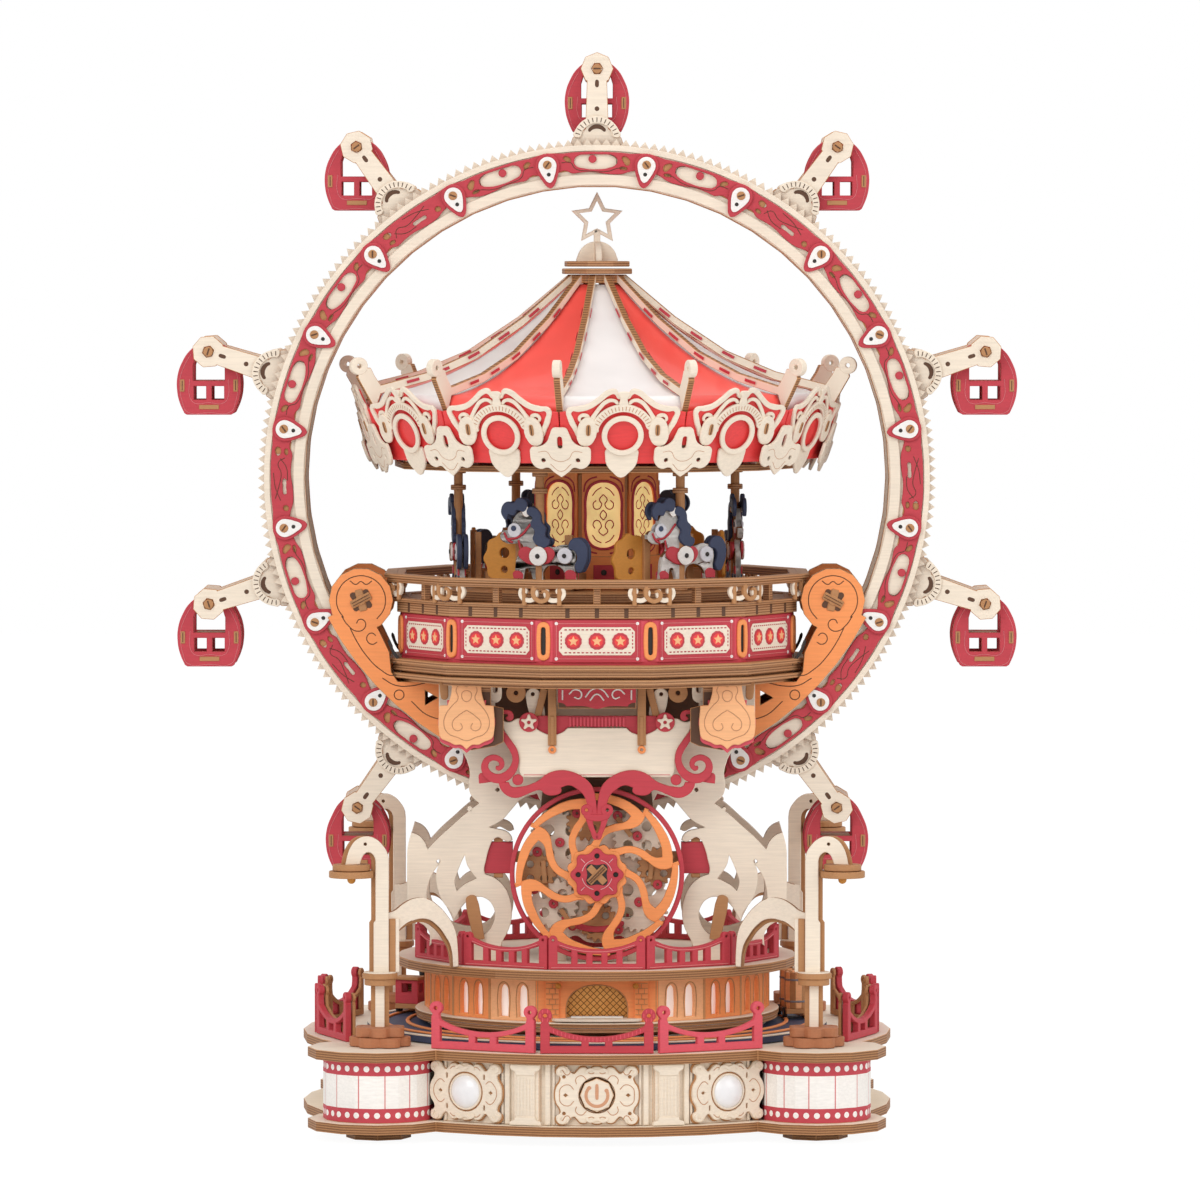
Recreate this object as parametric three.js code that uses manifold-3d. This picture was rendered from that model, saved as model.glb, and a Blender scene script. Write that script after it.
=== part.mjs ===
// Wooden puzzle music box: a toothed ring wheel with ten gondolas turns round a carousel
// on a two-storey base. Millimetres, +Z up, the front faces -Y, origin under the middle.
import * as THREE from 'three';
import { mergeVertices } from 'three/addons/utils/BufferGeometryUtils.js';
import Module from 'manifold-3d';

const wasm = await Module();
wasm.setup();

const deg = Math.PI / 180;
const turn = 2 * Math.PI;
const quarterTurn = Math.PI / 2;

// Sheet stock and clearances
const thinSheet = 2;
const thickSheet = 3;
const runGap = 0.3;
const sideGap = 0.5;
const overrun = 1;
const rodRadius = 1.5;

// Plan radii, from the foot of the arcade outwards to the edge of the base
const arcadeFootRadius = 50;
const arcadePlateProud = 7;
const arcadeInset = 3;
const galleryProud = 8.5;
const galleryFenceInset = 3.9;
const trackGap = 2;
const trackWidth = 20;
const carPlace = 11;
const deckFenceWalk = 9;
const deckEdge = 3;
const lobeProud = 8;
const sideFenceInset = 4;
const cornerProud = 3.3;
const cornerAngle = 39.9 * deg;
const facadeInset = 5;
const arcadePlateRadius = arcadeFootRadius + arcadePlateProud;
const arcadeRadius = arcadePlateRadius - arcadeInset;
const galleryRadius = arcadeRadius + galleryProud;
const galleryFenceRadius = galleryRadius - galleryFenceInset;
const trackInnerRadius = arcadeFootRadius + trackGap;
const trackOuterRadius = trackInnerRadius + trackWidth;
const carRadius = trackInnerRadius + carPlace;
const deckFenceRadius = trackOuterRadius + deckFenceWalk;
const frontRadius = deckFenceRadius + deckEdge;
const lobeRadius = frontRadius + lobeProud;
const sideFenceRadius = lobeRadius - sideFenceInset;
const cornerX = (frontRadius + cornerProud) * Math.cos(cornerAngle);
const cornerY = (frontRadius + cornerProud) * Math.sin(cornerAngle);
const facadeRadius = frontRadius - facadeInset;

// Base: four feet, a lower plate, a hollow storey and the deck
const footHeight = 3;
const footRadius = 10;
const storeyHeight = 19;
const cornerRadius = 21.7;
const basePlateTop = footHeight + thickSheet;
const deckBottom = basePlateTop + storeyHeight;
const deckTop = deckBottom + thickSheet;
const baseWallInset = 7;
const filmDrumRadius = 17;
const filmDrumWall = 2;
const shaftWell = 14;

// Front facade between the two film drums
const facadeHalfAngle = 36.5 * deg;
const lensX = 39.5;
const lensHoleRadius = 4.7;
const buttonRadius = 5.2;
const buttonDepth = 3;
const buttonTravel = 1;
const buttonHeadProud = 1.2;
const pilasterX = 21;
const pilasterWidth = 8;
const pilasterDepth = 1.6;

// Sound and drive boxes inside the base and below the stage
const musicBoxWidth = 46;
const musicBoxDepth = 34;
const musicBoxHeight = 15;
const motorRadius = 12;
const motorHeight = 18;

// Arcade storey on the deck and the gallery above it
const arcadePlateBottom = 34.5;
const arcadePlateTop = arcadePlateBottom + thickSheet;
const arcadeWallThickness = 2.5;
const arcadeArches = 20;
const archWidth = 6;
const archHeight = 7.4;
const archSill = 2.2;
const galleryThickness = 3;
const galleryTop = 51.5;
const galleryBottom = galleryTop - galleryThickness;
const fenceSides = 12;
const galleryFenceHeight = 10.5;
const galleryFencePostWidth = 2.6;
const galleryRailHeight = 2.2;
const galleryFenceSag = 2.2;
const galleryFenceWindows = 2;
const barWidth = 1.7;
const sillHeight = 1.8;

// Fences on the deck edge
const deckFenceHeight = 15;
const deckFencePanelAngle = 24.5 * deg;
const deckFencePitch = 26 * deg;
const deckFencePanels = 3;
const deckFenceSag = 4.5;
const deckKnobRadius = 2.1;
const sideFencePitch = 20 * deg;
const sideFencePanelAngle = 18.6 * deg;

// Track ring and the train cars on it
const trackThickness = 2;
const trackBottom = deckTop + runGap;
const trackTop = trackBottom + trackThickness;
const carLength = 15;
const carWidth = 8;
const carFloor = 3.4;
const barrelRadius = 4.6;
const boilerRadius = 3.4;
const cabHeight = 10.5;
const carAngles = [100 * deg, 245 * deg];

// Lamp posts at the four corners
const postWidth = 5.3;
const rearPostInset = 2.5;
const rearPostX = cornerX - rearPostInset;
const frontPostTop = 92.6;
const rearPostTop = 97.8;
const hookRadius = 7.4;
const hookHoleRadius = 2.9;
const hookDrop = 5;
const lampPlateRadius = 7;
const collarRadius = 5.7;
const collarBottom = 47.8;
const knotRadius = 9.4;
const knotValley = 7;
const knotPetals = 6;
const archFootX = 43;
const archFootY = 44;
const postArchTop = 74;
const postArchWidth = 5.4;
const postArchSpring = 62;

// Toothed ring wheel
const wheelCentre = 201;
const ringTeeth = 220;
const ringPitchRadius = 104.5;
const toothTop = 0.85;
const toothRoot = 1.25;
const ringPlateInset = 1.5;
const armRingInset = 3.5;
const ringBand = 13.9;
const hoopInset = 1.4;
const ringPlateRadius = ringPitchRadius - ringPlateInset;
const armRingRadius = ringPitchRadius - armRingInset;
const ringInnerRadius = ringPitchRadius - ringBand;
const hoopInnerRadius = ringInnerRadius + hoopInset;
const hoopWall = 1.5;
const hoopHalfWidth = 12;
const gondolaCount = 10;
const pivotReach = 26;
const pivotRadius = armRingRadius + pivotReach;
const armHeadRadius = 5.1;
const armFanRadius = 9;

// Gondolas hang from pins across the two arm rings
const gondolaWidth = 20.3;
const gondolaDrop = 20.3;
const gondolaRise = 2.6;
const gondolaHalfDepth = 9.5;
const gondolaWall = 2.2;
const gondolaBar = 1.8;
const gondolaWindow = 4;
const gondolaUpperWindow = 9.6;

// Drive gear, its shaft and the spiral wheel in front
const driveTeeth = 37;
const drivePitchRadius = ringPitchRadius * driveTeeth / ringTeeth;
const shaftHeight = wheelCentre - ringPitchRadius - drivePitchRadius;
const spiralRadius = 27;
const spiralRimWidth = 2;
const spiralSpokes = 8;
const spokeWidth = 3.2;
const spokeEndShare = 0.8;
const spiralHubRadius = 8;

// Guide rollers inside the ring, carried by the cradles
const ringSides = 50;
const rollerRadius = 7.8;
const rollerAngle = 62.75 * deg;
const rollerDistance = ringInnerRadius * Math.cos(Math.PI / ringSides) - rollerRadius - runGap;
const rollerX = rollerDistance * Math.sin(rollerAngle);
const rollerHeight = wheelCentre - rollerDistance * Math.cos(rollerAngle);
const cradleDiscRadius = 10;
const cradleEdgeRadius = 94;

// Stage, a twelve-sided drum
const stageSides = 12;
const stageBottom = 138;
const lowerStepApothem = 61;
const lowerStepHeight = 3.5;
const upperStepApothem = 63.3;
const upperStepHeight = 3.3;
const stageWallApothem = 60.7;
const stageWallThickness = 2.5;
const stageWallBottom = stageBottom + lowerStepHeight + upperStepHeight;
const stageWallHeight = 14.7;
const stageWallTop = stageWallBottom + stageWallHeight;
const stageTopApothem = 62.1;
const stageTopThickness = 4;
const stageFloor = stageWallTop + stageTopThickness;
const stageSlotWidth = 2.4;
const stageSlotHeight = 9;
const railApothem = 64.4;
const railInnerApothem = 59.9;
const railBottom = 168.8;
const railThickness = 2.6;
const balusterSize = 2.2;

// Carousel
const carouselSkew = 6.2 * deg;
const turntableRadius = 54;
const turntableThickness = 3;
const turntableBottom = stageFloor + runGap;
const turntableTop = turntableBottom + turntableThickness;
const turntableShaftRadius = 3;
const columnSides = 8;
const columnApothem = 16.5;
const columnBaseApothem = 19;
const columnBaseHeight = 10;
const columnFaceHeight = 26;
const columnFaceWidth = 9.6;
const columnFaceDepth = 1.2;
const canopyFloorBottom = 204;
const canopyFloorApothem = 62;
const horseCount = 6;
const horseRadius = 43.5;
const horseLength = 32;
const horseHeight = 28;
const horseLift = 1.2;
const horseThickness = 6;
const horsePoleRadius = 1.4;

// Canopy tent, ribs and valance
const canopySides = 12;
const tentTopRadius = 9;
const starClearance = 2.1;
const starRadius = 8.1;
const starRise = 20.4;
const starHeight = wheelCentre + ringInnerRadius - starClearance - starRadius;
const tentTopHeight = starHeight - starRise;
const tentRimRadius = 72;
const tentRimHeight = 227;
const tentSag = 6.5;
const tentSheet = 0.8;
const tentSteps = 4;
const ribHeight = 2.6;
const ribSheet = 2;
const bladeRadius = 78;
const bladeTop = 236;
const valanceTopApothem = 75.5;
const valanceBottomApothem = 67.5;
const valanceTop = 229;
const valanceBottom = 206;
const valanceSheet = 1.6;
const valanceHoleRadius = 5;
const valanceDiscHeight = 215.5;
const leafLength = 9;
const leafWidth = 9.5;
const capRadius = 11;
const capThickness = 4;
const starInnerShare = 0.47;
const starFrameShare = 0.74;
const starBaseRadius = 5;

// Front and rear frames and the sign
const frameBarHeight = 14;
const bearingRadius = 22;
const frameLegWidth = 6;
const frameLegX = 12;
const curlRadius = 8.9;
const curlWidth = 3.6;
const curlX = 36;
const curlHeight = 66.5;
const frameFootWidth = 5;
const signWidth = 52;
const signHeight = 15.5;
const signMiddle = 117;
const signScrollWidth = 4;
const signScrollEndShare = 0.8;
const signPendantDrop = 18;
const signRodX = 13.9;
const signRodDrop = 21;

// Colours of the printed and bare sheets
const looks = {
  cream: [0xf0e0ca, 0.75, 0],
  brown: [0x8c643e, 0.8, 0],
  crimson: [0xbe3e4a, 0.7, 0],
  pink: [0xd75563, 0.7, 0],
  roof: [0xff5f55, 0.55, 0],
  orange: [0xf0965a, 0.7, 0],
  white: [0xf3f0ee, 0.6, 0],
  grey: [0xc9c6c4, 0.7, 0],
  track: [0x46505f, 0.7, 0],
  dark: [0x2e2e33, 0.5, 0],
};

const root = new THREE.Group();

function place(name, geometry, look, parent = root) {
  const [color, roughness, metalness] = looks[look];
  const mesh = new THREE.Mesh(geometry, new THREE.MeshStandardMaterial({ color, roughness, metalness }));
  mesh.name = name;
  parent.add(mesh);
  return mesh;
}

// A closed mesh with its shared corners merged, as a solid that can be joined and cut
function toSolid(geometry) {
  const bare = geometry.index ? geometry.toNonIndexed() : geometry.clone();
  bare.deleteAttribute('normal');
  bare.deleteAttribute('uv');
  const merged = mergeVertices(bare);
  return new wasm.Manifold(new wasm.Mesh({
    numProp: 3,
    vertProperties: Float32Array.from(merged.attributes.position.array),
    triVerts: Uint32Array.from(merged.index.array),
  }));
}

function toGeometry(solid) {
  const mesh = solid.getMesh();
  const geometry = new THREE.BufferGeometry();
  geometry.setAttribute('position', new THREE.BufferAttribute(Float32Array.from(mesh.vertProperties), 3));
  geometry.setIndex(new THREE.BufferAttribute(Uint32Array.from(mesh.triVerts), 1));
  geometry.computeVertexNormals();
  return geometry;
}

// Joins all parts, then takes the cutters away
function carve(parts, cutters) {
  const whole = parts.map(toSolid).reduce((sum, solid) => sum.add(solid));
  return toGeometry(cutters.map(toSolid).reduce((rest, solid) => rest.subtract(solid), whole));
}

const join = (...parts) => carve(parts, []);

const polar = (radius, angle) => [radius * Math.cos(angle), radius * Math.sin(angle)];
const places = (count) => Array.from({ length: count }, (_, index) => index);
const circle = (radius, sides, cx = 0, cy = 0) => places(sides).map((index) => {
  const [x, y] = polar(radius, index * turn / sides);
  return [cx + x, cy + y];
});
const mirrored = (points) => points.map(([x, y]) => [-x, y]).reverse();
const scaled = (shares, width, height, x = 0, y = 0) => (
  shares.map(([across, up]) => [x + across * width, y + up * height]));

// A regular polygon whose flat side faces the front, given by its apothem
function flatPolygon(apothem, sides) {
  const radius = apothem / Math.cos(Math.PI / sides);
  return places(sides).map((index) => polar(radius, (index + 0.5) * turn / sides - quarterTurn));
}

// An arc of points from one angle to another
function arc(radius, from, to, steps, cx = 0, cy = 0) {
  return places(steps + 1).map((index) => {
    const [x, y] = polar(radius, from + (to - from) * index / steps);
    return [cx + x, cy + y];
  });
}

// The outline of a curved strip along a smooth centre line, with a width at each end
function strip(line, width, endWidth = width, steps = line.length * 4) {
  const curve = new THREE.SplineCurve(line.map(([x, y]) => new THREE.Vector2(x, y)));
  const left = [];
  const right = [];
  for (let index = 0; index <= steps; index += 1) {
    const share = index / steps;
    const at = curve.getPoint(share);
    const along = curve.getTangent(share);
    const half = (width + (endWidth - width) * share) / 2;
    left.push([at.x - along.y * half, at.y + along.x * half]);
    right.push([at.x + along.y * half, at.y - along.x * half]);
  }
  return [...left, ...right.reverse()];
}

const toPath = (points, Kind) => new Kind(points.map(([x, y]) => new THREE.Vector2(x, y)));

// A sheet lying flat from a height upwards
function slab(points, thickness, bottom = 0, holes = []) {
  const shape = toPath(points, THREE.Shape);
  shape.holes = holes.map((hole) => toPath(hole, THREE.Path));
  const geometry = new THREE.ExtrudeGeometry(shape, { depth: thickness, bevelEnabled: false });
  geometry.translate(0, 0, bottom);
  return geometry;
}

// A sheet standing upright and facing the front: its outline is read as X and Z
function board(points, thickness, front, holes = []) {
  const geometry = slab(points, thickness, 0, holes);
  geometry.rotateX(quarterTurn);
  geometry.translate(0, front + thickness, 0);
  return geometry;
}

function box(width, depth, height, x = 0, y = 0, bottom = 0) {
  const geometry = new THREE.BoxGeometry(width, depth, height);
  geometry.translate(x, y, bottom + height / 2);
  return geometry;
}

function post(radius, height, x = 0, y = 0, bottom = 0, sides = 8) {
  return slab(circle(radius, sides, x, y), height, bottom);
}

// A round rod along Y, from its front end to its rear end
function crossRod(radius, front, rear, x = 0, z = 0, sides = 8) {
  return board(circle(radius, sides, x, z), rear - front, front);
}

// Turns a piece built at the front round the upright axis
function swung(geometry, angle) {
  return geometry.rotateZ(angle);
}

// The base outline: side lobes, a round front and rear, and a disc at each corner
function baseOutlineSolid(inset, thickness, bottom) {
  const sides = 32;
  const lobe = slab(circle(lobeRadius - inset, sides), thickness, bottom);
  const bow = toSolid(lobe).intersect(toSolid(
    box(2 * lobeRadius, 2 * (cornerY - cornerRadius / 2), thickness, 0, 0, bottom)));
  const middle = toSolid(slab(circle(frontRadius - inset, sides), thickness, bottom));
  let whole = bow.add(middle);
  for (const [x, y] of cornerPlaces()) {
    whole = whole.add(toSolid(slab(circle(cornerRadius - inset, 12, x, y), thickness, bottom)));
  }
  return whole;
}

function cornerPlaces() {
  return [[-cornerX, -cornerY], [cornerX, -cornerY], [-cornerX, cornerY], [cornerX, cornerY]];
}

function buildBase() {
  const feet = cornerPlaces().map(([x, y]) => post(footRadius, footHeight + thickSheet / 2, x, y, 0, 8));
  let plate = baseOutlineSolid(0, thickSheet, footHeight);
  for (const foot of feet) plate = plate.add(toSolid(foot));
  place('base_plate', toGeometry(plate), 'cream');

  // The wall follows the outline and gives way to the drums and to the front facade
  const outer = baseOutlineSolid(baseWallInset, storeyHeight, basePlateTop);
  const inner = baseOutlineSolid(baseWallInset + thinSheet, storeyHeight + 2 * overrun, basePlateTop - overrun);
  let wall = outer.subtract(inner);
  for (const [x, y] of cornerPlaces().slice(0, 2)) {
    wall = wall.subtract(toSolid(post(filmDrumRadius + runGap, storeyHeight + 2 * overrun,
      x, y, basePlateTop - overrun, 16)));
  }
  const frontRoom = box(2 * cornerX, lobeRadius, storeyHeight + 2 * overrun,
    0, -cornerY - lobeRadius / 2 + filmDrumRadius / 2, basePlateTop - overrun);
  wall = wall.subtract(toSolid(frontRoom));
  place('base_wall', toGeometry(wall), 'cream');

  cornerPlaces().slice(0, 2).forEach(([x, y], index) => {
    const side = index === 0 ? 'left' : 'right';
    const drum = slab(circle(filmDrumRadius, 16, x, y), storeyHeight, basePlateTop,
      [circle(filmDrumRadius - filmDrumWall, 16, x, y)]);
    place(`film_drum_${side}`, drum, 'white');
  });

  let deck = baseOutlineSolid(0, thickSheet, deckBottom);
  deck = deck.subtract(toSolid(post(shaftWell, thickSheet + 2 * overrun, 0, 0, deckBottom - overrun, 12)));
  place('deck_plate', toGeometry(deck), 'cream');
}

// The facade is a bowed board between the drums with two lens holes, pilasters and a button hole
function buildFacade() {
  const steps = 8;
  const from = -quarterTurn - facadeHalfAngle;
  const to = -quarterTurn + facadeHalfAngle;
  const bow = slab([
    ...arc(facadeRadius, from, to, steps),
    ...arc(facadeRadius - thinSheet, to, from, steps),
  ], storeyHeight, basePlateTop);
  const middle = basePlateTop + storeyHeight / 2;
  const parts = [bow];
  for (const side of [-1, 1]) {
    const [x, y] = polar(facadeRadius, -quarterTurn + side * Math.asin(pilasterX / facadeRadius));
    const pilaster = box(pilasterWidth, 2 * pilasterDepth, storeyHeight, 0, 0, basePlateTop);
    pilaster.rotateZ(side * Math.asin(pilasterX / facadeRadius));
    pilaster.translate(x, y, 0);
    parts.push(pilaster);
  }
  const holes = [crossRod(buttonRadius + runGap, -facadeRadius - overrun, -facadeRadius + 3 * thinSheet, 0, middle, 8)];
  for (const side of [-1, 1]) {
    holes.push(crossRod(lensHoleRadius, -facadeRadius - overrun, -facadeRadius / 2, side * lensX, middle, 8));
  }
  place('facade_front', carve([...parts], holes), 'cream');

  const headFront = -facadeRadius - buttonHeadProud;
  const button = join(
    crossRod(buttonRadius, headFront, headFront + buttonDepth, 0, middle, 8),
    crossRod(rodRadius, headFront + buttonDepth - overrun / 2, headFront + buttonDepth + 2 * buttonTravel, 0, middle));
  place('power_button', button, 'cream');

  place('music_box', box(musicBoxWidth, musicBoxDepth, musicBoxHeight, 0, 0, basePlateTop), 'dark');
}

// One straight openwork fence panel with a sagging top rail, standing and facing the front
function fencePanel(width, height, sag, windows, knob) {
  const half = width / 2;
  const top = arc(half - knob, turn, Math.PI, 4).map(([x, z]) => [x, height + sag * z / half]);
  const knobTop = height + knob;
  const ends = knob > 0 ? [[[half, knobTop], [half - knob, knobTop]], [[knob - half, knobTop], [-half, knobTop]]] : [[], []];
  const outline = [[-half, 0], [half, 0], ...ends[0], ...top, ...ends[1]];
  const gap = (width - 2 * galleryFencePostWidth - (windows - 1) * barWidth) / windows;
  const dip = (x) => height - sag * Math.sqrt(1 - (x / half) ** 2) - galleryRailHeight;
  const tools = places(windows).map((index) => {
    const left = -half + galleryFencePostWidth + index * (gap + barWidth);
    const hole = [[left, sillHeight], [left + gap, sillHeight], [left + gap, dip(left + gap)], [left, dip(left)]];
    return board(hole, thinSheet + 2 * overrun, -overrun);
  });
  return carve([board(outline, thinSheet, 0)], tools);
}

// A fence round a circle: panels set at equal angles and tied by a sill ring
function roundFence(radius, angles, width, height, sag, windows, knob, bottom) {
  return angles.map((angle) => {
    const panel = fencePanel(width, height, sag, windows, knob);
    panel.translate(0, -radius, bottom);
    return toSolid(swung(panel, angle));
  });
}

function buildArcade() {
  // A plain drum carries the arcade plate above the track
  const foot = slab(circle(arcadeFootRadius, 30), arcadePlateBottom - deckTop + overrun, deckTop,
    [circle(arcadeFootRadius - thickSheet, 30)]);
  const plate = slab(circle(arcadePlateRadius, 36), thickSheet, arcadePlateBottom, [circle(shaftWell, 12)]);
  place('arcade_base', join(foot, plate), 'brown');

  const wallHeight = galleryBottom - arcadePlateTop;
  const wall = slab(flatPolygon(arcadeRadius, arcadeArches), wallHeight, arcadePlateTop,
    [flatPolygon(arcadeRadius - arcadeWallThickness, arcadeArches)]);
  const arches = places(arcadeArches).map((index) => {
    const spring = arcadePlateTop + archSill + archHeight - archWidth / 2;
    const outline = [
      [-archWidth / 2, arcadePlateTop + archSill], [archWidth / 2, arcadePlateTop + archSill],
      ...arc(archWidth / 2, 0, Math.PI, 3, 0, spring),
    ];
    const hole = board(outline, arcadeWallThickness + 4 * overrun, -arcadeRadius - overrun);
    return swung(hole, index * turn / arcadeArches);
  });
  place('arcade_wall', carve([wall], arches), 'orange');

  place('gallery_plate', slab(circle(galleryRadius, 36), galleryThickness, galleryBottom, [circle(shaftWell, 12)]), 'cream');

  const apothem = galleryFenceRadius * Math.cos(Math.PI / fenceSides);
  const side = 2 * apothem * Math.tan(Math.PI / fenceSides);
  const angles = places(fenceSides).map((index) => index * turn / fenceSides);
  const fence = roundFence(apothem, angles, side, galleryFenceHeight, galleryFenceSag, galleryFenceWindows, 0, galleryTop)
    .reduce((sum, solid) => sum.add(solid));
  place('gallery_fence', toGeometry(fence), 'crimson');
}

// A row of panels with knob posts on one side of the deck, tied by a low sill
function deckFence(name, look, heading, radius, panelAngle, pitch, windows) {
  const width = 2 * radius * Math.sin(panelAngle / 2);
  const angles = places(deckFencePanels).map((index) => heading + (index - (deckFencePanels - 1) / 2) * pitch);
  const reach = ((deckFencePanels - 1) * pitch + panelAngle) / 2 * deckSillShare;
  const middle = heading - quarterTurn;
  const steps = 2 * deckFencePanels;
  const sill = slab([
    ...arc(radius + sillOverhang, middle - reach, middle + reach, steps),
    ...arc(radius - thickSheet, middle + reach, middle - reach, steps),
  ], sillHeight, deckTop);
  let fence = toSolid(sill);
  for (const solid of roundFence(radius, angles, width, deckFenceHeight, deckFenceSag, windows,
    deckKnobRadius, deckTop)) fence = fence.add(solid);
  place(name, toGeometry(fence), look);
}

const deckSillShare = 0.97;
const sillOverhang = 0.8;

function buildDeckFences() {
  deckFence('deck_fence_front', 'pink', 0, deckFenceRadius, deckFencePanelAngle, deckFencePitch, 2);
  deckFence('deck_fence_rear', 'pink', Math.PI, deckFenceRadius, deckFencePanelAngle, deckFencePitch, 2);
  deckFence('deck_fence_left', 'crimson', -quarterTurn, sideFenceRadius, sideFencePanelAngle, sideFencePitch, 2);
  deckFence('deck_fence_right', 'crimson', quarterTurn, sideFenceRadius, sideFencePanelAngle, sideFencePitch, 2);
}

// One lamp post: an upright with a hook, a lamp plate, a collar, a petal base and an arch
// that lands on the gallery. It is drawn for the left side and mirrored by its sign.
function lampPost(side, postX, postY, top) {
  const across = (points) => (side < 0 ? points : mirrored(points));
  const hookX = -postX + postWidth / 2 - hookRadius;
  const hookZ = top - hookRadius;
  const legX = hookX - (hookRadius + hookHoleRadius) / 2;
  const legHalf = (hookRadius - hookHoleRadius) / 2;
  const front = postY - thickSheet / 2;
  const upright = board(across([
    [-postX - postWidth / 2, deckTop], [-postX + postWidth / 2, deckTop],
    [-postX + postWidth / 2, hookZ], [-postX - postWidth / 2, hookZ],
  ]), thickSheet, front);
  const hook = board(across([
    ...arc(hookRadius, 0, Math.PI, 5, hookX, hookZ),
    [legX - legHalf, hookZ - hookDrop], [legX + legHalf, hookZ - hookDrop],
    ...arc(hookHoleRadius, Math.PI, 0, 3, hookX, hookZ),
  ]), thickSheet, front);
  const lampPlate = post(lampPlateRadius, thickSheet, side * -(legX + hookHoleRadius / 2), postY,
    hookZ - hookDrop - thickSheet + overrun / 2, 8);
  const cross = box(thinSheet, postWidth, collarBottom - deckTop, side * postX, postY, deckTop);
  const collar = post(collarRadius, thickSheet, side * postX, postY, collarBottom, 6);
  const parts = [upright, hook, lampPlate, cross, collar];
  const petals = places(2 * knotPetals).map((index) => {
    const [x, y] = polar(index % 2 === 0 ? knotRadius : knotValley, index * turn / (2 * knotPetals));
    return [side * postX + x, postY + y];
  });
  parts.push(slab(petals, knotHeight, deckTop));
  parts.push(postArch(side, postX, postY));
  return join(...parts);
}

const knotHeight = 2 * thinSheet;

// The arch stands in an upright plane that runs from the post towards the gallery
function postArch(side, postX, postY) {
  const toward = Math.sign(-postY);
  const alongX = postX - archFootX;
  const alongY = Math.abs(postY) - archFootY;
  const reach = Math.hypot(alongX, alongY);
  const heading = Math.atan2(toward * alongY, -side * alongX);
  const half = postArchWidth / 2;
  const middleHeight = postArchTop - half;
  const foot = half / 2;
  const outline = [
    [0, postArchSpring - half], [reach * archShoulderShare, middleHeight - half * archShoulderShare],
    [reach / 2, middleHeight - half], [reach * (1 - archShoulderShare), middleHeight - 2 * half],
    [reach - foot, postArchSpring - half], [reach - foot, galleryTop], [reach + foot, galleryTop],
    [reach + foot, postArchSpring], [reach * (1 - archShoulderShare / 2), middleHeight - half],
    [reach * (1 - archShoulderShare), middleHeight + half / 2], [reach / 2, postArchTop],
    [reach * archShoulderShare, postArchTop - half / 2], [0, postArchSpring + 2 * half],
  ];
  const sheet = board(outline, thickSheet, -thickSheet / 2);
  sheet.rotateZ(heading);
  sheet.translate(side * postX, postY, 0);
  return sheet;
}

const archShoulderShare = 0.26;

function buildLampPosts() {
  place('lamp_post_front_left', lampPost(-1, cornerX, -cornerY, frontPostTop), 'cream');
  place('lamp_post_front_right', lampPost(1, cornerX, -cornerY, frontPostTop), 'cream');
  place('lamp_post_rear_left', lampPost(-1, rearPostX, cornerY, rearPostTop), 'cream');
  place('lamp_post_rear_right', lampPost(1, rearPostX, cornerY, rearPostTop), 'cream');
}

// Left horn scroll of a frame, as shares of its reach from the middle and its rise over the gallery
const hornReach = 58.9;
const hornRise = 55.4;
const hornShares = [
  [0.657, 0.993], [0.625, 0.892], [0.756, 0.758], [0.878, 0.616], [0.893, 0.608], [0.937, 0.681],
  [0.981, 0.713], [0.998, 0.668], [1.000, 0.478], [0.992, 0.334], [0.966, 0.240], [0.883, 0.206],
  [0.815, 0.153], [0.808, 0.000], [0.737, 0.000], [0.750, 0.099], [0.806, 0.190], [0.874, 0.262],
  [0.900, 0.334], [0.871, 0.475], [0.834, 0.545], [0.849, 0.442], [0.839, 0.365], [0.771, 0.251],
  [0.733, 0.316], [0.739, 0.395], [0.728, 0.496], [0.711, 0.561], [0.642, 0.466], [0.654, 0.424],
  [0.598, 0.424], [0.584, 0.569], [0.553, 0.670], [0.487, 0.679], [0.443, 0.670], [0.472, 0.709],
  [0.569, 0.733], [0.525, 0.773], [0.392, 0.921], [0.569, 1.000],
];
const bridgeHalf = 49;
const bridgeWaist = 38;
const bridgeNeckDrop = 20;
const bearingWindows = 4;
const bearingWindowRadius = 4.6;
const bearingWindowPlace = 14;

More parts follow.
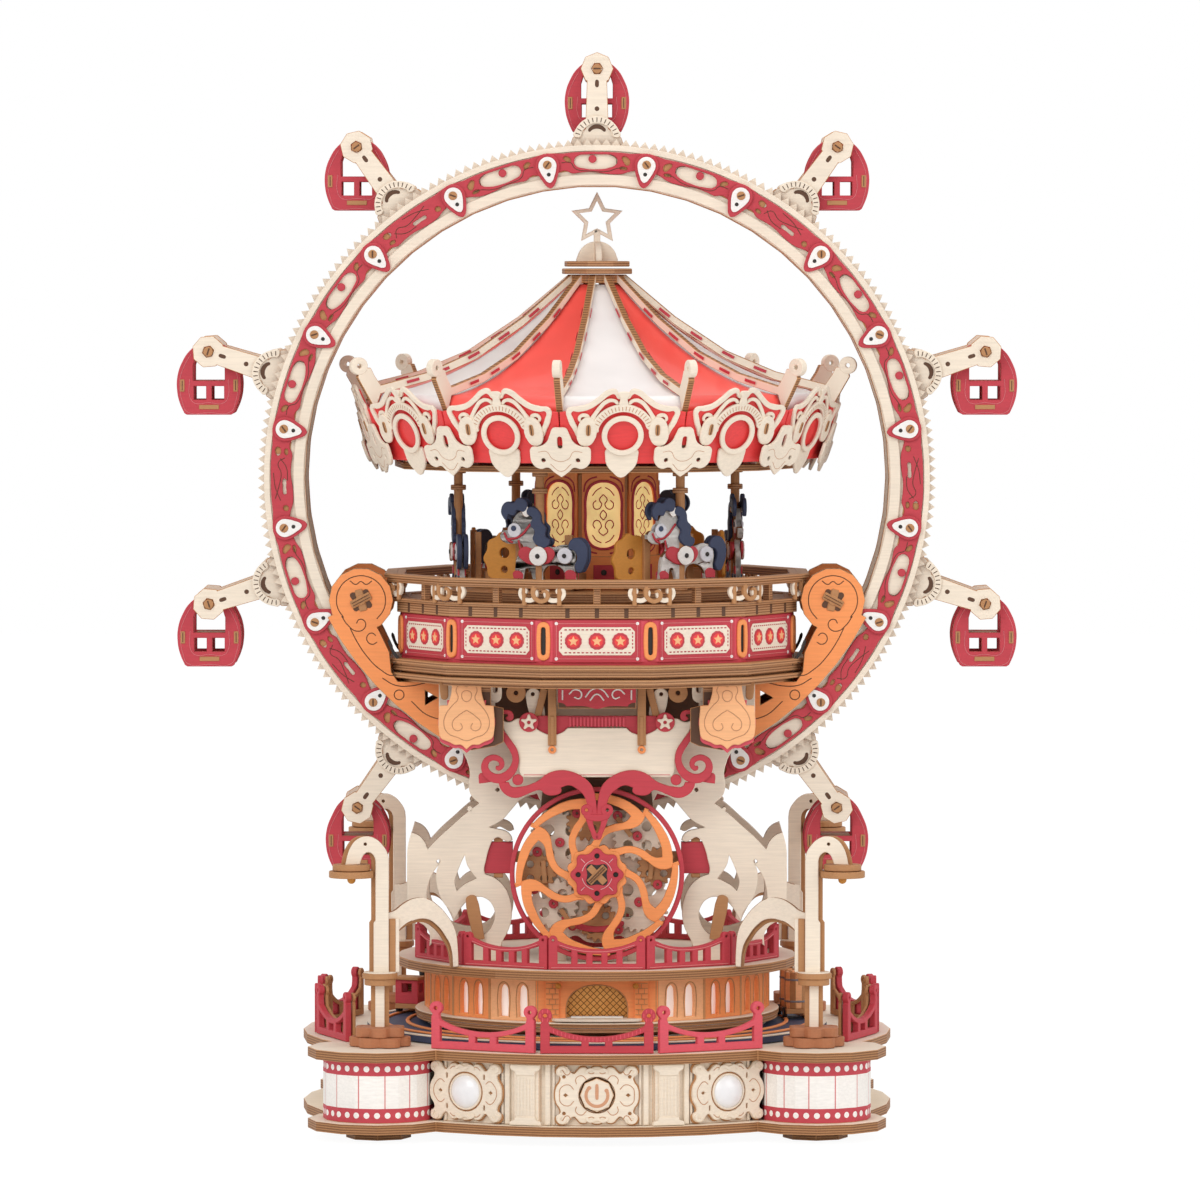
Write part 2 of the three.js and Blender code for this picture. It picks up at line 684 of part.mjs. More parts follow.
// A carved frame sheet: horns, curls, the bridge under the stage and the bearing disc
function frameSheet(front, windowCount) {
  const parts = [];
  const horn = scaled(hornShares, hornReach, hornRise, 0, galleryTop);
  for (const half of [horn, mirrored(horn)]) parts.push(board(half, thickSheet, front));
  for (const side of [-1, 1]) {
    const ring = board(circle(curlRadius, 12, side * curlX, curlHeight), thickSheet, front,
      [circle(curlRadius - curlWidth, 8, side * curlX, curlHeight)]);
    const foot = board([
      [side * curlX - frameFootWidth / 2, galleryTop], [side * curlX + frameFootWidth / 2, galleryTop],
      [side * curlX + frameFootWidth / 2, curlHeight - curlRadius + curlWidth / 2],
      [side * curlX - frameFootWidth / 2, curlHeight - curlRadius + curlWidth / 2],
    ], thickSheet, front);
    const leg = box(frameLegWidth, thickSheet, shaftHeight - galleryTop, side * frameLegX,
      front + thickSheet / 2, galleryTop);
    parts.push(ring, foot, leg);
  }
  const neck = stageBottom - frameBarHeight;
  parts.push(board([
    [-bridgeWaist, neck - bridgeNeckDrop], [-hornReach / 2, shaftHeight + bearingRadius - thickSheet],
    [hornReach / 2, shaftHeight + bearingRadius - thickSheet], [bridgeWaist, neck - bridgeNeckDrop],
    [bridgeWaist + thinSheet, neck - frameBarHeight / 2], [bridgeHalf, neck],
    [bridgeHalf, stageBottom], [-bridgeHalf, stageBottom], [-bridgeHalf, neck],
    [-bridgeWaist - thinSheet, neck - frameBarHeight / 2],
  ], thickSheet, front));
  parts.push(board(circle(bearingRadius, 20, 0, shaftHeight), thickSheet, front));
  const windows = places(windowCount).map((index) => {
    const [x, z] = polar(bearingWindowPlace, (index + 0.5) * turn / windowCount);
    return crossRod(bearingWindowRadius, front - overrun, front + thickSheet + overrun, x, shaftHeight + z, 6);
  });
  windows.push(crossRod(shaftRadius + runGap, front - overrun, front + thickSheet + overrun, 0, shaftHeight, 12));
  return carve([...parts], windows);
}

const shaftRadius = 3;
const ringFront = -18;
const cradleFront = ringFront - sideGap - thickSheet;
const frameFront = cradleFront - thickSheet;
const ringRear = 16;
const cradleRear = ringRear + sideGap;
const frameRear = cradleRear + thickSheet;

// Orange cradle: a disc at each end, arms that follow the ring and a tie under the stage
const cradleInnerShares = [[0.919, 0.597], [0.88, 0.36], [0.872, 0.12], [0.845, 0], [0.27, 0]];
const cradleTieDrop = 14;
const cradleGapHalf = 2.6;
const cradleGapX = 52;
const cradleGapDrop = 5;

function cradleSheet(front) {
  const parts = [];
  const start = Math.PI + Math.asin((wheelCentre - rollerHeight) / rollerDistance);
  const end = Math.PI * 1.5 - Math.asin((bridgeWaist + thickSheet) / cradleEdgeRadius);
  const rise = rollerHeight - stageBottom;
  const left = [
    ...arc(cradleEdgeRadius, start, end, 7, 0, wheelCentre),
    [0, stageBottom - cradleTieDrop], [0, stageBottom],
    ...scaled(cradleInnerShares, -rollerX, rise, 0, stageBottom).reverse(),
    [-rollerX, rollerHeight],
  ];
  for (const half of [left, mirrored(left)]) parts.push(board(half, thickSheet, front));
  for (const side of [-1, 1]) {
    parts.push(board(circle(cradleDiscRadius, 14, side * rollerX, rollerHeight), thickSheet, front));
  }
  const holes = [-1, 1].flatMap((side) => [
    crossRod(rodRadius + runGap, front - overrun, front + thickSheet + overrun, side * rollerX, rollerHeight),
    crossRod(cradleGapHalf, front - overrun, front + thickSheet + overrun, side * cradleGapX,
      stageBottom - cradleGapDrop, 3),
  ]);
  return carve([...parts], holes);
}

// Sign: a bare board with scrolls at its sides and a swag with a pendant below
const signFront = -36;
const signSideShares = [[-0.44, 0.5], [-0.4, 0.15], [-0.47, -0.25], [-0.5, -0.5], [0.5, -0.5], [0.47, -0.25],
  [0.4, 0.15], [0.44, 0.5]];
const signScrollShares = [[-0.53, 0.81], [-0.49, 0.62], [-0.44, 0.3], [-0.47, -0.06], [-0.56, -0.4],
  [-0.66, -0.36], [-0.68, -0.1], [-0.62, 0.05], [-0.58, -0.12]];
const signSwagShares = [[-0.62, -0.45], [-0.52, -0.66], [-0.42, -0.72], [-0.28, -0.5], [-0.14, -0.5],
  [-0.04, -0.78], [0.005, -1.2]];

function buildSign() {
  const plaque = board(scaled(signSideShares, signWidth, signHeight, 0, signMiddle), thinSheet, signFront);
  const parts = [plaque];
  const scrollFront = signFront - thinSheet / 2;
  for (const shares of [signScrollShares, signSwagShares]) {
    const line = scaled(shares, signWidth, signHeight, 0, signMiddle);
    const outline = strip(line, signScrollWidth, signScrollWidth * signScrollEndShare, line.length + 2);
    for (const half of [outline, mirrored(outline)]) parts.push(board(half, thickSheet, scrollFront));
  }
  const swagLow = signMiddle + signHeight * signSwagShares.at(-1)[1];
  parts.push(board([
    [-signScrollWidth, swagLow + signScrollWidth], [0, swagLow + signScrollWidth - signPendantDrop],
    [signScrollWidth, swagLow + signScrollWidth],
  ], thickSheet, scrollFront));
  for (const side of [-1, 1]) {
    parts.push(post(rodRadius, signRodDrop, side * signRodX, signFront - thinSheet / 4,
      stageBottom - signRodDrop, 6));
  }
  place('sign_plaque', join(...parts), 'crimson');
}

function buildFrames() {
  place('front_frame', frameSheet(frameFront, bearingWindows), 'cream');
  place('rear_frame', frameSheet(frameRear, 0), 'cream');
  place('cradle_front', cradleSheet(cradleFront), 'orange');
  place('cradle_rear', cradleSheet(cradleRear), 'orange');
}

// The wheel group stands at the ring centre, so its pieces are drawn round zero
const wheel = new THREE.Group();
wheel.position.set(0, 0, wheelCentre);
root.add(wheel);

const ringGearFront = ringFront + thinSheet;
const armRingFront = ringGearFront + thinSheet;
const armRingRear = hoopHalfWidth;

// A saw tooth outline: one tip and one root for each tooth
function toothOutline(pitchRadius, teeth, startTip) {
  return places(2 * teeth).map((index) => {
    const tip = index % 2 === 0;
    const angle = startTip + index * Math.PI / teeth;
    return polar(tip ? pitchRadius + toothTop : pitchRadius - toothRoot, angle);
  });
}

// An arm ring: a flat ring with ten arms, each with a fan foot and a round head on the pin
const armOutlineShares = [[-0.5, 0], [-0.5, 0.09], [-0.42, 0.26], [-0.2, 0.37], [-0.17, 1],
  [0.17, 1], [0.2, 0.37], [0.42, 0.26], [0.5, 0.09], [0.5, 0]];

function armRing(front) {
  const parts = [board(circle(armRingRadius, ringSides), thinSheet, front, [circle(ringInnerRadius, ringSides)])];
  const holes = [];
  const foot = armRingRadius - thinSheet;
  const armLength = pivotRadius - armHeadRadius / 2 - foot;
  for (const index of places(gondolaCount)) {
    const angle = -index * turn / gondolaCount;
    const arm = board(scaled(armOutlineShares, 2 * armFanRadius, armLength, 0, foot), thinSheet, front);
    const head = board(circle(armHeadRadius, 8, 0, pivotRadius), thinSheet, front);
    parts.push(arm.rotateY(angle), head.rotateY(angle));
    holes.push(crossRod(rodRadius + runGap, front - overrun, front + thinSheet + overrun, 0, pivotRadius, 6)
      .rotateY(angle));
  }
  return carve(parts, holes);
}

function buildWheel() {
  place('ring_front', board(circle(ringPlateRadius, ringSides), thinSheet, ringFront,
    [circle(ringInnerRadius, ringSides)]), 'crimson', wheel);
  const bottomTip = -quarterTurn;
  place('ring_gear', board(toothOutline(ringPitchRadius, ringTeeth, bottomTip), thinSheet, ringGearFront,
    [circle(ringInnerRadius, ringSides)]), 'cream', wheel);
  place('arm_ring_front', armRing(armRingFront), 'cream', wheel);
  place('arm_ring_rear', armRing(armRingRear), 'cream', wheel);
  place('ring_hoop', board(circle(hoopInnerRadius + hoopWall, ringSides), 2 * hoopHalfWidth, -hoopHalfWidth,
    [circle(hoopInnerRadius, ringSides)]), 'cream', wheel);
  for (const index of places(gondolaCount)) buildGondola(index);
}

// A gondola car hangs from its pin: an egg-shaped frame with one wide and two small windows
const gondolaOutlineShares = [
  [-0.22, 1], [0.22, 1], [0.44, 0.77], [0.5, 0.42], [0.35, 0],
  [-0.35, 0], [-0.5, 0.42], [-0.44, 0.77],
];

function buildGondola(index) {
  const hanger = new THREE.Group();
  const [x, z] = polar(pivotRadius, quarterTurn + index * turn / gondolaCount);
  hanger.position.set(x, 0, z);
  wheel.add(hanger);
  const outline = scaled(gondolaOutlineShares, gondolaWidth, gondolaDrop + gondolaRise, 0, -gondolaDrop);
  const lowSill = -gondolaDrop + gondolaWall + gondolaBar;
  const windows = [-1, 1].map((side) => {
    const inner = side * gondolaBar / 2;
    const outer = inner + side * gondolaWindow;
    return [[inner, lowSill], [outer, lowSill], [outer, lowSill + gondolaWindow], [inner, lowSill + gondolaWindow]];
  });
  const upper = lowSill + gondolaWindow + gondolaBar;
  const upperTop = -gondolaWall - rodRadius;
  windows.push([[-gondolaUpperWindow / 2, upper], [gondolaUpperWindow / 2, upper],
    [gondolaUpperWindow / 2 - gondolaBar, upperTop], [-gondolaUpperWindow / 2 + gondolaBar, upperTop]]);
  const tools = windows.map((hole) => board(hole, 2 * (gondolaHalfDepth + overrun), -gondolaHalfDepth - overrun));
  const shell = carve([board(outline, 2 * gondolaHalfDepth, -gondolaHalfDepth)], tools);
  const pinHalf = hoopHalfWidth + thinSheet - runGap / 2;
  const pin = crossRod(rodRadius, -pinHalf, pinHalf, 0, 0, 6);
  place(`gondola_${index + 1}`, join(shell, pin), 'crimson', hanger);
}

// The drive gear meshes with the ring from below; its shaft carries the spiral wheel in front
function buildDrive() {
  const drive = new THREE.Group();
  drive.position.set(0, 0, shaftHeight);
  root.add(drive);
  const gearRear = armRingFront - runGap;
  const topGap = quarterTurn + Math.PI / driveTeeth;
  const gear = board(toothOutline(drivePitchRadius, driveTeeth, topGap), gearRear - ringGearFront, ringGearFront);
  const shaftFront = frameFront - sideGap - 3 * thickSheet;
  const shaft = crossRod(shaftRadius, shaftFront, gearRear, 0, 0, 12);
  place('drive_gear', join(gear, shaft), 'cream', drive);

  const wheelFront = shaftFront + thinSheet;
  const rim = board(circle(spiralRadius, 24), thickSheet, wheelFront, [circle(spiralRadius - spiralRimWidth, 24)]);
  const hub = board(circle(spiralHubRadius, 12), 2 * thickSheet, wheelFront - thinSheet / 2);
  const parts = [rim, hub];
  for (const index of places(spiralSpokes)) {
    const outline = strip(scaled(spokeShares, spiralRadius, spiralRadius), spokeWidth, spokeWidth * spokeEndShare, 4);
    parts.push(board(outline, thickSheet, wheelFront).rotateY(index * turn / spiralSpokes));
  }
  const bore = crossRod(shaftRadius + runGap, shaftFront - overrun, gearRear, 0, 0, 12);
  place('spiral_wheel', carve([...parts], [bore]), 'orange', drive);
}

const spokeShares = [[0.2, 0], [0.42, 0.1], [0.62, 0.08], [0.8, -0.08], [0.93, -0.16]];

function buildRollers() {
  for (const side of [-1, 1]) {
    const group = new THREE.Group();
    group.position.set(side * rollerX, 0, rollerHeight);
    root.add(group);
    const axle = crossRod(rodRadius, cradleFront - overrun, cradleRear + thickSheet + overrun, 0, 0);
    const frontDisc = crossRod(rollerRadius, ringFront, armRingFront, 0, 0, 16);
    const rearDisc = crossRod(rollerRadius, armRingRear, ringRear, 0, 0, 16);
    place(`guide_roller_${side < 0 ? 'left' : 'right'}`, join(axle, frontDisc, rearDisc), 'brown', group);
  }
}

const shieldShares = [
  [-0.3, 1], [0.3, 1], [0.3, 0.66], [0.5, 0.62], [0.5, 0.12], [0.36, 0.06], [0, 0], [-0.36, 0.06],
  [-0.5, 0.12], [-0.5, 0.62], [-0.3, 0.66],
];
const bracketX = 38.5;
const bracketWidth = 19.5;
const bracketDrop = 20;
const bracketFront = -42;
const stageWell = 5;
const apronWidth = 24;
const apronDrop = 7;

function buildStage() {
  // Two stepped plates, the motor housing, two hanging shields and a short apron below
  const lower = slab(flatPolygon(lowerStepApothem, stageSides), lowerStepHeight, stageBottom);
  const upper = slab(flatPolygon(upperStepApothem, stageSides), upperStepHeight, stageBottom + lowerStepHeight);
  const motor = post(motorRadius, motorHeight + overrun, 0, 0, stageBottom - motorHeight, 14);
  const shields = [-1, 1].map((side) => board(
    scaled(shieldShares, bracketWidth, bracketDrop + overrun, side * bracketX, stageBottom - bracketDrop),
    thinSheet, bracketFront));
  const apron = box(apronWidth, thinSheet, apronDrop + overrun, 0, bracketFront, stageBottom - apronDrop);
  const well = post(stageWell, lowerStepHeight + upperStepHeight, 0, 0, stageBottom + 2 * overrun, 12);
  place('stage_base', carve([lower, upper, motor, ...shields, apron], [well]), 'brown');

  const wall = slab(flatPolygon(stageWallApothem, stageSides), stageWallHeight, stageWallBottom,
    [flatPolygon(stageWallApothem - stageWallThickness, stageSides)]);
  const cornerOut = stageWallApothem / Math.cos(Math.PI / stageSides);
  const slotBottom = stageWallBottom + (stageWallHeight - stageSlotHeight) / 2;
  const slots = places(stageSides).map((index) => swung(
    box(stageSlotWidth, 3 * stageWallThickness, stageSlotHeight, 0, -cornerOut, slotBottom),
    (index + 0.5) * turn / stageSides));
  place('stage_drum', carve([wall], slots), 'crimson');

  const top = slab(flatPolygon(stageTopApothem, stageSides), stageTopThickness, stageWallTop,
    [circle(stageWell, 12)]);
  const rail = slab(flatPolygon(railApothem, stageSides), railThickness, railBottom,
    [flatPolygon(railInnerApothem, stageSides)]);
  const balusters = places(stageSides).map((index) => swung(
    box(balusterSize, balusterSize, railBottom - stageFloor + 2 * overrun,
      0, -stageTopApothem + balusterSize / 2, stageFloor - overrun),
    index * turn / stageSides));
  place('stage_top', join(top, rail, ...balusters), 'brown');
}

// The carousel turns round the upright axis inside the wheel
const carousel = new THREE.Group();
carousel.rotation.z = carouselSkew;
root.add(carousel);

// A closed profile turned round the upright axis with flat sides, corners first at the front
function facetLathe(profile, sides) {
  const closed = [...profile, profile[0]].map(([radius, height]) => new THREE.Vector2(radius, height));
  const geometry = new THREE.LatheGeometry(closed, sides, Math.PI / sides);
  geometry.rotateX(quarterTurn);
  const solid = toSolid(geometry);
  if (solid.volume() > 0) return toGeometry(solid);
  const order = geometry.index.array;
  for (let corner = 0; corner < order.length; corner += 3) {
    [order[corner], order[corner + 1]] = [order[corner + 1], order[corner]];
  }
  return toGeometry(toSolid(geometry));
}

// Height of the tent ridge at a share of the way from its top to its rim
function tentPoint(share) {
  const radius = tentTopRadius + (tentRimRadius - tentTopRadius) * share;
  const line = tentTopHeight + (tentRimHeight - tentTopHeight) * share;
  return [radius, line - tentSag * Math.sin(Math.PI * share)];
}

const tentLine = (lift) => places(tentSteps + 1).map((index) => {
  const [radius, height] = tentPoint(index / tentSteps);
  return [radius, height + lift];
});

const ribBladeShares = [[0.95, 0.92], [0.965, 1], [1.01, 1], [1.02, 0.9], [0.985, 0.74], [0.9, 0.36],
  [0.812, 0], [0.74, 0], [0.88, 0.5], [0.936, 0.64]];

function buildCanopy() {
  const floor = slab(flatPolygon(canopyFloorApothem, canopySides), thinSheet, canopyFloorBottom);
  const floorTop = canopyFloorBottom + thinSheet;
  const ribGap = runGap + overrun / 5;
  const outline = [
    [0, tentTopHeight + ribGap + ribHeight], ...tentLine(ribGap + ribHeight),
    ...scaled(ribBladeShares, bladeRadius, bladeTop - floorTop, 0, floorTop - overrun / 2),
    ...tentLine(ribGap).reverse(), [0, tentTopHeight + ribGap],
  ];
  const ribs = places(canopySides).map((index) => {
    const sheet = board(outline, ribSheet, -ribSheet / 2);
    return sheet.rotateZ((index + 0.5) * turn / canopySides - quarterTurn);
  });
  const top = post(tentTopRadius, ribHeight, 0, 0, tentTopHeight + ribGap, 12);
  place('canopy_frame', join(floor, top, ...ribs), 'cream', carousel);

  place('canopy_cover', facetLathe([...tentLine(0), ...tentLine(-tentSheet).reverse()], canopySides), 'roof', carousel);

  const toCorner = 1 / Math.cos(Math.PI / canopySides);
  const shell = facetLathe([
    [valanceTopApothem * toCorner, valanceTop], [valanceBottomApothem * toCorner, valanceBottom],
    [valanceBottomApothem * toCorner - valanceSheet, valanceBottom],
    [valanceTopApothem * toCorner - valanceSheet, valanceTop],
  ], canopySides);
  const fall = valanceTop - valanceBottom;
  const lean = Math.atan2(valanceTopApothem - valanceBottomApothem, fall);
  const slope = fall / Math.cos(lean);
  const atSlope = (geometry, angle) => geometry.rotateX(lean).translate(0, -valanceTopApothem, valanceTop).rotateZ(angle);
  const discAt = -(valanceTop - valanceDiscHeight) / Math.cos(lean);
  const parts = [shell];
  const tools = [];
  for (const index of places(canopySides)) {
    const angle = index * turn / canopySides;
    parts.push(atSlope(board(scaled(leafShares, leafWidth, leafLength + thickSheet, 0, -slope - leafLength),
      valanceSheet, 0), angle));
    tools.push(atSlope(crossRod(valanceHoleRadius, -overrun, valanceSheet + overrun, 0, discAt, 6), angle));
    const blade = box(ribSheet + 2 * runGap, 2 * leafLength, fall, 0, -valanceTopApothem * toCorner,
      valanceTop - fall * bladeSlotShare);
    tools.push(swung(blade, angle + Math.PI / canopySides));
  }
  place('canopy_valance', carve([...parts], tools), 'cream', carousel);
}

const leafShares = [[-0.5, 1], [0, 0], [0.5, 1]];
const bladeSlotShare = 0.55;

function starOutline(radius) {
  return places(10).map((index) => {
    const reach = index % 2 === 0 ? radius : radius * starInnerShare;
    const [x, z] = polar(reach, quarterTurn + index * turn / 10);
    return [x, starHeight + z];
  });
}

function buildFinial() {
  const bottom = tentTopHeight + runGap + overrun / 5 + ribHeight;
  const capTop = bottom + capThickness;
  const cap = post(capRadius, capThickness, 0, 0, bottom, 8);
  const star = board(starOutline(starRadius), thinSheet, -thinSheet / 2, [starOutline(starRadius * starFrameShare)
    .map(([x, z]) => [x, z])]);
  const base = board(arc(starBaseRadius, 0, Math.PI, 10, 0, capTop - overrun / 2), thinSheet, -thinSheet / 2);
  const stemTop = starHeight - starRadius * starInnerShare + overrun / 2;
  const stem = box(thinSheet, thinSheet, stemTop - capTop, 0, 0, capTop);
  place('star_finial', join(cap, base, stem, star), 'brown', carousel);
}

const horseShares = [
  [0.105, 0.49], [0.01, 0.59], [0.03, 0.9], [0.19, 1], [0.36, 1], [0.465, 0.787], [0.545, 0.463],
  [0.77, 0.5], [0.947, 0.463], [1, 0.278], [0.842, 0.222], [0.833, 0.02], [0.72, 0.01],
  [0.67, 0.15], [0.56, 0.15], [0.553, 0.02], [0.44, 0.01], [0.35, 0.15], [0.3, 0.03], [0.22, 0.03],
  [0.21, 0.37], [0.28, 0.48],
];

function buildCarousel() {
  const plate = post(turntableRadius, turntableThickness, 0, 0, turntableBottom, 36);
  const shaftFoot = stageBottom + lowerStepHeight;
  const shaft = post(turntableShaftRadius, turntableBottom - shaftFoot + overrun, 0, 0, shaftFoot, 10);
  place('turntable', join(plate, shaft), 'brown', carousel);

  const height = canopyFloorBottom - turntableTop;
  const core = slab(flatPolygon(columnApothem, columnSides), height, turntableTop);
  const base = slab(flatPolygon(columnBaseApothem, columnSides), columnBaseHeight, turntableTop);
  const faces = places(columnSides).map((index) => swung(
    box(columnFaceWidth, 2 * columnFaceDepth, columnFaceHeight, 0, -columnApothem, turntableTop + columnBaseHeight - overrun),
    index * turn / columnSides));
  place('center_column', join(core, base, ...faces), 'orange', carousel);

  for (const index of places(horseCount)) {
    const mount = new THREE.Group();
    mount.rotation.z = (index + 0.5) * turn / horseCount;
    carousel.add(mount);
    const body = board(scaled(horseShares, horseLength, horseHeight, -horseLength / 2, turntableTop + horseLift),
      horseThickness, -horseRadius - horseThickness / 2);
    const pole = post(horsePoleRadius, height, 0, -horseRadius, turntableTop, 6);
    place(`horse_${index + 1}`, join(body, pole), 'white', mount);
  }
}

// The track ring turns round the arcade and carries an engine and a barrel wagon
function buildTrain() {
  const ring = slab(circle(trackOuterRadius, 36), trackThickness, trackBottom, [circle(trackInnerRadius, 36)]);
  const cars = carAngles.map((angle, index) => {
    const floor = trackTop;
    const parts = [box(carLength, carWidth, carFloor, 0, -carRadius, floor - overrun / 4)];
    const lying = (radius, length, x) => {
      const roll = crossRod(radius, -length / 2, length / 2, 0, 0, 10).rotateZ(quarterTurn);
      return roll.translate(x, -carRadius, floor + carFloor + radius * barrelSeatShare);
    };
    if (index === 0) parts.push(lying(barrelRadius, carLength * barrelLengthShare, 0));
    else {
      parts.push(lying(boilerRadius, carLength * boilerLengthShare, -carLength * (1 - boilerLengthShare) / 2));
      parts.push(box(carLength * cabShare, carWidth, cabHeight, carLength * (1 - cabShare) / 2, -carRadius, floor));
      parts.push(post(rodRadius, cabHeight, -carLength / 3, -carRadius, floor + carFloor, 6));
    }
    return swung(join(...parts), angle);
  });
  place('track_ring', join(ring, ...cars), 'track');
}

const barrelSeatShare = 0.7;
const barrelLengthShare = 0.86;
const boilerLengthShare = 0.7;
const cabShare = 0.34;

buildBase();
buildFacade();
buildArcade();
buildDeckFences();
buildTrain();
buildLampPosts();
buildFrames();
buildSign();
buildStage();
buildCarousel();
buildCanopy();
buildFinial();
buildWheel();
buildDrive();
buildRollers();

export default root;
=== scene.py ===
import bpy, bmesh
from math import sin, cos, pi, radians, atan2, hypot, sqrt
from mathutils import Matrix, Vector


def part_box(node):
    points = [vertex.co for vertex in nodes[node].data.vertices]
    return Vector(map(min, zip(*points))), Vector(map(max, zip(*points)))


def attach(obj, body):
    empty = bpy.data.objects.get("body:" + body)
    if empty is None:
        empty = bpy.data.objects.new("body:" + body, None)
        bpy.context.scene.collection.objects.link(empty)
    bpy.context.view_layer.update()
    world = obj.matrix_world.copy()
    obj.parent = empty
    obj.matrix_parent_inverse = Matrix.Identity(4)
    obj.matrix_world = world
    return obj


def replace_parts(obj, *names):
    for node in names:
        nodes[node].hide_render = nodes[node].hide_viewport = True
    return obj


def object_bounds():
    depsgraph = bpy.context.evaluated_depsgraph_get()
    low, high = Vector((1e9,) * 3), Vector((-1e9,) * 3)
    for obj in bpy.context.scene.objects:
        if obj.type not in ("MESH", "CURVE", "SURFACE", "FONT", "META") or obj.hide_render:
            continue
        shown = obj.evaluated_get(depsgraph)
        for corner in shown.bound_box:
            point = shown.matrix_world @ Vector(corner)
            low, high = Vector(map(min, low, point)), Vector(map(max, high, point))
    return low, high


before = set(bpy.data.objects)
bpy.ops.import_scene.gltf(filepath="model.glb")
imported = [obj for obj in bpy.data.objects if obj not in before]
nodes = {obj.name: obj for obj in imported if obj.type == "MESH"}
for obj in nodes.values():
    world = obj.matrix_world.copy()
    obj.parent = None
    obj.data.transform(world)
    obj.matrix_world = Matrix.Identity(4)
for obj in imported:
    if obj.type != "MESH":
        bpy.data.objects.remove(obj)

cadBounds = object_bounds()
mm = 0.001

# camera, a long lens in front of the sign, a little above the tent
photoView = {"lens": 240, "sensor": 36, "distance": 2.5, "height": 0.278, "aside": 0.00094, "tilt": 2.648}

camera = bpy.data.objects.new("photoCamera", bpy.data.cameras.new("photoCamera"))
camera.data.lens = photoView["lens"]
camera.data.sensor_width = photoView["sensor"]
camera.location = (photoView["aside"], -photoView["distance"], photoView["height"])
camera.rotation_euler = (radians(90 - photoView["tilt"]), 0, 0)
bpy.context.scene.collection.objects.link(camera)
bpy.context.scene.camera = camera
print("camera set")

# materials

def paint(red, green, blue):  # a colour given 0 to 255, made linear
    return tuple(((c / 255 + 0.055) / 1.055) ** 2.4 if c > 10 else c / 3294.6 for c in (red, green, blue)) + (1,)


def put(tree, kind, inputs=None, **settings):  # adds a node, with sockets or values on its inputs
    node = tree.nodes.new("ShaderNode" + kind)
    for key, value in settings.items():
        setattr(node, key, value)
    for key, value in (inputs or {}).items():
        if isinstance(value, bpy.types.NodeSocket):
            tree.links.new(value, node.inputs[key])
        else:
            node.inputs[key].default_value = value
    return node


def axes(tree, vector):  # x, y and z
    return put(tree, "SeparateXYZ", {0: vector}).outputs


def calc(tree, operation, first, second=0.0):
    return put(tree, "Math", {0: first, 1: second}, operation=operation).outputs[0]


def either(tree, *factors):
    out = factors[0]
    for factor in factors[1:]:
        out = calc(tree, "MAXIMUM", out, factor)
    return out


def mixColour(tree, factor, first, second, mode="MIX"):
    node = put(tree, "Mix", {0: factor, 6: first, 7: second}, data_type="RGBA", blend_type=mode)
    return node.outputs[2]


def startMaterial(name, roughness=0.6, **sockets):
    material = bpy.data.materials.new(name)
    material.use_nodes = True
    tree = material.node_tree
    shader = tree.nodes["Principled BSDF"]
    shader.inputs["Roughness"].default_value = roughness
    for key, value in sockets.items():
        shader.inputs[key].default_value = value
    return material, tree, shader


woodLook = {
    "grainLength": 0.09, "grainWidth": 1.6,  # noise steps per mm along and across the grain
    "grainDepth": 0.16, "blotch": 0.05, "blotchDepth": 0.10,
    "pore": 4.5, "bump": 0.25, "plySheet": 0.75, "faceTurn": 0.55,
}


def grainOf(tree, alongAxis):  # streaks and blotches of a rotary-cut face sheet
    place = put(tree, "TexCoord").outputs["Object"]
    stretch = [woodLook["grainWidth"] * 1000] * 3
    stretch[alongAxis] = woodLook["grainLength"] * 1000
    run = put(tree, "Mapping", {"Vector": place, "Scale": stretch}).outputs[0]
    streak = put(tree, "TexNoise", {"Vector": run, "Scale": 1, "Detail": 5, "Roughness": 0.6}).outputs[0]
    wide = put(tree, "TexNoise", {"Vector": place, "Scale": woodLook["blotch"] * 1000, "Detail": 3}).outputs[0]
    pore = put(tree, "TexNoise", {"Vector": place, "Scale": woodLook["pore"] * 1000, "Detail": 2}).outputs[0]
    return place, streak, wide, pore


def shadeWith(tree, colour, factor, depth):  # colour made lighter and darker by a noise
    level = put(tree, "MapRange", {"Value": factor, 1: 0.25, 2: 0.75, 3: 1 - depth, 4: 1 + depth}).outputs[0]
    grey = put(tree, "CombineColor", {0: level, 1: level, 2: level}).outputs[0]
    return mixColour(tree, 1.0, colour, grey, "MULTIPLY")


def edgeColour(tree, place, pore, light, dark, layerAxis):  # laser-browned edge with its plies
    steps = axes(tree, place)[layerAxis]
    wave = calc(tree, "FRACT", calc(tree, "MULTIPLY", steps, 1000 / woodLook["plySheet"]))
    ply = put(tree, "MapRange", {"Value": wave, 1: 0.35, 2: 0.6, 3: 0.0, 4: 1.0}).outputs[0]
    burn = calc(tree, "MULTIPLY", calc(tree, "ADD", ply, pore), 0.62)
    return mixColour(tree, burn, light, dark)


edgeLight, edgeDark = paint(198, 142, 92), paint(116, 74, 40)


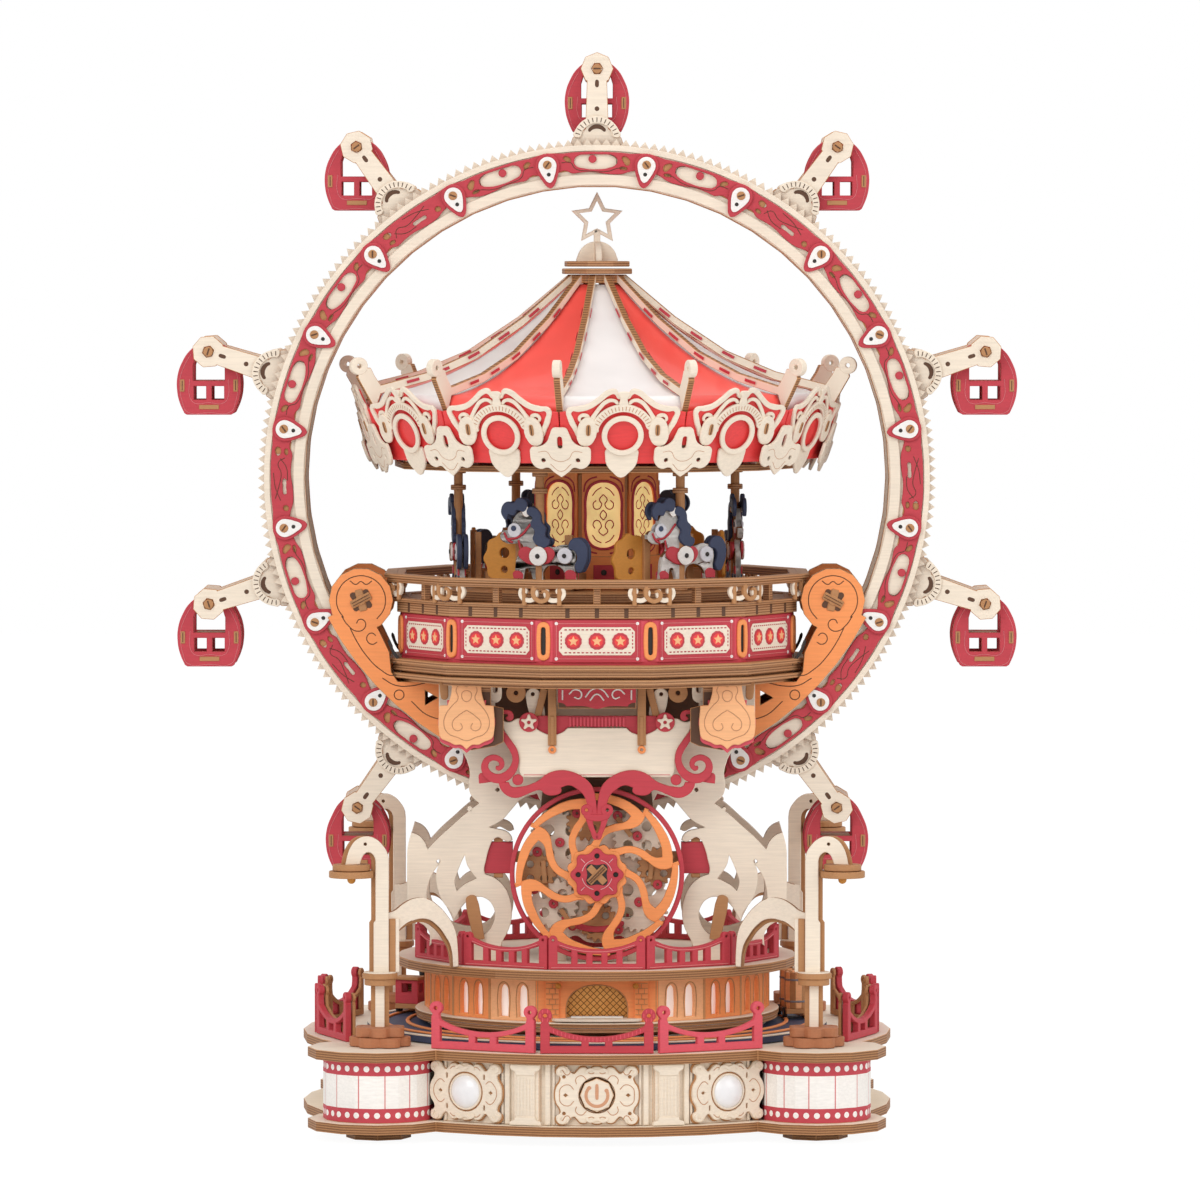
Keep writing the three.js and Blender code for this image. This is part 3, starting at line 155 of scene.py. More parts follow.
def woodStock(name, face, facing, alongAxis=0, light=edgeLight, dark=edgeDark, printOn=None, roughness=0.62):
    # facing: y or z for a sheet that faces that way, wall for a bent or folded upright wall, all for no cut edge
    material, tree, shader = startMaterial(name, roughness)
    place, streak, wide, pore = grainOf(tree, alongAxis)
    colour = face
    if printOn:
        colour = printOn(tree, place, face)
    colour = shadeWith(tree, colour, streak, woodLook["grainDepth"] * 0.5)
    colour = shadeWith(tree, colour, wide, woodLook["blotchDepth"] * 0.5)
    layerAxis = {"y": 1, "z": 2, "wall": 2, "all": 2}[facing]
    if facing != "all":
        normal = axes(tree, put(tree, "TexCoord").outputs["Normal"])
        tilt = calc(tree, "ABSOLUTE", normal[1] if facing == "y" else normal[2])
        isFace = calc(tree, "LESS_THAN" if facing == "wall" else "GREATER_THAN", tilt,
            0.75 if facing == "wall" else woodLook["faceTurn"])
        brown = edgeColour(tree, place, pore, light, dark, layerAxis)
        colour = mixColour(tree, isFace, brown, colour)
    tree.links.new(colour, shader.inputs["Base Color"])
    bump = put(tree, "Bump", {"Strength": woodLook["bump"], "Distance": 0.00006, "Height": streak})
    tree.links.new(bump.outputs[0], shader.inputs["Normal"])
    rough = put(tree, "MapRange", {"Value": pore, 3: roughness - 0.08, 4: roughness + 0.1}).outputs[0]
    tree.links.new(rough, shader.inputs["Roughness"])
    return material


cream, white, peach = paint(240, 225, 205), paint(243, 240, 236), paint(247, 184, 132)
crimson, rose, coral = paint(192, 58, 70), paint(218, 82, 96), paint(255, 92, 82)
orange, brown, darkBrown = paint(246, 152, 88), paint(182, 130, 84), paint(88, 56, 34)
navy, gold, slate = paint(54, 64, 92), paint(206, 140, 56), paint(66, 76, 96)

burntEdge = woodStock("burntEdge", edgeLight, "all", 0)
creamPly = woodStock("creamPly", cream, "y")
creamPlate = woodStock("creamPlate", cream, "z")
creamWall = woodStock("creamWall", cream, "wall")
brownPlate = woodStock("brownPlate", brown, "z", light=paint(212, 160, 116), dark=paint(128, 84, 48))
brownPly = woodStock("brownPly", brown, "y", light=paint(212, 160, 116), dark=paint(128, 84, 48))
crimsonPly = woodStock("crimsonPly", crimson, "y")
crimsonWall = woodStock("crimsonWall", crimson, "wall")
roseWall = woodStock("roseWall", rose, "wall")
orangePly = woodStock("orangePly", orange, "y")
orangeWall = woodStock("orangeWall", paint(240, 148, 84), "wall")
peachPly = woodStock("peachPly", peach, "y")
whitePly = woodStock("whitePly", white, "y")
slatePlate = woodStock("slatePlate", slate, "z")
darkInside = woodStock("darkInside", paint(120, 96, 74), "all")
creamAll = woodStock("creamAll", cream, "all")
crimsonAll = woodStock("crimsonAll", crimson, "all")
orangeAll = woodStock("orangeAll", orange, "all")
peachAll = woodStock("peachAll", peach, "all")
whiteAll = woodStock("whiteAll", white, "all")
coralAll = woodStock("coralAll", paint(232, 62, 62), "all", roughness=0.45)
roseAll = woodStock("roseAll", rose, "all")
navyAll = woodStock("navyAll", navy, "all")
goldAll = woodStock("goldAll", gold, "all")
brownAll = woodStock("brownAll", brown, "all")
scorch = woodStock("scorch", darkBrown, "all")
inkBlack = woodStock("inkBlack", paint(38, 30, 26), "all")
inkGrey = woodStock("inkGrey", paint(128, 128, 136), "all")
faintLine = woodStock("faintLine", paint(206, 150, 110), "all")
roseLine = woodStock("roseLine", paint(232, 140, 140), "all")
paleRose = woodStock("paleRose", paint(240, 190, 190), "all")
seamPaint = woodStock("crimsonSeam", paint(226, 120, 126), "all")
greySheet = woodStock("whiteGreyPatch", paint(220, 220, 226), "all")
powerPrint = woodStock("peachPrint", paint(212, 154, 118), "all")
petalBrown = woodStock("brownPetal", paint(178, 114, 76), "all")
print("wood finishes made")

filmLook = {
    "drumX": 0.067, "drumY": -0.056, "radius": 0.017, "frame": 0.0083, "line": 0.478, "bandLow": 0.0105,
    "bandHigh": 0.0205, "dotStep": 0.0033, "dotLow": 0.0084, "dotHigh": 0.0226, "dotSize": 0.00092,
}


def stepOf(tree, run, size, start):  # -0.5 to 0.5 across each step
    part = calc(tree, "FRACT", calc(tree, "ADD", calc(tree, "DIVIDE", run, size), start))
    return calc(tree, "SUBTRACT", part, 0.5)


def filmPrint(tree, place, face):  # frames between two dotted bands, round a drum
    parts = axes(tree, place)
    aside = calc(tree, "SUBTRACT", calc(tree, "ABSOLUTE", parts[0]), filmLook["drumX"])
    back = calc(tree, "SUBTRACT", parts[1], filmLook["drumY"])
    turn = calc(tree, "ARCTAN2", aside, calc(tree, "MULTIPLY", back, -1.0))
    run = calc(tree, "MULTIPLY", turn, filmLook["radius"])
    frameStep = calc(tree, "ABSOLUTE", stepOf(tree, run, filmLook["frame"], 20.3))
    line = calc(tree, "GREATER_THAN", frameStep, filmLook["line"])
    below = calc(tree, "LESS_THAN", parts[2], filmLook["bandLow"])
    above = calc(tree, "GREATER_THAN", parts[2], filmLook["bandHigh"])
    dotRun = calc(tree, "MULTIPLY", stepOf(tree, run, filmLook["dotStep"], 50.5), filmLook["dotStep"])
    gaps = [calc(tree, "ABSOLUTE", calc(tree, "SUBTRACT", parts[2], filmLook[row]))
        for row in ("dotLow", "dotHigh")]
    dotRise = calc(tree, "MINIMUM", gaps[0], gaps[1])
    reach = calc(tree, "SQRT", calc(tree, "ADD", calc(tree, "POWER", dotRun, 2.0),
        calc(tree, "POWER", dotRise, 2.0)))
    spot = calc(tree, "LESS_THAN", reach, filmLook["dotSize"])
    colour = mixColour(tree, line, face, paint(214, 120, 120))
    colour = mixColour(tree, either(tree, below, above), colour, paint(196, 66, 78))
    return mixColour(tree, spot, colour, paint(250, 246, 242))


filmWall = woodStock("filmWall", paint(250, 246, 240), "wall", printOn=filmPrint)


def tentStripes(tree, place):  # twelve gores, white and coral in turn
    parts = axes(tree, place)
    turn = calc(tree, "ARCTAN2", parts[0], calc(tree, "MULTIPLY", parts[1], -1.0))
    step = calc(tree, "FRACT", calc(tree, "ADD", calc(tree, "DIVIDE", calc(tree, "SUBTRACT", turn, radians(6.2)),
        pi / 3), 10.25))
    red = calc(tree, "GREATER_THAN", step, 0.5)
    return mixColour(tree, red, paint(246, 242, 240), coral)


tentSheet, tentTree, tentShader = startMaterial("tentSheet", 0.42)
tentPlace = put(tentTree, "TexCoord").outputs["Object"]
tentNoise = put(tentTree, "TexNoise", {"Vector": tentPlace, "Scale": 60, "Detail": 2}).outputs[0]
tentFine = put(tentTree, "TexNoise", {"Vector": tentPlace, "Scale": 1800, "Detail": 2}).outputs[0]
tentColour = shadeWith(tentTree, tentStripes(tentTree, tentPlace), tentNoise, 0.05)
tentTree.links.new(tentColour, tentShader.inputs["Base Color"])
tentTree.links.new(put(tentTree, "Bump", {"Strength": 0.08, "Distance": 0.0001, "Height": tentFine}).outputs[0],
    tentShader.inputs["Normal"])
tentShader.inputs["Coat Weight"].default_value = 0.12

litSheet, litTree, litShader = startMaterial("litSheet", 0.5)
litPlace = put(litTree, "TexCoord").outputs["Object"]
litNoise = put(litTree, "TexNoise", {"Vector": litPlace, "Scale": 260, "Detail": 4}).outputs[0]
litColour = shadeWith(litTree, paint(255, 222, 150), litNoise, 0.18)
litTree.links.new(litColour, litShader.inputs["Base Color"])
litTree.links.new(litColour, litShader.inputs["Emission Color"])
litShader.inputs["Emission Strength"].default_value = 0.4

lensGlass, lensTree, lensShader = startMaterial("lensGlass", 0.22)
lensNoise = put(lensTree, "TexNoise", {"Vector": put(lensTree, "TexCoord").outputs["Object"], "Scale": 500,
    "Detail": 3}).outputs[0]
lensTree.links.new(shadeWith(lensTree, paint(244, 243, 244), lensNoise, 0.03), lensShader.inputs["Base Color"])
lensShader.inputs["Coat Weight"].default_value = 0.5

meshBrass, meshTree, meshShader = startMaterial("meshBrass", 0.4, Metallic=0.55)
meshPlace = put(meshTree, "TexCoord").outputs["Object"]
meshTurned = put(meshTree, "Mapping", {"Vector": meshPlace, "Rotation": (0, radians(45), 0),
    "Scale": (700, 700, 700)}).outputs[0]
meshFlat = put(meshTree, "Mapping", {"Vector": meshTurned, "Rotation": (radians(90), 0, 0)}).outputs[0]
meshCheck = put(meshTree, "TexBrick", {
    "Vector": meshFlat, "Color1": paint(222, 160, 84), "Color2": paint(210, 146, 72), "Mortar": paint(116, 72, 30),
    "Scale": 1.0, "Mortar Size": 0.09, "Brick Width": 1.0, "Row Height": 1.0}, offset=0.0)
meshTree.links.new(meshCheck.outputs[0], meshShader.inputs["Base Color"])
print("printed and special finishes made")

# how pieces are made and placed


def addPiece(name, mesh, body, materials):
    if not mesh.materials:
        for material in materials:
            mesh.materials.append(material)
    mesh.name = name
    piece = bpy.data.objects.new(name, mesh)
    bpy.context.scene.collection.objects.link(piece)
    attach(piece, body)
    return piece


def moved(x=0, y=0, z=0):  # all lengths here are in mm
    return Matrix.Translation((x * mm, y * mm, z * mm))


def turned(angle, axis="Z"):
    return Matrix.Rotation(radians(angle), 4, axis)


asIs, mirrorX, mirrorY = Matrix.Identity(4), Matrix.Scale(-1, 4, (1, 0, 0)), Matrix.Scale(-1, 4, (0, 1, 0))


def standing(front, x=0, z=0, spin=0):  # a sheet that faces the viewer, its front face at y = front
    return moved(x, front, z) @ turned(90, "X") @ turned(spin)


def facing(turn, out, z=0, x=0, lean=0, spin=0):  # a sheet that faces outwards round the upright axis
    return turned(turn) @ moved(x, -out, z) @ turned(90 + lean, "X") @ turned(spin)


def lying(top, x=0, y=0, spin=0):  # a sheet that lies flat, its upper face at z = top
    return moved(x, y, top) @ turned(spin)


def pair(front, x=0, z=0, spin=0):  # right and left, mirrored
    return [side @ standing(front, x, z, spin) for side in (asIs, mirrorX)]


def around(turns, out, z=0, x=0, **more):
    return [facing(turn, out, z, x, **more) for turn in turns]


def lifted(places, lift):
    return [place @ moved(0, 0, lift) for place in places]


def handed(points):  # True where the points run anticlockwise
    return sum(a[0] * b[1] - b[0] * a[1] for a, b in zip(points, points[1:] + points[:1])) > 0


def finished(mesh, *finishes):
    mesh.materials.clear()
    for finish in finishes:
        mesh.materials.append(finish)
    return mesh


def splineOn(curve, points, closed, soft):
    spline = curve.splines.new("BEZIER")
    spline.bezier_points.add(len(points) - 1)
    spline.use_cyclic_u = closed
    for knot, point in zip(spline.bezier_points, points):
        knot.co = (point[0] * mm, point[1] * mm, 0)
        corner = not soft or len(point) > 2
        knot.handle_left_type = knot.handle_right_type = "VECTOR" if corner else "AUTO"
    return spline


def meshFrom(curve):
    holder = bpy.data.objects.new("holder", curve)
    bpy.context.scene.collection.objects.link(holder)
    mesh = bpy.data.meshes.new_from_object(holder.evaluated_get(bpy.context.evaluated_depsgraph_get()))
    bpy.data.objects.remove(holder)
    bpy.data.curves.remove(curve)
    return mesh


def sheetMesh(outline, thickness, face, holes=(), edge=burntEdge, soft=True, steps=4, chamfer=0.2):
    # a cut sheet in XY, its face at z = 0 and its thickness below; its rim takes the edge finish
    finishes = [face, edge] if edge else [face]
    curve = bpy.data.curves.new("outline", "CURVE")
    curve.dimensions, curve.fill_mode = "2D", "BOTH"
    curve.resolution_u = steps if soft else 1
    chamfer = min(chamfer, thickness / 3)
    curve.bevel_depth, curve.bevel_resolution = chamfer * mm, 0
    curve.extrude = (thickness / 2 - chamfer) * mm
    curve.offset = -chamfer * mm
    for loop, outward in [(outline, True)] + [(hole, False) for hole in holes]:
        run = list(loop) if handed(loop) != outward else list(reversed(loop))
        splineOn(curve, run, True, soft)
    mesh = meshFrom(curve)
    mesh.transform(moved(0, 0, -thickness / 2))
    shape = bmesh.new()
    shape.from_mesh(mesh)
    bmesh.ops.remove_doubles(shape, verts=shape.verts, dist=0.00002 * mm)
    bmesh.ops.recalc_face_normals(shape, faces=shape.faces)
    for side in shape.faces:
        side.smooth = False
        side.material_index = 0 if abs(side.normal.z) > 0.95 or not edge else 1
    shape.to_mesh(mesh)
    shape.free()
    return finished(mesh, *finishes)


def lineMesh(lines, width, material, lift=0.03, soft=True, steps=5):  # burnt lines drawn on a face
    curve = bpy.data.curves.new("lines", "CURVE")
    curve.dimensions = "3D"
    curve.resolution_u = steps
    curve.bevel_depth, curve.bevel_resolution = width / 2 * mm, 0
    curve.use_fill_caps = True
    for line in lines:
        closed = line[0] == line[-1] and len(line) > 2
        splineOn(curve, line[:-1] if closed else line, closed, soft)
    mesh = meshFrom(curve)
    mesh.transform(moved(0, 0, lift) @ Matrix.Scale(0.12, 4, (0, 0, 1)))  # pressed flat
    return finished(mesh, material)


def pinMesh(radius, length, material, sides=20, top=None, chamfer=0.15):  # a turned pin below z = 0
    shape = bmesh.new()
    bmesh.ops.create_cone(shape, cap_ends=True, segments=sides, radius1=radius * mm, radius2=(top or radius) * mm,
        depth=length * mm)
    bmesh.ops.translate(shape, verts=shape.verts, vec=(0, 0, -length / 2 * mm))
    rims = [e for e in shape.edges if all(len(f.verts) == sides for f in e.link_faces
        if abs(f.normal.z) > 0.9) and any(abs(f.normal.z) > 0.9 for f in e.link_faces)]
    if chamfer:
        bmesh.ops.bevel(shape, geom=rims, offset=min(chamfer, length / 4) * mm, affect="EDGES", segments=1,
            profile=0.5, material=-1)
    for face in shape.faces:
        face.smooth = False
    mesh = bpy.data.meshes.new("pin")
    shape.to_mesh(mesh)
    shape.free()
    return finished(mesh, material)


def ballMesh(radius, material, rings=8):
    shape = bmesh.new()
    bmesh.ops.create_uvsphere(shape, u_segments=rings * 2, v_segments=rings, radius=radius * mm)
    mesh = bpy.data.meshes.new("ball")
    for face in shape.faces:
        face.smooth = True
    shape.to_mesh(mesh)
    shape.free()
    return finished(mesh, material)


def blockMesh(width, height, depth, material, chamfer=0.2):  # a block below z = 0, centred in XY
    shape = bmesh.new()
    bmesh.ops.create_cube(shape, size=1)
    bmesh.ops.transform(shape, verts=shape.verts, matrix=moved(0, 0, -depth / 2)
        @ Matrix.Diagonal((width * mm, height * mm, depth * mm, 1)))
    bmesh.ops.bevel(shape, geom=shape.edges[:], offset=chamfer * mm, affect="EDGES", segments=1, profile=0.5,
        material=-1)
    mesh = bpy.data.meshes.new("block")
    shape.to_mesh(mesh)
    shape.free()
    return finished(mesh, material)


def gather(name, groups, body):  # one piece from several meshes, each at one or more places
    materials = []
    shape = bmesh.new()
    for mesh, places in groups:
        lookup = []
        for material in mesh.materials:
            if material not in materials:
                materials.append(material)
            lookup.append(materials.index(material))
        for place in places:
            firstVert, firstFace = len(shape.verts), len(shape.faces)
            shape.from_mesh(mesh)
            shape.verts.ensure_lookup_table()
            shape.faces.ensure_lookup_table()
            bmesh.ops.transform(shape, matrix=place, verts=shape.verts[firstVert:])
            fresh = shape.faces[firstFace:]
            for face in fresh:
                face.material_index = lookup[face.material_index] if face.material_index < len(lookup) else 0
            if place.to_3x3().determinant() < 0:
                bmesh.ops.reverse_faces(shape, faces=fresh)
    out = bpy.data.meshes.new(name)
    shape.to_mesh(out)
    shape.free()
    for material in materials:
        out.materials.append(material)
    return addPiece(name, out, body, materials)


def roundLoop(radius, x=0, y=0, count=24, rise=None):
    rise = rise or radius
    return [(x + radius * cos(2 * pi * k / count), y + rise * sin(2 * pi * k / count)) for k in range(count)]


def washerMesh(outer, inner, thickness, face, count=48, innerCount=None, **more):  # a flat round ring
    hole = roundLoop(inner, count=innerCount or count)
    return sheetMesh(roundLoop(outer, count=count), thickness, face, [hole], **more)


def arcLine(radius, turns, x=0, y=0):  # points on a circle at these turns in degrees
    return [(x + radius * cos(radians(a)), y + radius * sin(radians(a))) for a in turns]


def wavyLoop(low, high, count, start=0):  # a rim of count points, alternately at the two radii
    turns = [(high if n % 2 else low, radians(360 / count * n + start)) for n in range(count)]
    return [(reach * cos(turn), reach * sin(turn)) for reach, turn in turns]


def pillLoop(width, height, x=0, y=0):
    r, h = width / 2, height / 2 - width / 2
    arcs = [(r * cos(radians(a)), h + r * sin(radians(a))) for a in range(0, 181, 30)]
    return [(x + a, y + b) for a, b in arcs] + [(x - a, y - b) for a, b in arcs]


def boxLoop(width, height, x=0, y=0):
    a, b = width / 2, height / 2
    return [(x - a, y - b, 1), (x + a, y - b, 1), (x + a, y + b, 1), (x - a, y + b, 1)]


def starLoop(outer, inner, count, x=0, y=0, turn=90):
    points = []
    for k in range(2 * count):
        reach, angle = (outer, inner)[k % 2], radians(turn + 180 * k / count)
        points.append((x + reach * cos(angle), y + reach * sin(angle), 1))
    return points


def bothSides(points):  # an outline or a line from its right half, mirrored in x
    return [tuple(p) for p in points] + [(-p[0],) + tuple(p[1:]) for p in reversed(points) if abs(p[0]) > 0.001]


def bothLines(lines):
    return lines + [[(-p[0],) + tuple(p[1:]) for p in line] for line in lines]


def strokeLoop(points, widths):  # outline round a line that has its own width at each point
    left, right = [], []
    for k, (x, y) in enumerate(points):
        before, after = points[max(k - 1, 0)], points[min(k + 1, len(points) - 1)]
        dx, dy = after[0] - before[0], after[1] - before[1]
        length = hypot(dx, dy) or 1
        nx, ny = -dy / length * widths[k] / 2, dx / length * widths[k] / 2
        left.append((x + nx, y + ny))
        right.append((x - nx, y - ny))
    return left + right[::-1]


def onRing(points, centre=0):  # (degrees, radius) pairs as x, y
    return [(r * cos(radians(a + centre)), r * sin(radians(a + centre))) + tuple(rest) for a, r, *rest in points]


def dress(names, material, chamfer=0.16, edge=None):  # finish on a CAD node, with its browned rim
    for name in names.split():
        node = nodes[name]
        node.material_slots[0].material = material
        node.data.materials.append(edge or burntEdge)
        weld = node.modifiers.new("weld", "WELD")
        weld.merge_threshold = 0.01 * mm
        flat = node.modifiers.new("flat", "DECIMATE")
        flat.decimate_type, flat.angle_limit = "DISSOLVE", radians(1)
        if chamfer:
            rim = node.modifiers.new("rim", "BEVEL")
            rim.width, rim.segments, rim.limit_method = chamfer * mm, 1, "ANGLE"
            rim.angle_limit, rim.material = radians(42), 1


def radialStock(name, face):  # sheets that stand like spokes: faces look along the turn, the rest is cut edge
    material, tree, shader = startMaterial(name, 0.62)
    place, streak, wide, pore = grainOf(tree, 2)
    spot = axes(tree, place)
    normal = axes(tree, put(tree, "TexCoord").outputs["Normal"])
    across = calc(tree, "SUBTRACT", calc(tree, "MULTIPLY", normal[1], spot[0]),
        calc(tree, "MULTIPLY", normal[0], spot[1]))
    reach = calc(tree, "SQRT", calc(tree, "ADD", calc(tree, "MULTIPLY", spot[0], spot[0]),
        calc(tree, "MULTIPLY", spot[1], spot[1])))
    isFace = calc(tree, "GREATER_THAN", calc(tree, "ABSOLUTE",
        calc(tree, "DIVIDE", across, calc(tree, "MAXIMUM", reach, 0.001))), 0.8)
    colour = shadeWith(tree, mixColour(tree, isFace, edgeColour(tree, place, pore, edgeLight, edgeDark, 2), face),
        wide, 0.05)
    tree.links.new(colour, shader.inputs["Base Color"])
    tree.links.new(put(tree, "Bump", {"Strength": 0.25, "Distance": 0.00006, "Height": streak}).outputs[0],
        shader.inputs["Normal"])
    return material


ribPly = radialStock("creamRibs", cream)


def capPrint(tree, place, face):  # brown cap plates under the cream star
    low = calc(tree, "LESS_THAN", axes(tree, place)[2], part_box("star_finial")[1].z - 20.9 * mm)
    return mixColour(tree, low, face, brown)


starPly = woodStock("creamStar", cream, "y", printOn=capPrint)
# brown plate for the stage base, with painted shade on its front brackets
bracketPlate = woodStock("brownBracketsPaintedShade", brown, "z", light=paint(212, 160, 116), dark=paint(128, 84, 48))
bracketTree = bracketPlate.node_tree
bracketColour = bracketTree.nodes["Principled BSDF"].inputs["Base Color"]
bracketSpot = axes(bracketTree, put(bracketTree, "TexCoord").outputs["Object"])
bracketFront = calc(bracketTree, "LESS_THAN", bracketSpot[1], -39 * mm)
bracketLow = calc(bracketTree, "LESS_THAN", bracketSpot[2], 136 * mm)
paintedShadeMask = calc(bracketTree, "MULTIPLY", bracketFront, bracketLow)  # painted shade: only the brackets before the front, below 136 mm, turn dark brown as if in shadow
paintedShadeColour = mixColour(bracketTree, paintedShadeMask, bracketColour.links[0].from_socket, darkBrown)
bracketTree.links.new(paintedShadeColour, bracketColour)

dress("base_plate deck_plate gallery_plate", creamPlate)
dress("base_wall facade_front power_button", creamWall)
dress("film_drum_left film_drum_right", filmWall)
dress("music_box", darkInside)
dress("arcade_base turntable stage_top", brownPlate)
dress("stage_base", bracketPlate)
dress("arcade_wall center_column", orangeWall)
dress("gallery_fence deck_fence_left deck_fence_right stage_drum", crimsonWall)
dress("deck_fence_front deck_fence_rear", roseWall)
dress("track_ring", slatePlate)
dress("lamp_post_front_left lamp_post_front_right lamp_post_rear_left lamp_post_rear_right front_frame rear_frame",
    creamPly)
dress("ring_front arm_ring_front arm_ring_rear drive_gear", creamPly)
dress("ring_gear ring_hoop", creamPly, chamfer=0)
dress("cradle_front cradle_rear spiral_wheel", orangePly)
dress("sign_plaque", crimsonPly)
dress("canopy_frame", ribPly)
dress("canopy_cover", tentSheet, chamfer=0)
dress("canopy_valance", coralAll, edge=brownAll)
dress("star_finial", starPly)
dress("guide_roller_left guide_roller_right", brownPly)
dress("horse_1 horse_2 horse_3 horse_4 horse_5 horse_6", whiteAll)
dress(" ".join(f"gondola_{k}" for k in range(1, 11)), crimsonPly)
print("CAD nodes dressed")

# ring wheel: red scroll band, badges and arm details

ringTrim = {
    "centre": 201, "front": -18, "outer": 101.2, "inner": 94.4, "bandSheet": 1.0, "lipOuter": 94.2,
    "lipInner": 90.9, "badgeCount": 20, "badgeRadius": 98, "badgeHead": 3.75, "badgePoint": 6.9,
    "leafSections": (0, 3, 7, 10, 12, 18), "armCount": 10, "pivotRadius": 127, "footRadius": 104.9, "pin": 1.5,
    "armFront": -14.05,
}
ringHub = moved(0, 0, ringTrim["centre"])


def onWheel(front, angle, radius, spin=0):  # a sheet on the ring's front, its own x pointing outwards
    return ringHub @ moved(0, front, 0) @ turned(90, "X") @ Matrix.Rotation(radians(angle), 4, "Z") @ moved(radius,
        0, 0) @ turned(spin)


outer, inner = ringTrim["outer"], ringTrim["inner"]
scrollEdge = [(-1, outer - 0.2), (3, outer), (6, outer + 0.1), (9, outer), (12, outer), (15, outer - 0.1),
    (19, outer - 0.2),
    (19, 95.4), (16.5, 96.1), (15.2, 95.6), (13.6, 94.6), (11, inner), (8, inner + 0.6), (5.8, 94.9), (4.4, 94.8),
    (3, 95.9), (1.5, 95.2), (-1, 95.2)]
scrollHoles = [
    [(5.0, 97.4), (5.0, 99.2), (5.7, 100.2), (7.2, 100.4), (9.4, 100.4), (11.6, 100.2), (12.6, 99.2), (12.5, 97.6),
        (11.4, 96.4), (9.2, 95.8), (6.8, 96.1)],
    [(13.5, 99.9), (13.8, 98.4), (14.5, 97.3), (15.0, 98.2), (14.6, 99.6)],
    [(3.0, 100.0), (3.3, 98.9), (4.2, 98.4), (4.1, 99.7)], [(13.2, 96.4), (13.9, 95.9), (14.6, 96.3), (13.8, 96.9)],
]
leafHoles = [
    [(3.4, 99.8), (3.6, 98.6), (4.9, 99.0), (4.6, 99.9)], [(3.5, 96.8), (3.9, 96.2), (4.7, 96.5), (4.2, 97.3)],
    [(13.9, 97.0), (14.4, 96.1), (15.0, 96.6), (14.5, 97.8)],
    [(9.0, 97.0), (10.6, 96.5), (12.0, 96.9), (10.5, 97.5)],
]
scrollMesh = sheetMesh(onRing(scrollEdge), ringTrim["bandSheet"], crimsonPly, [onRing(h) for h in scrollHoles],
    steps=3)
leafMesh = sheetMesh(onRing(scrollEdge), ringTrim["bandSheet"], crimsonPly, [onRing(h) for h in leafHoles], steps=3)
scrollLines = lineMesh([onRing([(2.6, 98.4), (4.2, 98.2), (5.0, 96.2), (7.5, 95.3), (11, 95.2), (13, 96.4),
    (14.2, 96.5)]), onRing([(11.2, 100.5), (12.4, 99.4), (12.6, 97.6)])], 0.22, scorch)
leafLines = lineMesh([onRing([(5.2, 97.0), (6.2, 99.0), (8.0, 98.0), (10.2, 98.6), (12.6, 100.0)]),
    onRing([(5.4, 98.4), (7.0, 96.4), (9.4, 96.0)]), onRing([(8.0, 100.4), (10.6, 99.8), (13.0, 98.4)])], 0.22,
    scorch)


def sectionPlace(k, front, half=asIs):  # twenty sections, every second one mirrored
    spin = turned(18 * k - 9 + (18 if k % 2 else 0))
    return ringHub @ half @ moved(0, front, 0) @ turned(90, "X") @ spin @ (mirrorY if k % 2 else asIs)


bandFront = ringTrim["front"] - ringTrim["bandSheet"] - 0.05
sections = range(ringTrim["badgeCount"])
scrollPlaces = [sectionPlace(k, bandFront) for k in sections if k not in ringTrim["leafSections"]]
leafPlaces = [sectionPlace(k, bandFront) for k in sections if k in ringTrim["leafSections"]]
scrollDot = sheetMesh(onRing([(8.2 + 0.72 * cos(radians(a)), 99.0 + 1.25 * sin(radians(a)))
    for a in range(0, 360, 30)]), 0.8, crimsonPly, steps=2)
# painted shade: thin dark sheets in the burnt-edge finish behind the band, so its see-through gaps read dark as if
# in shadow
gapShade = sheetMesh(onRing([(2.2, 95.4), (2.2, 100.6), (4.6, 100.6), (4.6, 95.6)]), 0.1, burntEdge, edge=None,
    soft=False, chamfer=0.02)
farGapShade = sheetMesh(onRing([(13.0, 95.8), (13.0, 100.6), (15.8, 100.6), (15.8, 95.8)]), 0.1, burntEdge, edge=None,
    soft=False, chamfer=0.02)
gapPlaces = lifted(scrollPlaces + leafPlaces, -0.93)
gather("ringScrollBand", [(scrollMesh, scrollPlaces), (leafMesh, leafPlaces), (scrollDot, scrollPlaces),
    (gapShade, gapPlaces), (farGapShade, gapPlaces)], "ring_wheel")
gather("ringScrollLines", [(scrollLines, scrollPlaces), (leafLines, leafPlaces)], "ring_wheel")

lip = washerMesh(ringTrim["lipOuter"], ringTrim["lipInner"], 0.9, creamPly)
outerLip = washerMesh(103.3, 101.5, 0.5, creamPly, chamfer=0.12)
gather("ringInnerLip", [(lip, [ringHub @ standing(ringTrim["front"] - 0.95)]),
    (outerLip, [ringHub @ standing(ringTrim["front"] - 0.55)])], "ring_wheel")
backPlate = washerMesh(103, 90.6, 1.6, creamPly)
rearPlaces = [sectionPlace(k, -16.4, turned(180)) for k in sections]
gather("ringRearPlate", [(backPlate, [ringHub @ standing(14.1)]), (scrollMesh, rearPlaces),
    (scrollDot, rearPlaces)], "ring_wheel")


def tearLoop(head, point):  # x points outwards, the tip inwards
    return arcLine(head, range(-110, 111, 22)) + [(-point * 0.62, head * 0.62), (-point, 0.35), (-point, -0.35),
        (-point * 0.62, -head * 0.62)]


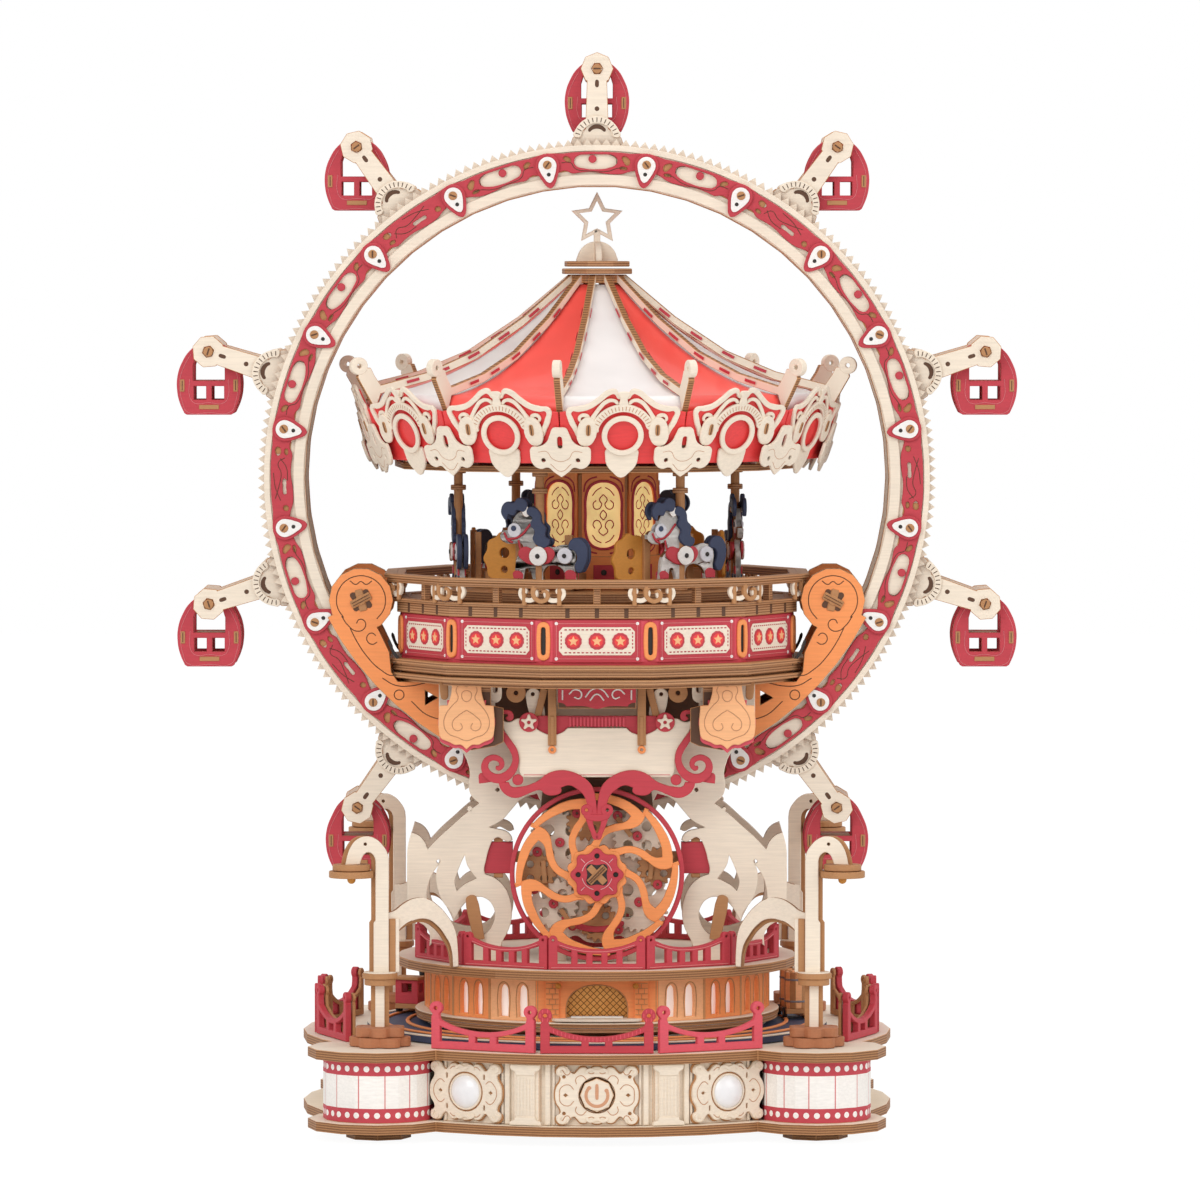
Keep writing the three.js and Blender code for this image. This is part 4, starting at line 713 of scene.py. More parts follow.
head, point = ringTrim["badgeHead"], ringTrim["badgePoint"]
badgeBack = sheetMesh(tearLoop(head, point), 1.0, crimsonPly)
badgeFace = sheetMesh(tearLoop(head - 0.95, point - 1.7), 0.5, whitePly, chamfer=0.08)
badgePin = sheetMesh(roundLoop(1.35, 0.3, 0, 12), 0.5, brownPly, edge=scorch)
badgeHole = sheetMesh(roundLoop(0.6, -2.7, 0, 10), 0.2, inkBlack, edge=None)
badgeSlot = blockMesh(0.5, 2.1, 0.3, scorch, 0.1)
badgeFront, badgeRadius = ringTrim["front"] - ringTrim["bandSheet"], ringTrim["badgeRadius"]
badgeAngles = [9 + 18 * k for k in sections]
gather("ringBadges", [(mesh, [onWheel(badgeFront - rise, a, badgeRadius) for a in badgeAngles]) for mesh, rise in (
    (badgeBack, 1.1), (badgeFace, 1.62), (badgePin, 1.9), (badgeHole, 1.75))] + [
    (badgeSlot, [onWheel(badgeFront - 2.0, a, badgeRadius + 0.3, 35 * a) for a in badgeAngles])], "ring_wheel")

armPin = pinMesh(ringTrim["pin"], 1.0, brownPly, 16)
armPinCut = blockMesh(0.45, 2.2, 0.2, scorch, 0.05)
armSlot = sheetMesh(pillLoop(1.2, 2.4), 0.2, scorch, edge=None)
armDot = sheetMesh(roundLoop(0.75, count=10), 0.2, scorch, edge=None)
footArch = sheetMesh(arcLine(7.4, range(-80, 81, 16)) + arcLine(5.2, range(80, -81, -16)), 0.8, creamPly)
footLines = lineMesh([[(5.6 * cos(radians(a)), 5.6 * sin(radians(a)), 1),
    (7.0 * cos(radians(a)), 7.0 * sin(radians(a)), 1)] for a in range(-72, 73, 12)], 0.25, scorch)
footGap = sheetMesh(strokeLoop(arcLine(2.9, range(-60, 61, 20), 1.3, 0), [0.6, 1.1, 1.3, 1.4, 1.3, 1.1, 0.6]),
    0.15, scorch, edge=None)
armAngles = [90 + 36 * k for k in range(ringTrim["armCount"])]
armFront, pivotRadius, footRadius = ringTrim["armFront"], ringTrim["pivotRadius"], ringTrim["footRadius"]
for side, half in (("Front", asIs), ("Rear", turned(180))):
    gather("armDetails" + side, [(mesh, [half @ onWheel(armFront - rise, a, reach, spin) for a in armAngles])
        for mesh, rise, reach, spin in (
        (armPin, 0.85, pivotRadius, 0), (armSlot, 0, pivotRadius - 4.6, 90), (armDot, 0, pivotRadius - 12.4, 0),
        (footArch, 0.85, footRadius, 0), (footLines, 0.9, footRadius, 0), (footGap, 0.1, footRadius, 0))] + [
        (armPinCut, [half @ onWheel(armFront - 0.95, a, pivotRadius, 40 * a) for a in armAngles])], "ring_wheel")

hoopSlats = blockMesh(2.2, 24, 1.0, brownPly, 0.2)
hoopPlaces = [ringHub @ turned(a, "Y") @ moved(0, 0, 94.4) for a in range(0, 360, 6)]
gather("ringHoopSlats", [(hoopSlats, hoopPlaces)], "ring_wheel")
print("ring wheel detailed")

# gondolas: two egg-shaped sheets, slats between them, tabs and seams

car = {
    "halfDepth": 9.5, "sheet": 2, "sideTab": 8.3, "sideTabDrop": 10.6, "floorTab": 6.2, "floorTabDrop": 17.3,
    "tabWidth": 1.4, "tabHeight": 3.8, "pin": 1.5, "pinHalf": 13.8,
}
carHalf = [(0, 2.6), (3.2, 2.1), (6.0, 0.2), (8.3, -3.2), (9.8, -7.6), (9.9, -12.4), (9.1, -16.0), (7.7, -19.2, 1),
    (6.9, -19.7, 1)]
carUpper = bothSides([(4.9, -9.1, 1), (4.9, -4.4, 1), (3.6, -1.0), (1.6, 0.9)])
carSheet = sheetMesh(bothSides(carHalf), car["sheet"], crimsonPly,
    [carUpper, boxLoop(3.8, 4.2, -2.8, -12.9), boxLoop(3.8, 4.2, 2.8, -12.9)])
sideTab = blockMesh(car["tabWidth"], car["tabHeight"], 0.5, brownPly, 0.12)
floorTab = blockMesh(car["floorTab"], car["tabWidth"], 0.5, brownPly, 0.12)
tabCut = blockMesh(0.3, car["tabHeight"] * 0.8, 0.12, scorch, 0.03)
carSeams = lineMesh([
    bothSides([(5.6, -0.9), (7.4, -4.0), (8.9, -8.0), (9.0, -12.2), (8.3, -15.6), (6.9, -18.7), (0, -19.0)]),
    bothSides([(6.0, -8.6, 1), (6.0, -14.0), (4.6, -16.0), (0, -15.9)])], 0.2, seamPaint)
slatDepth = 2 * (car["halfDepth"] - car["sheet"])
sideSlat = blockMesh(1.6, 6.5, slatDepth, brownPly, 0.15)
floorSlat = blockMesh(12.4, 1.8, slatDepth, crimsonAll, 0.15)
seatSlat = blockMesh(9.0, 1.2, slatDepth, brownPly, 0.15)
roofSlat = blockMesh(3.4, 1.4, slatDepth, crimsonAll, 0.15)
carPin = pinMesh(car["pin"], 2 * car["pinHalf"], brownPly, 14)
for k in range(ringTrim["armCount"]):
    angle = radians(90 + 36 * k)
    hang = moved(ringTrim["pivotRadius"] * cos(angle), 0, ringTrim["centre"] + ringTrim["pivotRadius"] * sin(angle))
    faces = [hang, hang @ turned(180)]
    inside = hang @ standing(-slatDepth / 2)
    gondola = gather(f"gondolaCar{k + 1}", [
        (carSheet, [f @ standing(-car["halfDepth"]) for f in faces]),
        (sideTab, [f @ standing(-car["halfDepth"] - 0.3, s * car["sideTab"], -car["sideTabDrop"]) for f in faces
            for s in (-1, 1)]),
        (tabCut, [f @ standing(-car["halfDepth"] - 0.33, s * car["sideTab"], -car["sideTabDrop"]) for f in faces
            for s in (-1, 1)]),
        (floorTab, [f @ standing(-car["halfDepth"] - 0.3, 0, -car["floorTabDrop"]) for f in faces]),
        (carSeams, [f @ standing(-car["halfDepth"] - 0.02) for f in faces]),
        (sideSlat, [inside @ moved(s * car["sideTab"], -car["sideTabDrop"], 0) for s in (-1, 1)]),
        (floorSlat, [inside @ moved(0, -car["floorTabDrop"], 0)]),
        (seatSlat, [inside @ moved(0, -9.9, 0)]),
        (roofSlat, [inside @ moved(s * 5.4, -1.1, 0) @ turned(-s * 42) for s in (-1, 1)]),
        (carPin, [hang @ standing(-car["pinHalf"])]),
    ], f"hanging_gondola_{k + 1}")
    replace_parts(gondola, f"gondola_{k + 1}")
print("gondolas made")

# tent: sheet cover, rib dashes, fretwork, shields, cap and star

tent = {
    "twist": 6.2, "gores": 12, "topRadius": 9, "topHeight": 261, "rimRadius": 71.6, "rimHeight": 227.4,
    "sag": 6.5, "goreSag": 0.9, "rings": 24, "valanceTop": 229, "valanceTopOut": 75.5, "valanceFoot": 206,
    "valanceFootOut": 67.5, "discHeight": 215.5, "knobOut": 79, "knobHeight": 236, "capTop": 268.3,
    "capLow": 266.0, "discFoot": 268.2, "starMiddle": 281.4, "stemMiddle": 275.2,
}
slope = (tent["valanceTopOut"] - tent["valanceFootOut"]) / (tent["valanceTop"] - tent["valanceFoot"])
valanceLean = atan2(tent["valanceTopOut"] - tent["valanceFootOut"],
    tent["valanceTop"] - tent["valanceFoot"]) * 180 / pi


def valanceOut(height):
    return tent["valanceFootOut"] + (height - tent["valanceFoot"]) * slope


def tentRadius(t):  # t runs from the cap to the rim
    return tent["topRadius"] + (tent["rimRadius"] - tent["topRadius"]) * t


def tentHeight(t, sagShare=1):
    sag = tent["sag"] * 4 * t * (1 - t) * sagShare
    return tent["topHeight"] + (tent["rimHeight"] - tent["topHeight"]) * t - sag


coverShape = bmesh.new()
profile = []
for k in range(tent["rings"] + 1):
    t = k / tent["rings"]
    profile.append(coverShape.verts.new((0, -tentRadius(t) * mm, tentHeight(t, 0.98) * mm)))
for radius, height in ((72.7, 225.4), (73.5, 222.6)):  # tucked down behind the valance
    profile.append(coverShape.verts.new((0, -radius * mm, height * mm)))
edges = [coverShape.edges.new(pair) for pair in zip(profile, profile[1:])]
bmesh.ops.spin(coverShape, geom=profile + edges, cent=(0, 0, 0), axis=(0, 0, 1), angle=2 * pi,
    steps=tent["gores"] * 8, use_merge=True)
bmesh.ops.remove_doubles(coverShape, verts=coverShape.verts, dist=0.00001)
halfGore = pi / tent["gores"]
for vert in coverShape.verts:  # flat gores between the ribs, each sagging a little
    turn = (atan2(vert.co.x, -vert.co.y) - radians(tent["twist"])) % (2 * halfGore)
    turn = turn if turn <= halfGore else turn - 2 * halfGore
    reach = hypot(vert.co.x, vert.co.y)
    flat = cos(halfGore) / cos(turn)
    middle = 1 - abs(turn) / halfGore
    along = min(max((reach / mm - tent["topRadius"]) / 62, 0), 1)
    vert.co.z -= tent["goreSag"] * mm * sin(pi * along) * sin(pi / 2 * middle)
    vert.co.x *= flat
    vert.co.y *= flat
bmesh.ops.recalc_face_normals(coverShape, faces=coverShape.faces)
for face in coverShape.faces:
    face.smooth = True
coverMesh = bpy.data.meshes.new("tentCover")
coverShape.to_mesh(coverMesh)
coverShape.free()
tentCover = addPiece("tentCover", coverMesh, "carousel", [tentSheet])
thick = tentCover.modifiers.new("thick", "SOLIDIFY")
thick.thickness, thick.offset = 0.5 * mm, -1
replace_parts(tentCover, "canopy_cover")

dashMesh = blockMesh(0.9, 4.2, 0.12, crimsonAll, 0.04)
ribPlaces = []
for k in range(tent["gores"]):
    for side in (-1, 1):
        for t in (0.2, 0.36, 0.52, 0.68, 0.84):
            fall = tent["rimHeight"] - tent["topHeight"] - tent["sag"] * 4 * (1 - 2 * t)
            lean = Matrix.Rotation(-atan2(fall, tent["rimRadius"] - tent["topRadius"]), 4, "X")
            spot = moved(side * 1.55, -tentRadius(t), tentHeight(t) + 2.2) @ lean
            ribPlaces.append(turned(tent["twist"] + 15 + 30 * k) @ spot @ turned(side * 90, "Y"))
gather("ribDashes", [(dashMesh, ribPlaces)], "carousel")

upperLeft = strokeLoop([(12.6, -0.2), (14.3, 2.2), (15.9, 5.2), (16.4, 8.2), (13.8, 8.6), (10.6, 9.4), (7.4, 11.6),
    (4.6, 13.9), (2.7, 14.2), (1.3, 12.6), (0, 13.4)], [1.5, 1.6, 1.7, 1.7, 1.7, 1.7, 1.7, 1.7, 1.6, 1.5, 1.6])
archBand = arcLine(10.1, range(8, 173, 11)) + arcLine(7.7, range(172, 7, -11))
archDots = lineMesh([[(8.2 * cos(radians(a)), 8.2 * sin(radians(a)), 1),
    (9.6 * cos(radians(a)), 9.6 * sin(radians(a)), 1)] for a in range(22, 160, 7)], 0.22, faintLine)
collar = washerMesh(6.4, 4.75, 0.9, creamAll, 28, 24)
stem = sheetMesh(bothSides([(1.2, 9.6), (1.1, 12.2), (1.8, 13.6), (0, 14.2)]), 0.8, creamAll)
upperCurl = sheetMesh(strokeLoop([(1.6, 10.3), (3.2, 11.4), (5.4, 10.9), (7.2, 9.0), (8.6, 6.9), (9.6, 5.0)],
    [0.5, 1.0, 1.2, 1.2, 1.2, 1.0]), 0.8, creamAll)
sideTabPlate = sheetMesh([(-2.2, 3.2), (-1.9, -3.2), (0.6, -4.6), (2.6, -3.4), (2.9, 1.6), (1.4, 4.2),
    (-0.8, 4.6)], 0.9, creamAll)
tabSlot = sheetMesh(pillLoop(1.3, 3.6), 0.3, brownAll, edge=None)
tabSlotCut = blockMesh(0.35, 3.0, 0.2, scorch, 0.05)
cornerHook = sheetMesh(strokeLoop([(10.4, 5.4), (11.6, 6.6), (13.2, 6.0), (13.0, 4.6)], [1.0, 1.2, 1.0, 0.6]), 0.8,
    creamAll)
leafTip = sheetMesh(bothSides([(0, -13.6), (2.6, -11.8), (4.4, -9.6), (5.0, -7.0), (4.6, -4.4), (0, -6.2)]), 0.9,
    creamAll)
frameStrip = sheetMesh(upperLeft, 1.0, creamAll)
discMesh = sheetMesh(roundLoop(5.2, count=24), 0.4, coralAll, edge=None)


def onValance(k, lift=0.0):  # on the leaning panel, x along the panel, origin at its disc
    return facing(tent["twist"] + 30 * k, valanceOut(tent["discHeight"]) + 0.9 + lift, tent["discHeight"],
        lean=valanceLean)


panels = range(tent["gores"])


def eachPanel(lift=0.0):
    return [onValance(k, lift) for k in panels]


def bothHands(lift=0.0, spot=asIs):  # left and right half of each panel
    return [onValance(k, lift) @ side @ spot for k in panels for side in (asIs, mirrorX)]


slotSpot = moved(10.6, 1.9, 0.3)
gather("valanceFretwork", [
    (frameStrip, bothHands()), (stem, eachPanel(0.7)), (upperCurl, bothHands(0.3)),
    (sheetMesh(archBand, 1.0, creamAll), eachPanel(0.6)), (archDots, eachPanel(0.62)), (cornerHook, bothHands()),
    (collar, eachPanel(1.2)), (leafTip, eachPanel(0.2)), (sideTabPlate, bothHands(0.9, moved(10.8, 1.2, 0))),
    (tabSlot, bothHands(0.9, slotSpot)), (tabSlotCut, bothHands(1.0, slotSpot)),
], "carousel")
backHalf = [(0, 12.9), (1.6, 13.3), (4.0, 13.6), (6.6, 11.6), (10.2, 9.1), (14.2, 8.4), (19.3, 7.6, 1),
    (18.8, 0.0), (18.2, -8.9, 1), (0, -9.1)]
backing = sheetMesh(bothSides(backHalf), 0.8, coralAll)
backPiece = gather("valanceBacking", [(backing, eachPanel(-0.9))], "carousel")
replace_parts(backPiece, "canopy_valance")
gather("valanceDiscs", [(discMesh, eachPanel(-0.45))], "carousel")

shieldLoop = bothSides([(0, 2.6), (2.0, 2.4), (2.9, 0.6), (4.2, -2.2), (6.6, -3.6), (8.9, -3.9), (9.3, -6.2),
    (8.6, -9.2), (6.4, -10.7), (3.9, -10.3), (2.4, -11.6), (0, -13.4, 1)])
shieldMesh = sheetMesh(shieldLoop, 1.0, creamAll, [pillLoop(1.5, 4.0, 0, -2.2), roundLoop(0.7, 5.3, -7.9, 8),
    roundLoop(0.7, -5.3, -7.9, 8)])
shieldBack = sheetMesh(boxLoop(14, 5, 0, -6), 0.3, scorch, edge=None)
shieldLines = lineMesh([bothSides([(6.8, -5.2), (4.2, -5.0), (2.6, -7.2), (0, -8.2)]),
    [(-3.2, -9.0), (0, -11.4), (3.2, -9.0)]], 0.16, faintLine)
cornerOut = valanceOut(tent["discHeight"] - 5) / cos(radians(15))
shieldPlaces = [facing(tent["twist"] + 15 + 30 * k, cornerOut + 3.1, tent["discHeight"], lean=valanceLean)
    for k in panels]
gather("cornerShields", [(shieldMesh, shieldPlaces), (shieldLines, shieldPlaces),
    (shieldBack, lifted(shieldPlaces, -1.1))], "carousel")

bladeKnob = washerMesh(2.7, 0.7, 2.4, creamAll, 18, 8)
knobSpot = moved(1.2, -tent["knobOut"], tent["knobHeight"]) @ turned(90, "Y")
knobPlaces = [turned(tent["twist"] + 15 + 30 * k) @ knobSpot for k in panels]
gather("bladeKnobs", [(bladeKnob, knobPlaces)], "carousel")

capPlate, capLower = [sheetMesh([(reach * cos(radians(22.5 + 45 * k)), reach * sin(radians(22.5 + 45 * k)), 1)
    for k in range(8)],
    1.7, brownPlate, soft=False) for reach in (10.6, 11.4)]
capSlot = blockMesh(1.6, 4.6, 0.3, scorch, 0.05)
gather("tentCapPlates", [(capPlate, [lying(tent["capTop"], spin=tent["twist"])]),
    (capLower, [lying(tent["capLow"], spin=tent["twist"])]),
    (capSlot, [moved(0, -1.15, 270.4) @ turned(90, "X")])], "carousel")
starMesh = sheetMesh(starLoop(8.4, 4.2, 5), 1.9, creamAll, [starLoop(5.9, 2.9, 5)], soft=False)
halfDisc = sheetMesh(arcLine(6.3, range(0, 181, 15)) + [(0, 0)], 1.9, creamAll)
halfTurn = turned(tent["twist"])
starPiece = gather("topStar", [(starMesh, [halfTurn @ standing(-0.95, 0, tent["starMiddle"])]),
    (halfDisc, [halfTurn @ turned(a) @ standing(-0.95, 0, tent["discFoot"]) for a in (0, 90)]),
    (blockMesh(1.9, 6.0, 1.9, creamAll, 0.1), [halfTurn @ standing(-0.95, 0, tent["stemMiddle"])])], "carousel")
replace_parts(starPiece, "star_finial")
print("tent detailed")

# middle column with its lit panels

columnTrim = {
    "apothem": 16.5, "faceOut": 17.7, "footOut": 19, "panelMiddle": 189.6, "footMiddle": 171.8,
    "barMiddle": 189.5,
}
barrelLoop = bothSides([(0, -10.2), (2.0, -9.9), (4.0, -8.6), (5.2, -5.6), (5.3, 0), (5.2, 5.6), (4.0, 8.6),
    (2.0, 9.9), (0, 10.2)])
ovalLit = sheetMesh(barrelLoop, 0.4, litSheet, edge=None)
ovalFrame = sheetMesh(boxLoop(13.4, 26.2), 0.8, orangeAll, [barrelLoop])
ovalRing = sheetMesh([(x * 1.13, y * 1.07) for x, y in barrelLoop], 0.5, crimsonAll,
    [[(x * 0.98, y * 0.99) for x, y in barrelLoop]])
ovalHalf = [[(0, 6.4), (1.2, 4.8), (0.5, 3.2), (2.2, 1.8), (3.2, 3.4), (2.2, 4.6)],
    [(0, -6.4), (1.4, -5.0), (0.6, -3.4), (2.0, -1.6), (3.2, -2.8), (2.6, -4.2)], [(0, 1.6), (1.0, 0), (0, -1.6)],
    [(0.6, 8.6), (2.2, 7.6), (3.4, 6.0)], [(0.6, -8.6), (2.2, -7.8), (3.4, -6.2)]]
ovalLines = lineMesh([[(s * x, y) for x, y in line] for line in ovalHalf for s in (-1, 1)], 0.34, crimsonAll)
cornerCurls = lineMesh([[(s * 6.1, t * 7.2), (s * 5.6, t * 9.8), (s * 4.2, t * 11.2), (s * 2.0, t * 11.9)]
    for s in (-1, 1) for t in (-1, 1)], 0.5, crimsonAll)
sideBar = blockMesh(1.3, 25.5, 1.6, brownAll, 0.15)
footPanel = blockMesh(6.4, 4.6, 0.5, crimsonAll, 0.1)
footDot = sheetMesh(roundLoop(0.9, count=10), 0.3, inkBlack, edge=None)
sideTurns = [tent["twist"] + 45 * k for k in range(8)]
faceOut, panelMiddle = columnTrim["faceOut"], columnTrim["panelMiddle"]
gather("columnPanels", [
    (ovalLit, around(sideTurns, faceOut + 0.45, panelMiddle)),
    (ovalFrame, around(sideTurns, faceOut + 0.9, panelMiddle)),
    (ovalRing, around(sideTurns, faceOut + 1.4, panelMiddle)),
    (cornerCurls, around(sideTurns, faceOut + 0.92, panelMiddle)),
    (ovalLines, around(sideTurns, faceOut + 0.5, panelMiddle)),
    (sideBar, [facing(t + 22.5, columnTrim["apothem"] / cos(radians(22.5)) + 0.9, columnTrim["barMiddle"])
        for t in sideTurns]),
    (footPanel, around(sideTurns, columnTrim["footOut"] + 0.5, columnTrim["footMiddle"])),
    (footDot, around(sideTurns, columnTrim["footOut"] + 0.75, columnTrim["footMiddle"])),
], "carousel")
print("column detailed")

# horses: layered sheets round a brown pole

horse = {"count": 6, "ring": 43.5, "floor": 168, "poleFoot": 166.8, "poleHead": 204, "pole": 1.4, "bodySheet": 1.8}
horseBody = [(-9.4, 17.4), (-8.9, 20.6), (-6.0, 23.6), (-2.4, 22.6), (-0.8, 18.0), (1.0, 14.2), (4.2, 12.6),
    (8.0, 13.4), (11.2, 12.6), (12.4, 10.0), (12.0, 6.6), (12.6, 3.4), (12.6, 0.6, 1), (9.2, 0.4, 1), (8.9, 4.0),
    (7.0, 6.4), (3.6, 6.9), (1.6, 5.4), (1.4, 2.6), (1.5, 0.4, 1), (-1.9, 0.2, 1), (-2.6, 4.0), (-4.0, 6.0),
    (-5.0, 3.6), (-5.4, 0.5, 1), (-8.6, 0.4, 1), (-8.2, 4.6), (-7.4, 9.4), (-5.4, 12.0), (-6.2, 13.6),
    (-9.0, 13.4), (-12.0, 14.0), (-13.2, 15.6), (-12.4, 17.2), (-11.0, 17.6)]
horseMane = [(-3.0, 24.8), (-0.6, 24.6), (1.0, 22.8), (1.4, 20.4), (2.8, 18.6), (2.6, 16.0), (4.2, 14.6),
    (2.6, 12.4), (0.4, 12.8), (-1.6, 15.0), (-1.0, 17.4), (-2.4, 19.4), (-1.8, 21.6), (-3.6, 22.8)]
horseForelock = [(-11.4, 21.4), (-12.2, 24.0), (-10.4, 26.4), (-8.0, 26.2), (-6.6, 27.6), (-4.0, 27.0),
    (-3.4, 25.2), (-4.6, 23.4), (-6.8, 23.8), (-8.0, 22.2), (-9.8, 22.4), (-10.4, 20.8)]
horseTail = [(10.4, 12.2), (11.0, 14.8), (13.6, 15.6), (15.9, 13.8), (16.6, 10.4), (15.8, 7.0), (13.8, 4.8),
    (12.4, 6.6), (13.2, 9.6), (12.2, 11.6)]
horseEar = [(-5.2, 22.8), (-4.4, 26.4, 1), (-2.8, 23.4), (-3.4, 21.8)]
horseSaddle = [(-6.6, 10.4), (-4.8, 12.6), (-1.6, 12.0), (1.8, 12.8), (5.4, 11.4), (4.8, 8.6), (2.0, 7.2),
    (-1.6, 7.0), (-4.8, 8.2)]
hoofs = (-8.7, -8.7, -5.3, -5.4), (9.1, 9.1, 12.7, 12.7), (-2.0, -2.0, 1.6, 1.5)
horseSheets = [
    (sheetMesh(horseBody, horse["bodySheet"], whitePly), 0.9),
    (sheetMesh(horseMane, 1.2, navyAll), 2.1), (sheetMesh(horseForelock, 1.2, navyAll), 2.2),
    (sheetMesh(horseTail, 1.4, navyAll), 1.7), (sheetMesh(horseEar, 0.8, whitePly), 2.0),
    (sheetMesh(horseSaddle, 0.9, crimsonAll), 1.9),
    (sheetMesh(roundLoop(3.0, 0.4, 9.8, 20), 0.8, whitePly), 2.7),
    (sheetMesh(roundLoop(2.5, 9.0, 10.0, 18), 0.8, greySheet), 1.8),
    (sheetMesh(roundLoop(2.2, -8.2, 17.6, 18), 0.3, greySheet, edge=None), 1.2),
    (sheetMesh(roundLoop(0.75, 0.4, 9.8, 10), 0.3, inkBlack, edge=None), 3.0),
    (sheetMesh(roundLoop(0.7, 9.0, 10.0, 10), 0.3, inkBlack, edge=None), 2.1),
    (sheetMesh(roundLoop(0.85, -8.3, 18.2, 12), 0.3, navyAll, edge=None), 1.5),
    (lineMesh([[(-11.6, 16.9), (-10.2, 14.6), (-8.6, 13.8)], [(-10.2, 14.8), (-6.6, 15.6), (-2.6, 19.6)],
        [(-6.8, 14.6), (-5.4, 11.4), (-1.4, 11.4)]], 0.8, crimsonAll), 1.15),
    (lineMesh([[(-6.6, 5.6), (-6.8, 2.6)], [(10.6, 5.6), (10.8, 2.6)], [(6.0, 7.0), (8.4, 7.6), (10.8, 7.2)],
        [(-4.8, 8.4), (-6.6, 9.4)]], 0.3, scorch), 1.0),
    (sheetMesh([(-8.5, 4.8), (-8.4, 2.7, 1), (-5.3, 2.7, 1), (-5.4, 4.4)], 0.4, crimsonAll, edge=None), 1.2),
    (sheetMesh([(9.1, 5.2), (9.1, 2.7, 1), (12.6, 2.7, 1), (12.4, 5.0)], 0.4, crimsonAll, edge=None), 1.2),
] + [(sheetMesh([(a, 2.6, 1), (b, 0.3, 1), (c, 0.3, 1), (d, 2.6, 1)], 0.4, navyAll, edge=None), 1.2)
    for a, b, c, d in hoofs]
ornament = sheetMesh([(6.4 * cos(radians(a)) * (1 + 0.12 * (k % 2)), 7.6 * sin(radians(a)) * (1 + 0.1 * (k % 2)))
    for k, a in enumerate(range(0, 360, 20))], 1.2, goldAll,
    [roundLoop(1.6, 0, 1.8, 12), roundLoop(1.1, 0, -3.4, 10)])
braceBar = blockMesh(2.4, 17, 1.8, brownPly, 0.15)
footBlock = blockMesh(3.4, 5, 7.4, brownPly, 0.2)
collarPin = pinMesh(2.4, 1.6, brownPlate, 16)
polePin = pinMesh(horse["pole"], horse["poleHead"] - horse["poleFoot"] - 0.2, brownAll, 14, chamfer=0)
for k in range(horse["count"]):
    turnPlace = turned(tent["twist"] + 60 * (k + 0.5))
    near = turnPlace @ moved(0, -horse["ring"], horse["floor"]) @ turned(90, "X")
    far = near @ Matrix.Scale(-1, 4, (0, 0, 1))
    groups = []
    for mesh, lift in horseSheets:
        above = moved(0, 0, lift)
        groups.append((mesh, [near @ above, far @ above]))
    hub = turnPlace @ moved(0, -horse["ring"], 0)
    groups += [
        (polePin, [hub @ moved(0, 0, horse["poleHead"] - 0.1)]),
        (collarPin, [hub @ moved(0, 0, z) for z in (203.8, 198.6, 168.5)]),
        (ornament, [hub @ moved(-14.6, 5.6, 176.5) @ turned(90, "X")]),
        (braceBar, [hub @ moved(x, 4.6, 175.6) @ turned(90, "X") for x in (-9.2, 7.4)]),
        (footBlock, [hub @ moved(x, 7.6, 169.6) @ turned(90, "X") for x in (-9.2, 7.4)]),
    ]
    rider = gather(f"horseFigure{k + 1}", groups, "carousel")
    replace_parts(rider, f"horse_{k + 1}")
print("horses made")

# stage: panels, medallions, slot trims, mouldings, balusters and handrail

stage = {
    "apothem": 60.7, "middle": 152.6, "sides": 12, "panelWidth": 27, "panelHeight": 13.2, "trimWidth": 5.6,
    "trimHeight": 12.8, "railOut": 66,
}
sideAngles = [30 * k for k in range(stage["sides"])]
cornerAngles = [15 + 30 * k for k in range(stage["sides"])]
panelEdge = boxLoop(stage["panelWidth"], stage["panelHeight"])
notched = bothSides([(10.4, -4.3, 1), (11.0, -3.6), (11.6, -3.0, 1), (11.6, 3.0, 1), (11.0, 3.6), (10.4, 4.3, 1)])
panelSheet = sheetMesh(panelEdge, 0.5, crimsonAll)
insetSheet = sheetMesh(notched, 0.25, creamAll, edge=crimsonAll, chamfer=0.08)
insetLines = lineMesh([[(x, y, 1), (x + 0.75, y, 1)] for y in (-3.5, 3.5)
    for x in [-9.9 + 1.3 * n for n in range(16)]] + [[(s * 10.9, -2.2 + 1.1 * n, 1), (s * 10.9, -1.6 + 1.1 * n, 1)]
    for s in (-1, 1) for n in range(5)], 0.35, crimsonAll)
borderLines = lineMesh([[(-12.4, -5.4, 1), (12.4, -5.4, 1), (12.4, 5.4, 1), (-12.4, 5.4, 1), (-12.4, -5.4, 1)]],
    0.25, roseLine)
medalRim = sheetMesh(wavyLoop(2.5, 2.625, 24), 0.2, crimsonAll, edge=None, chamfer=0.05)
medalFace = sheetMesh(roundLoop(1.85, count=16), 0.15, coralAll, edge=None, chamfer=0.04)
medalStar = sheetMesh(starLoop(1.6, 0.75, 5), 0.15, peachAll, edge=None, soft=False, chamfer=0.03)
trimPill = sheetMesh(pillLoop(stage["trimWidth"] * 0.7, stage["trimHeight"] - 1.0), 0.9, orangeAll,
    [pillLoop(1.5, 8.6)])
trimPlate = sheetMesh(boxLoop(stage["trimWidth"], stage["trimHeight"]), 0.5, roseAll)
trimDark = sheetMesh(pillLoop(1.6, 8.8), 0.1, inkBlack, edge=None)
out = stage["apothem"]
cornerReach = out / cos(radians(15))
gather("stagePanels", [(panelSheet, around(sideAngles, out + 0.55, stage["middle"])),
    (borderLines, around(sideAngles, out + 0.58, stage["middle"])),
    (insetSheet, around(sideAngles, out + 0.8, stage["middle"])),
    (insetLines, around(sideAngles, out + 0.82, stage["middle"]))], "base")
gather("stageMedallions", [(m, [facing(a, out + 0.8 + lift, stage["middle"], x) for a in sideAngles
    for x in (-7.2, 0, 7.2)]) for m, lift in ((medalRim, 0.2), (medalFace, 0.32), (medalStar, 0.45))], "base")
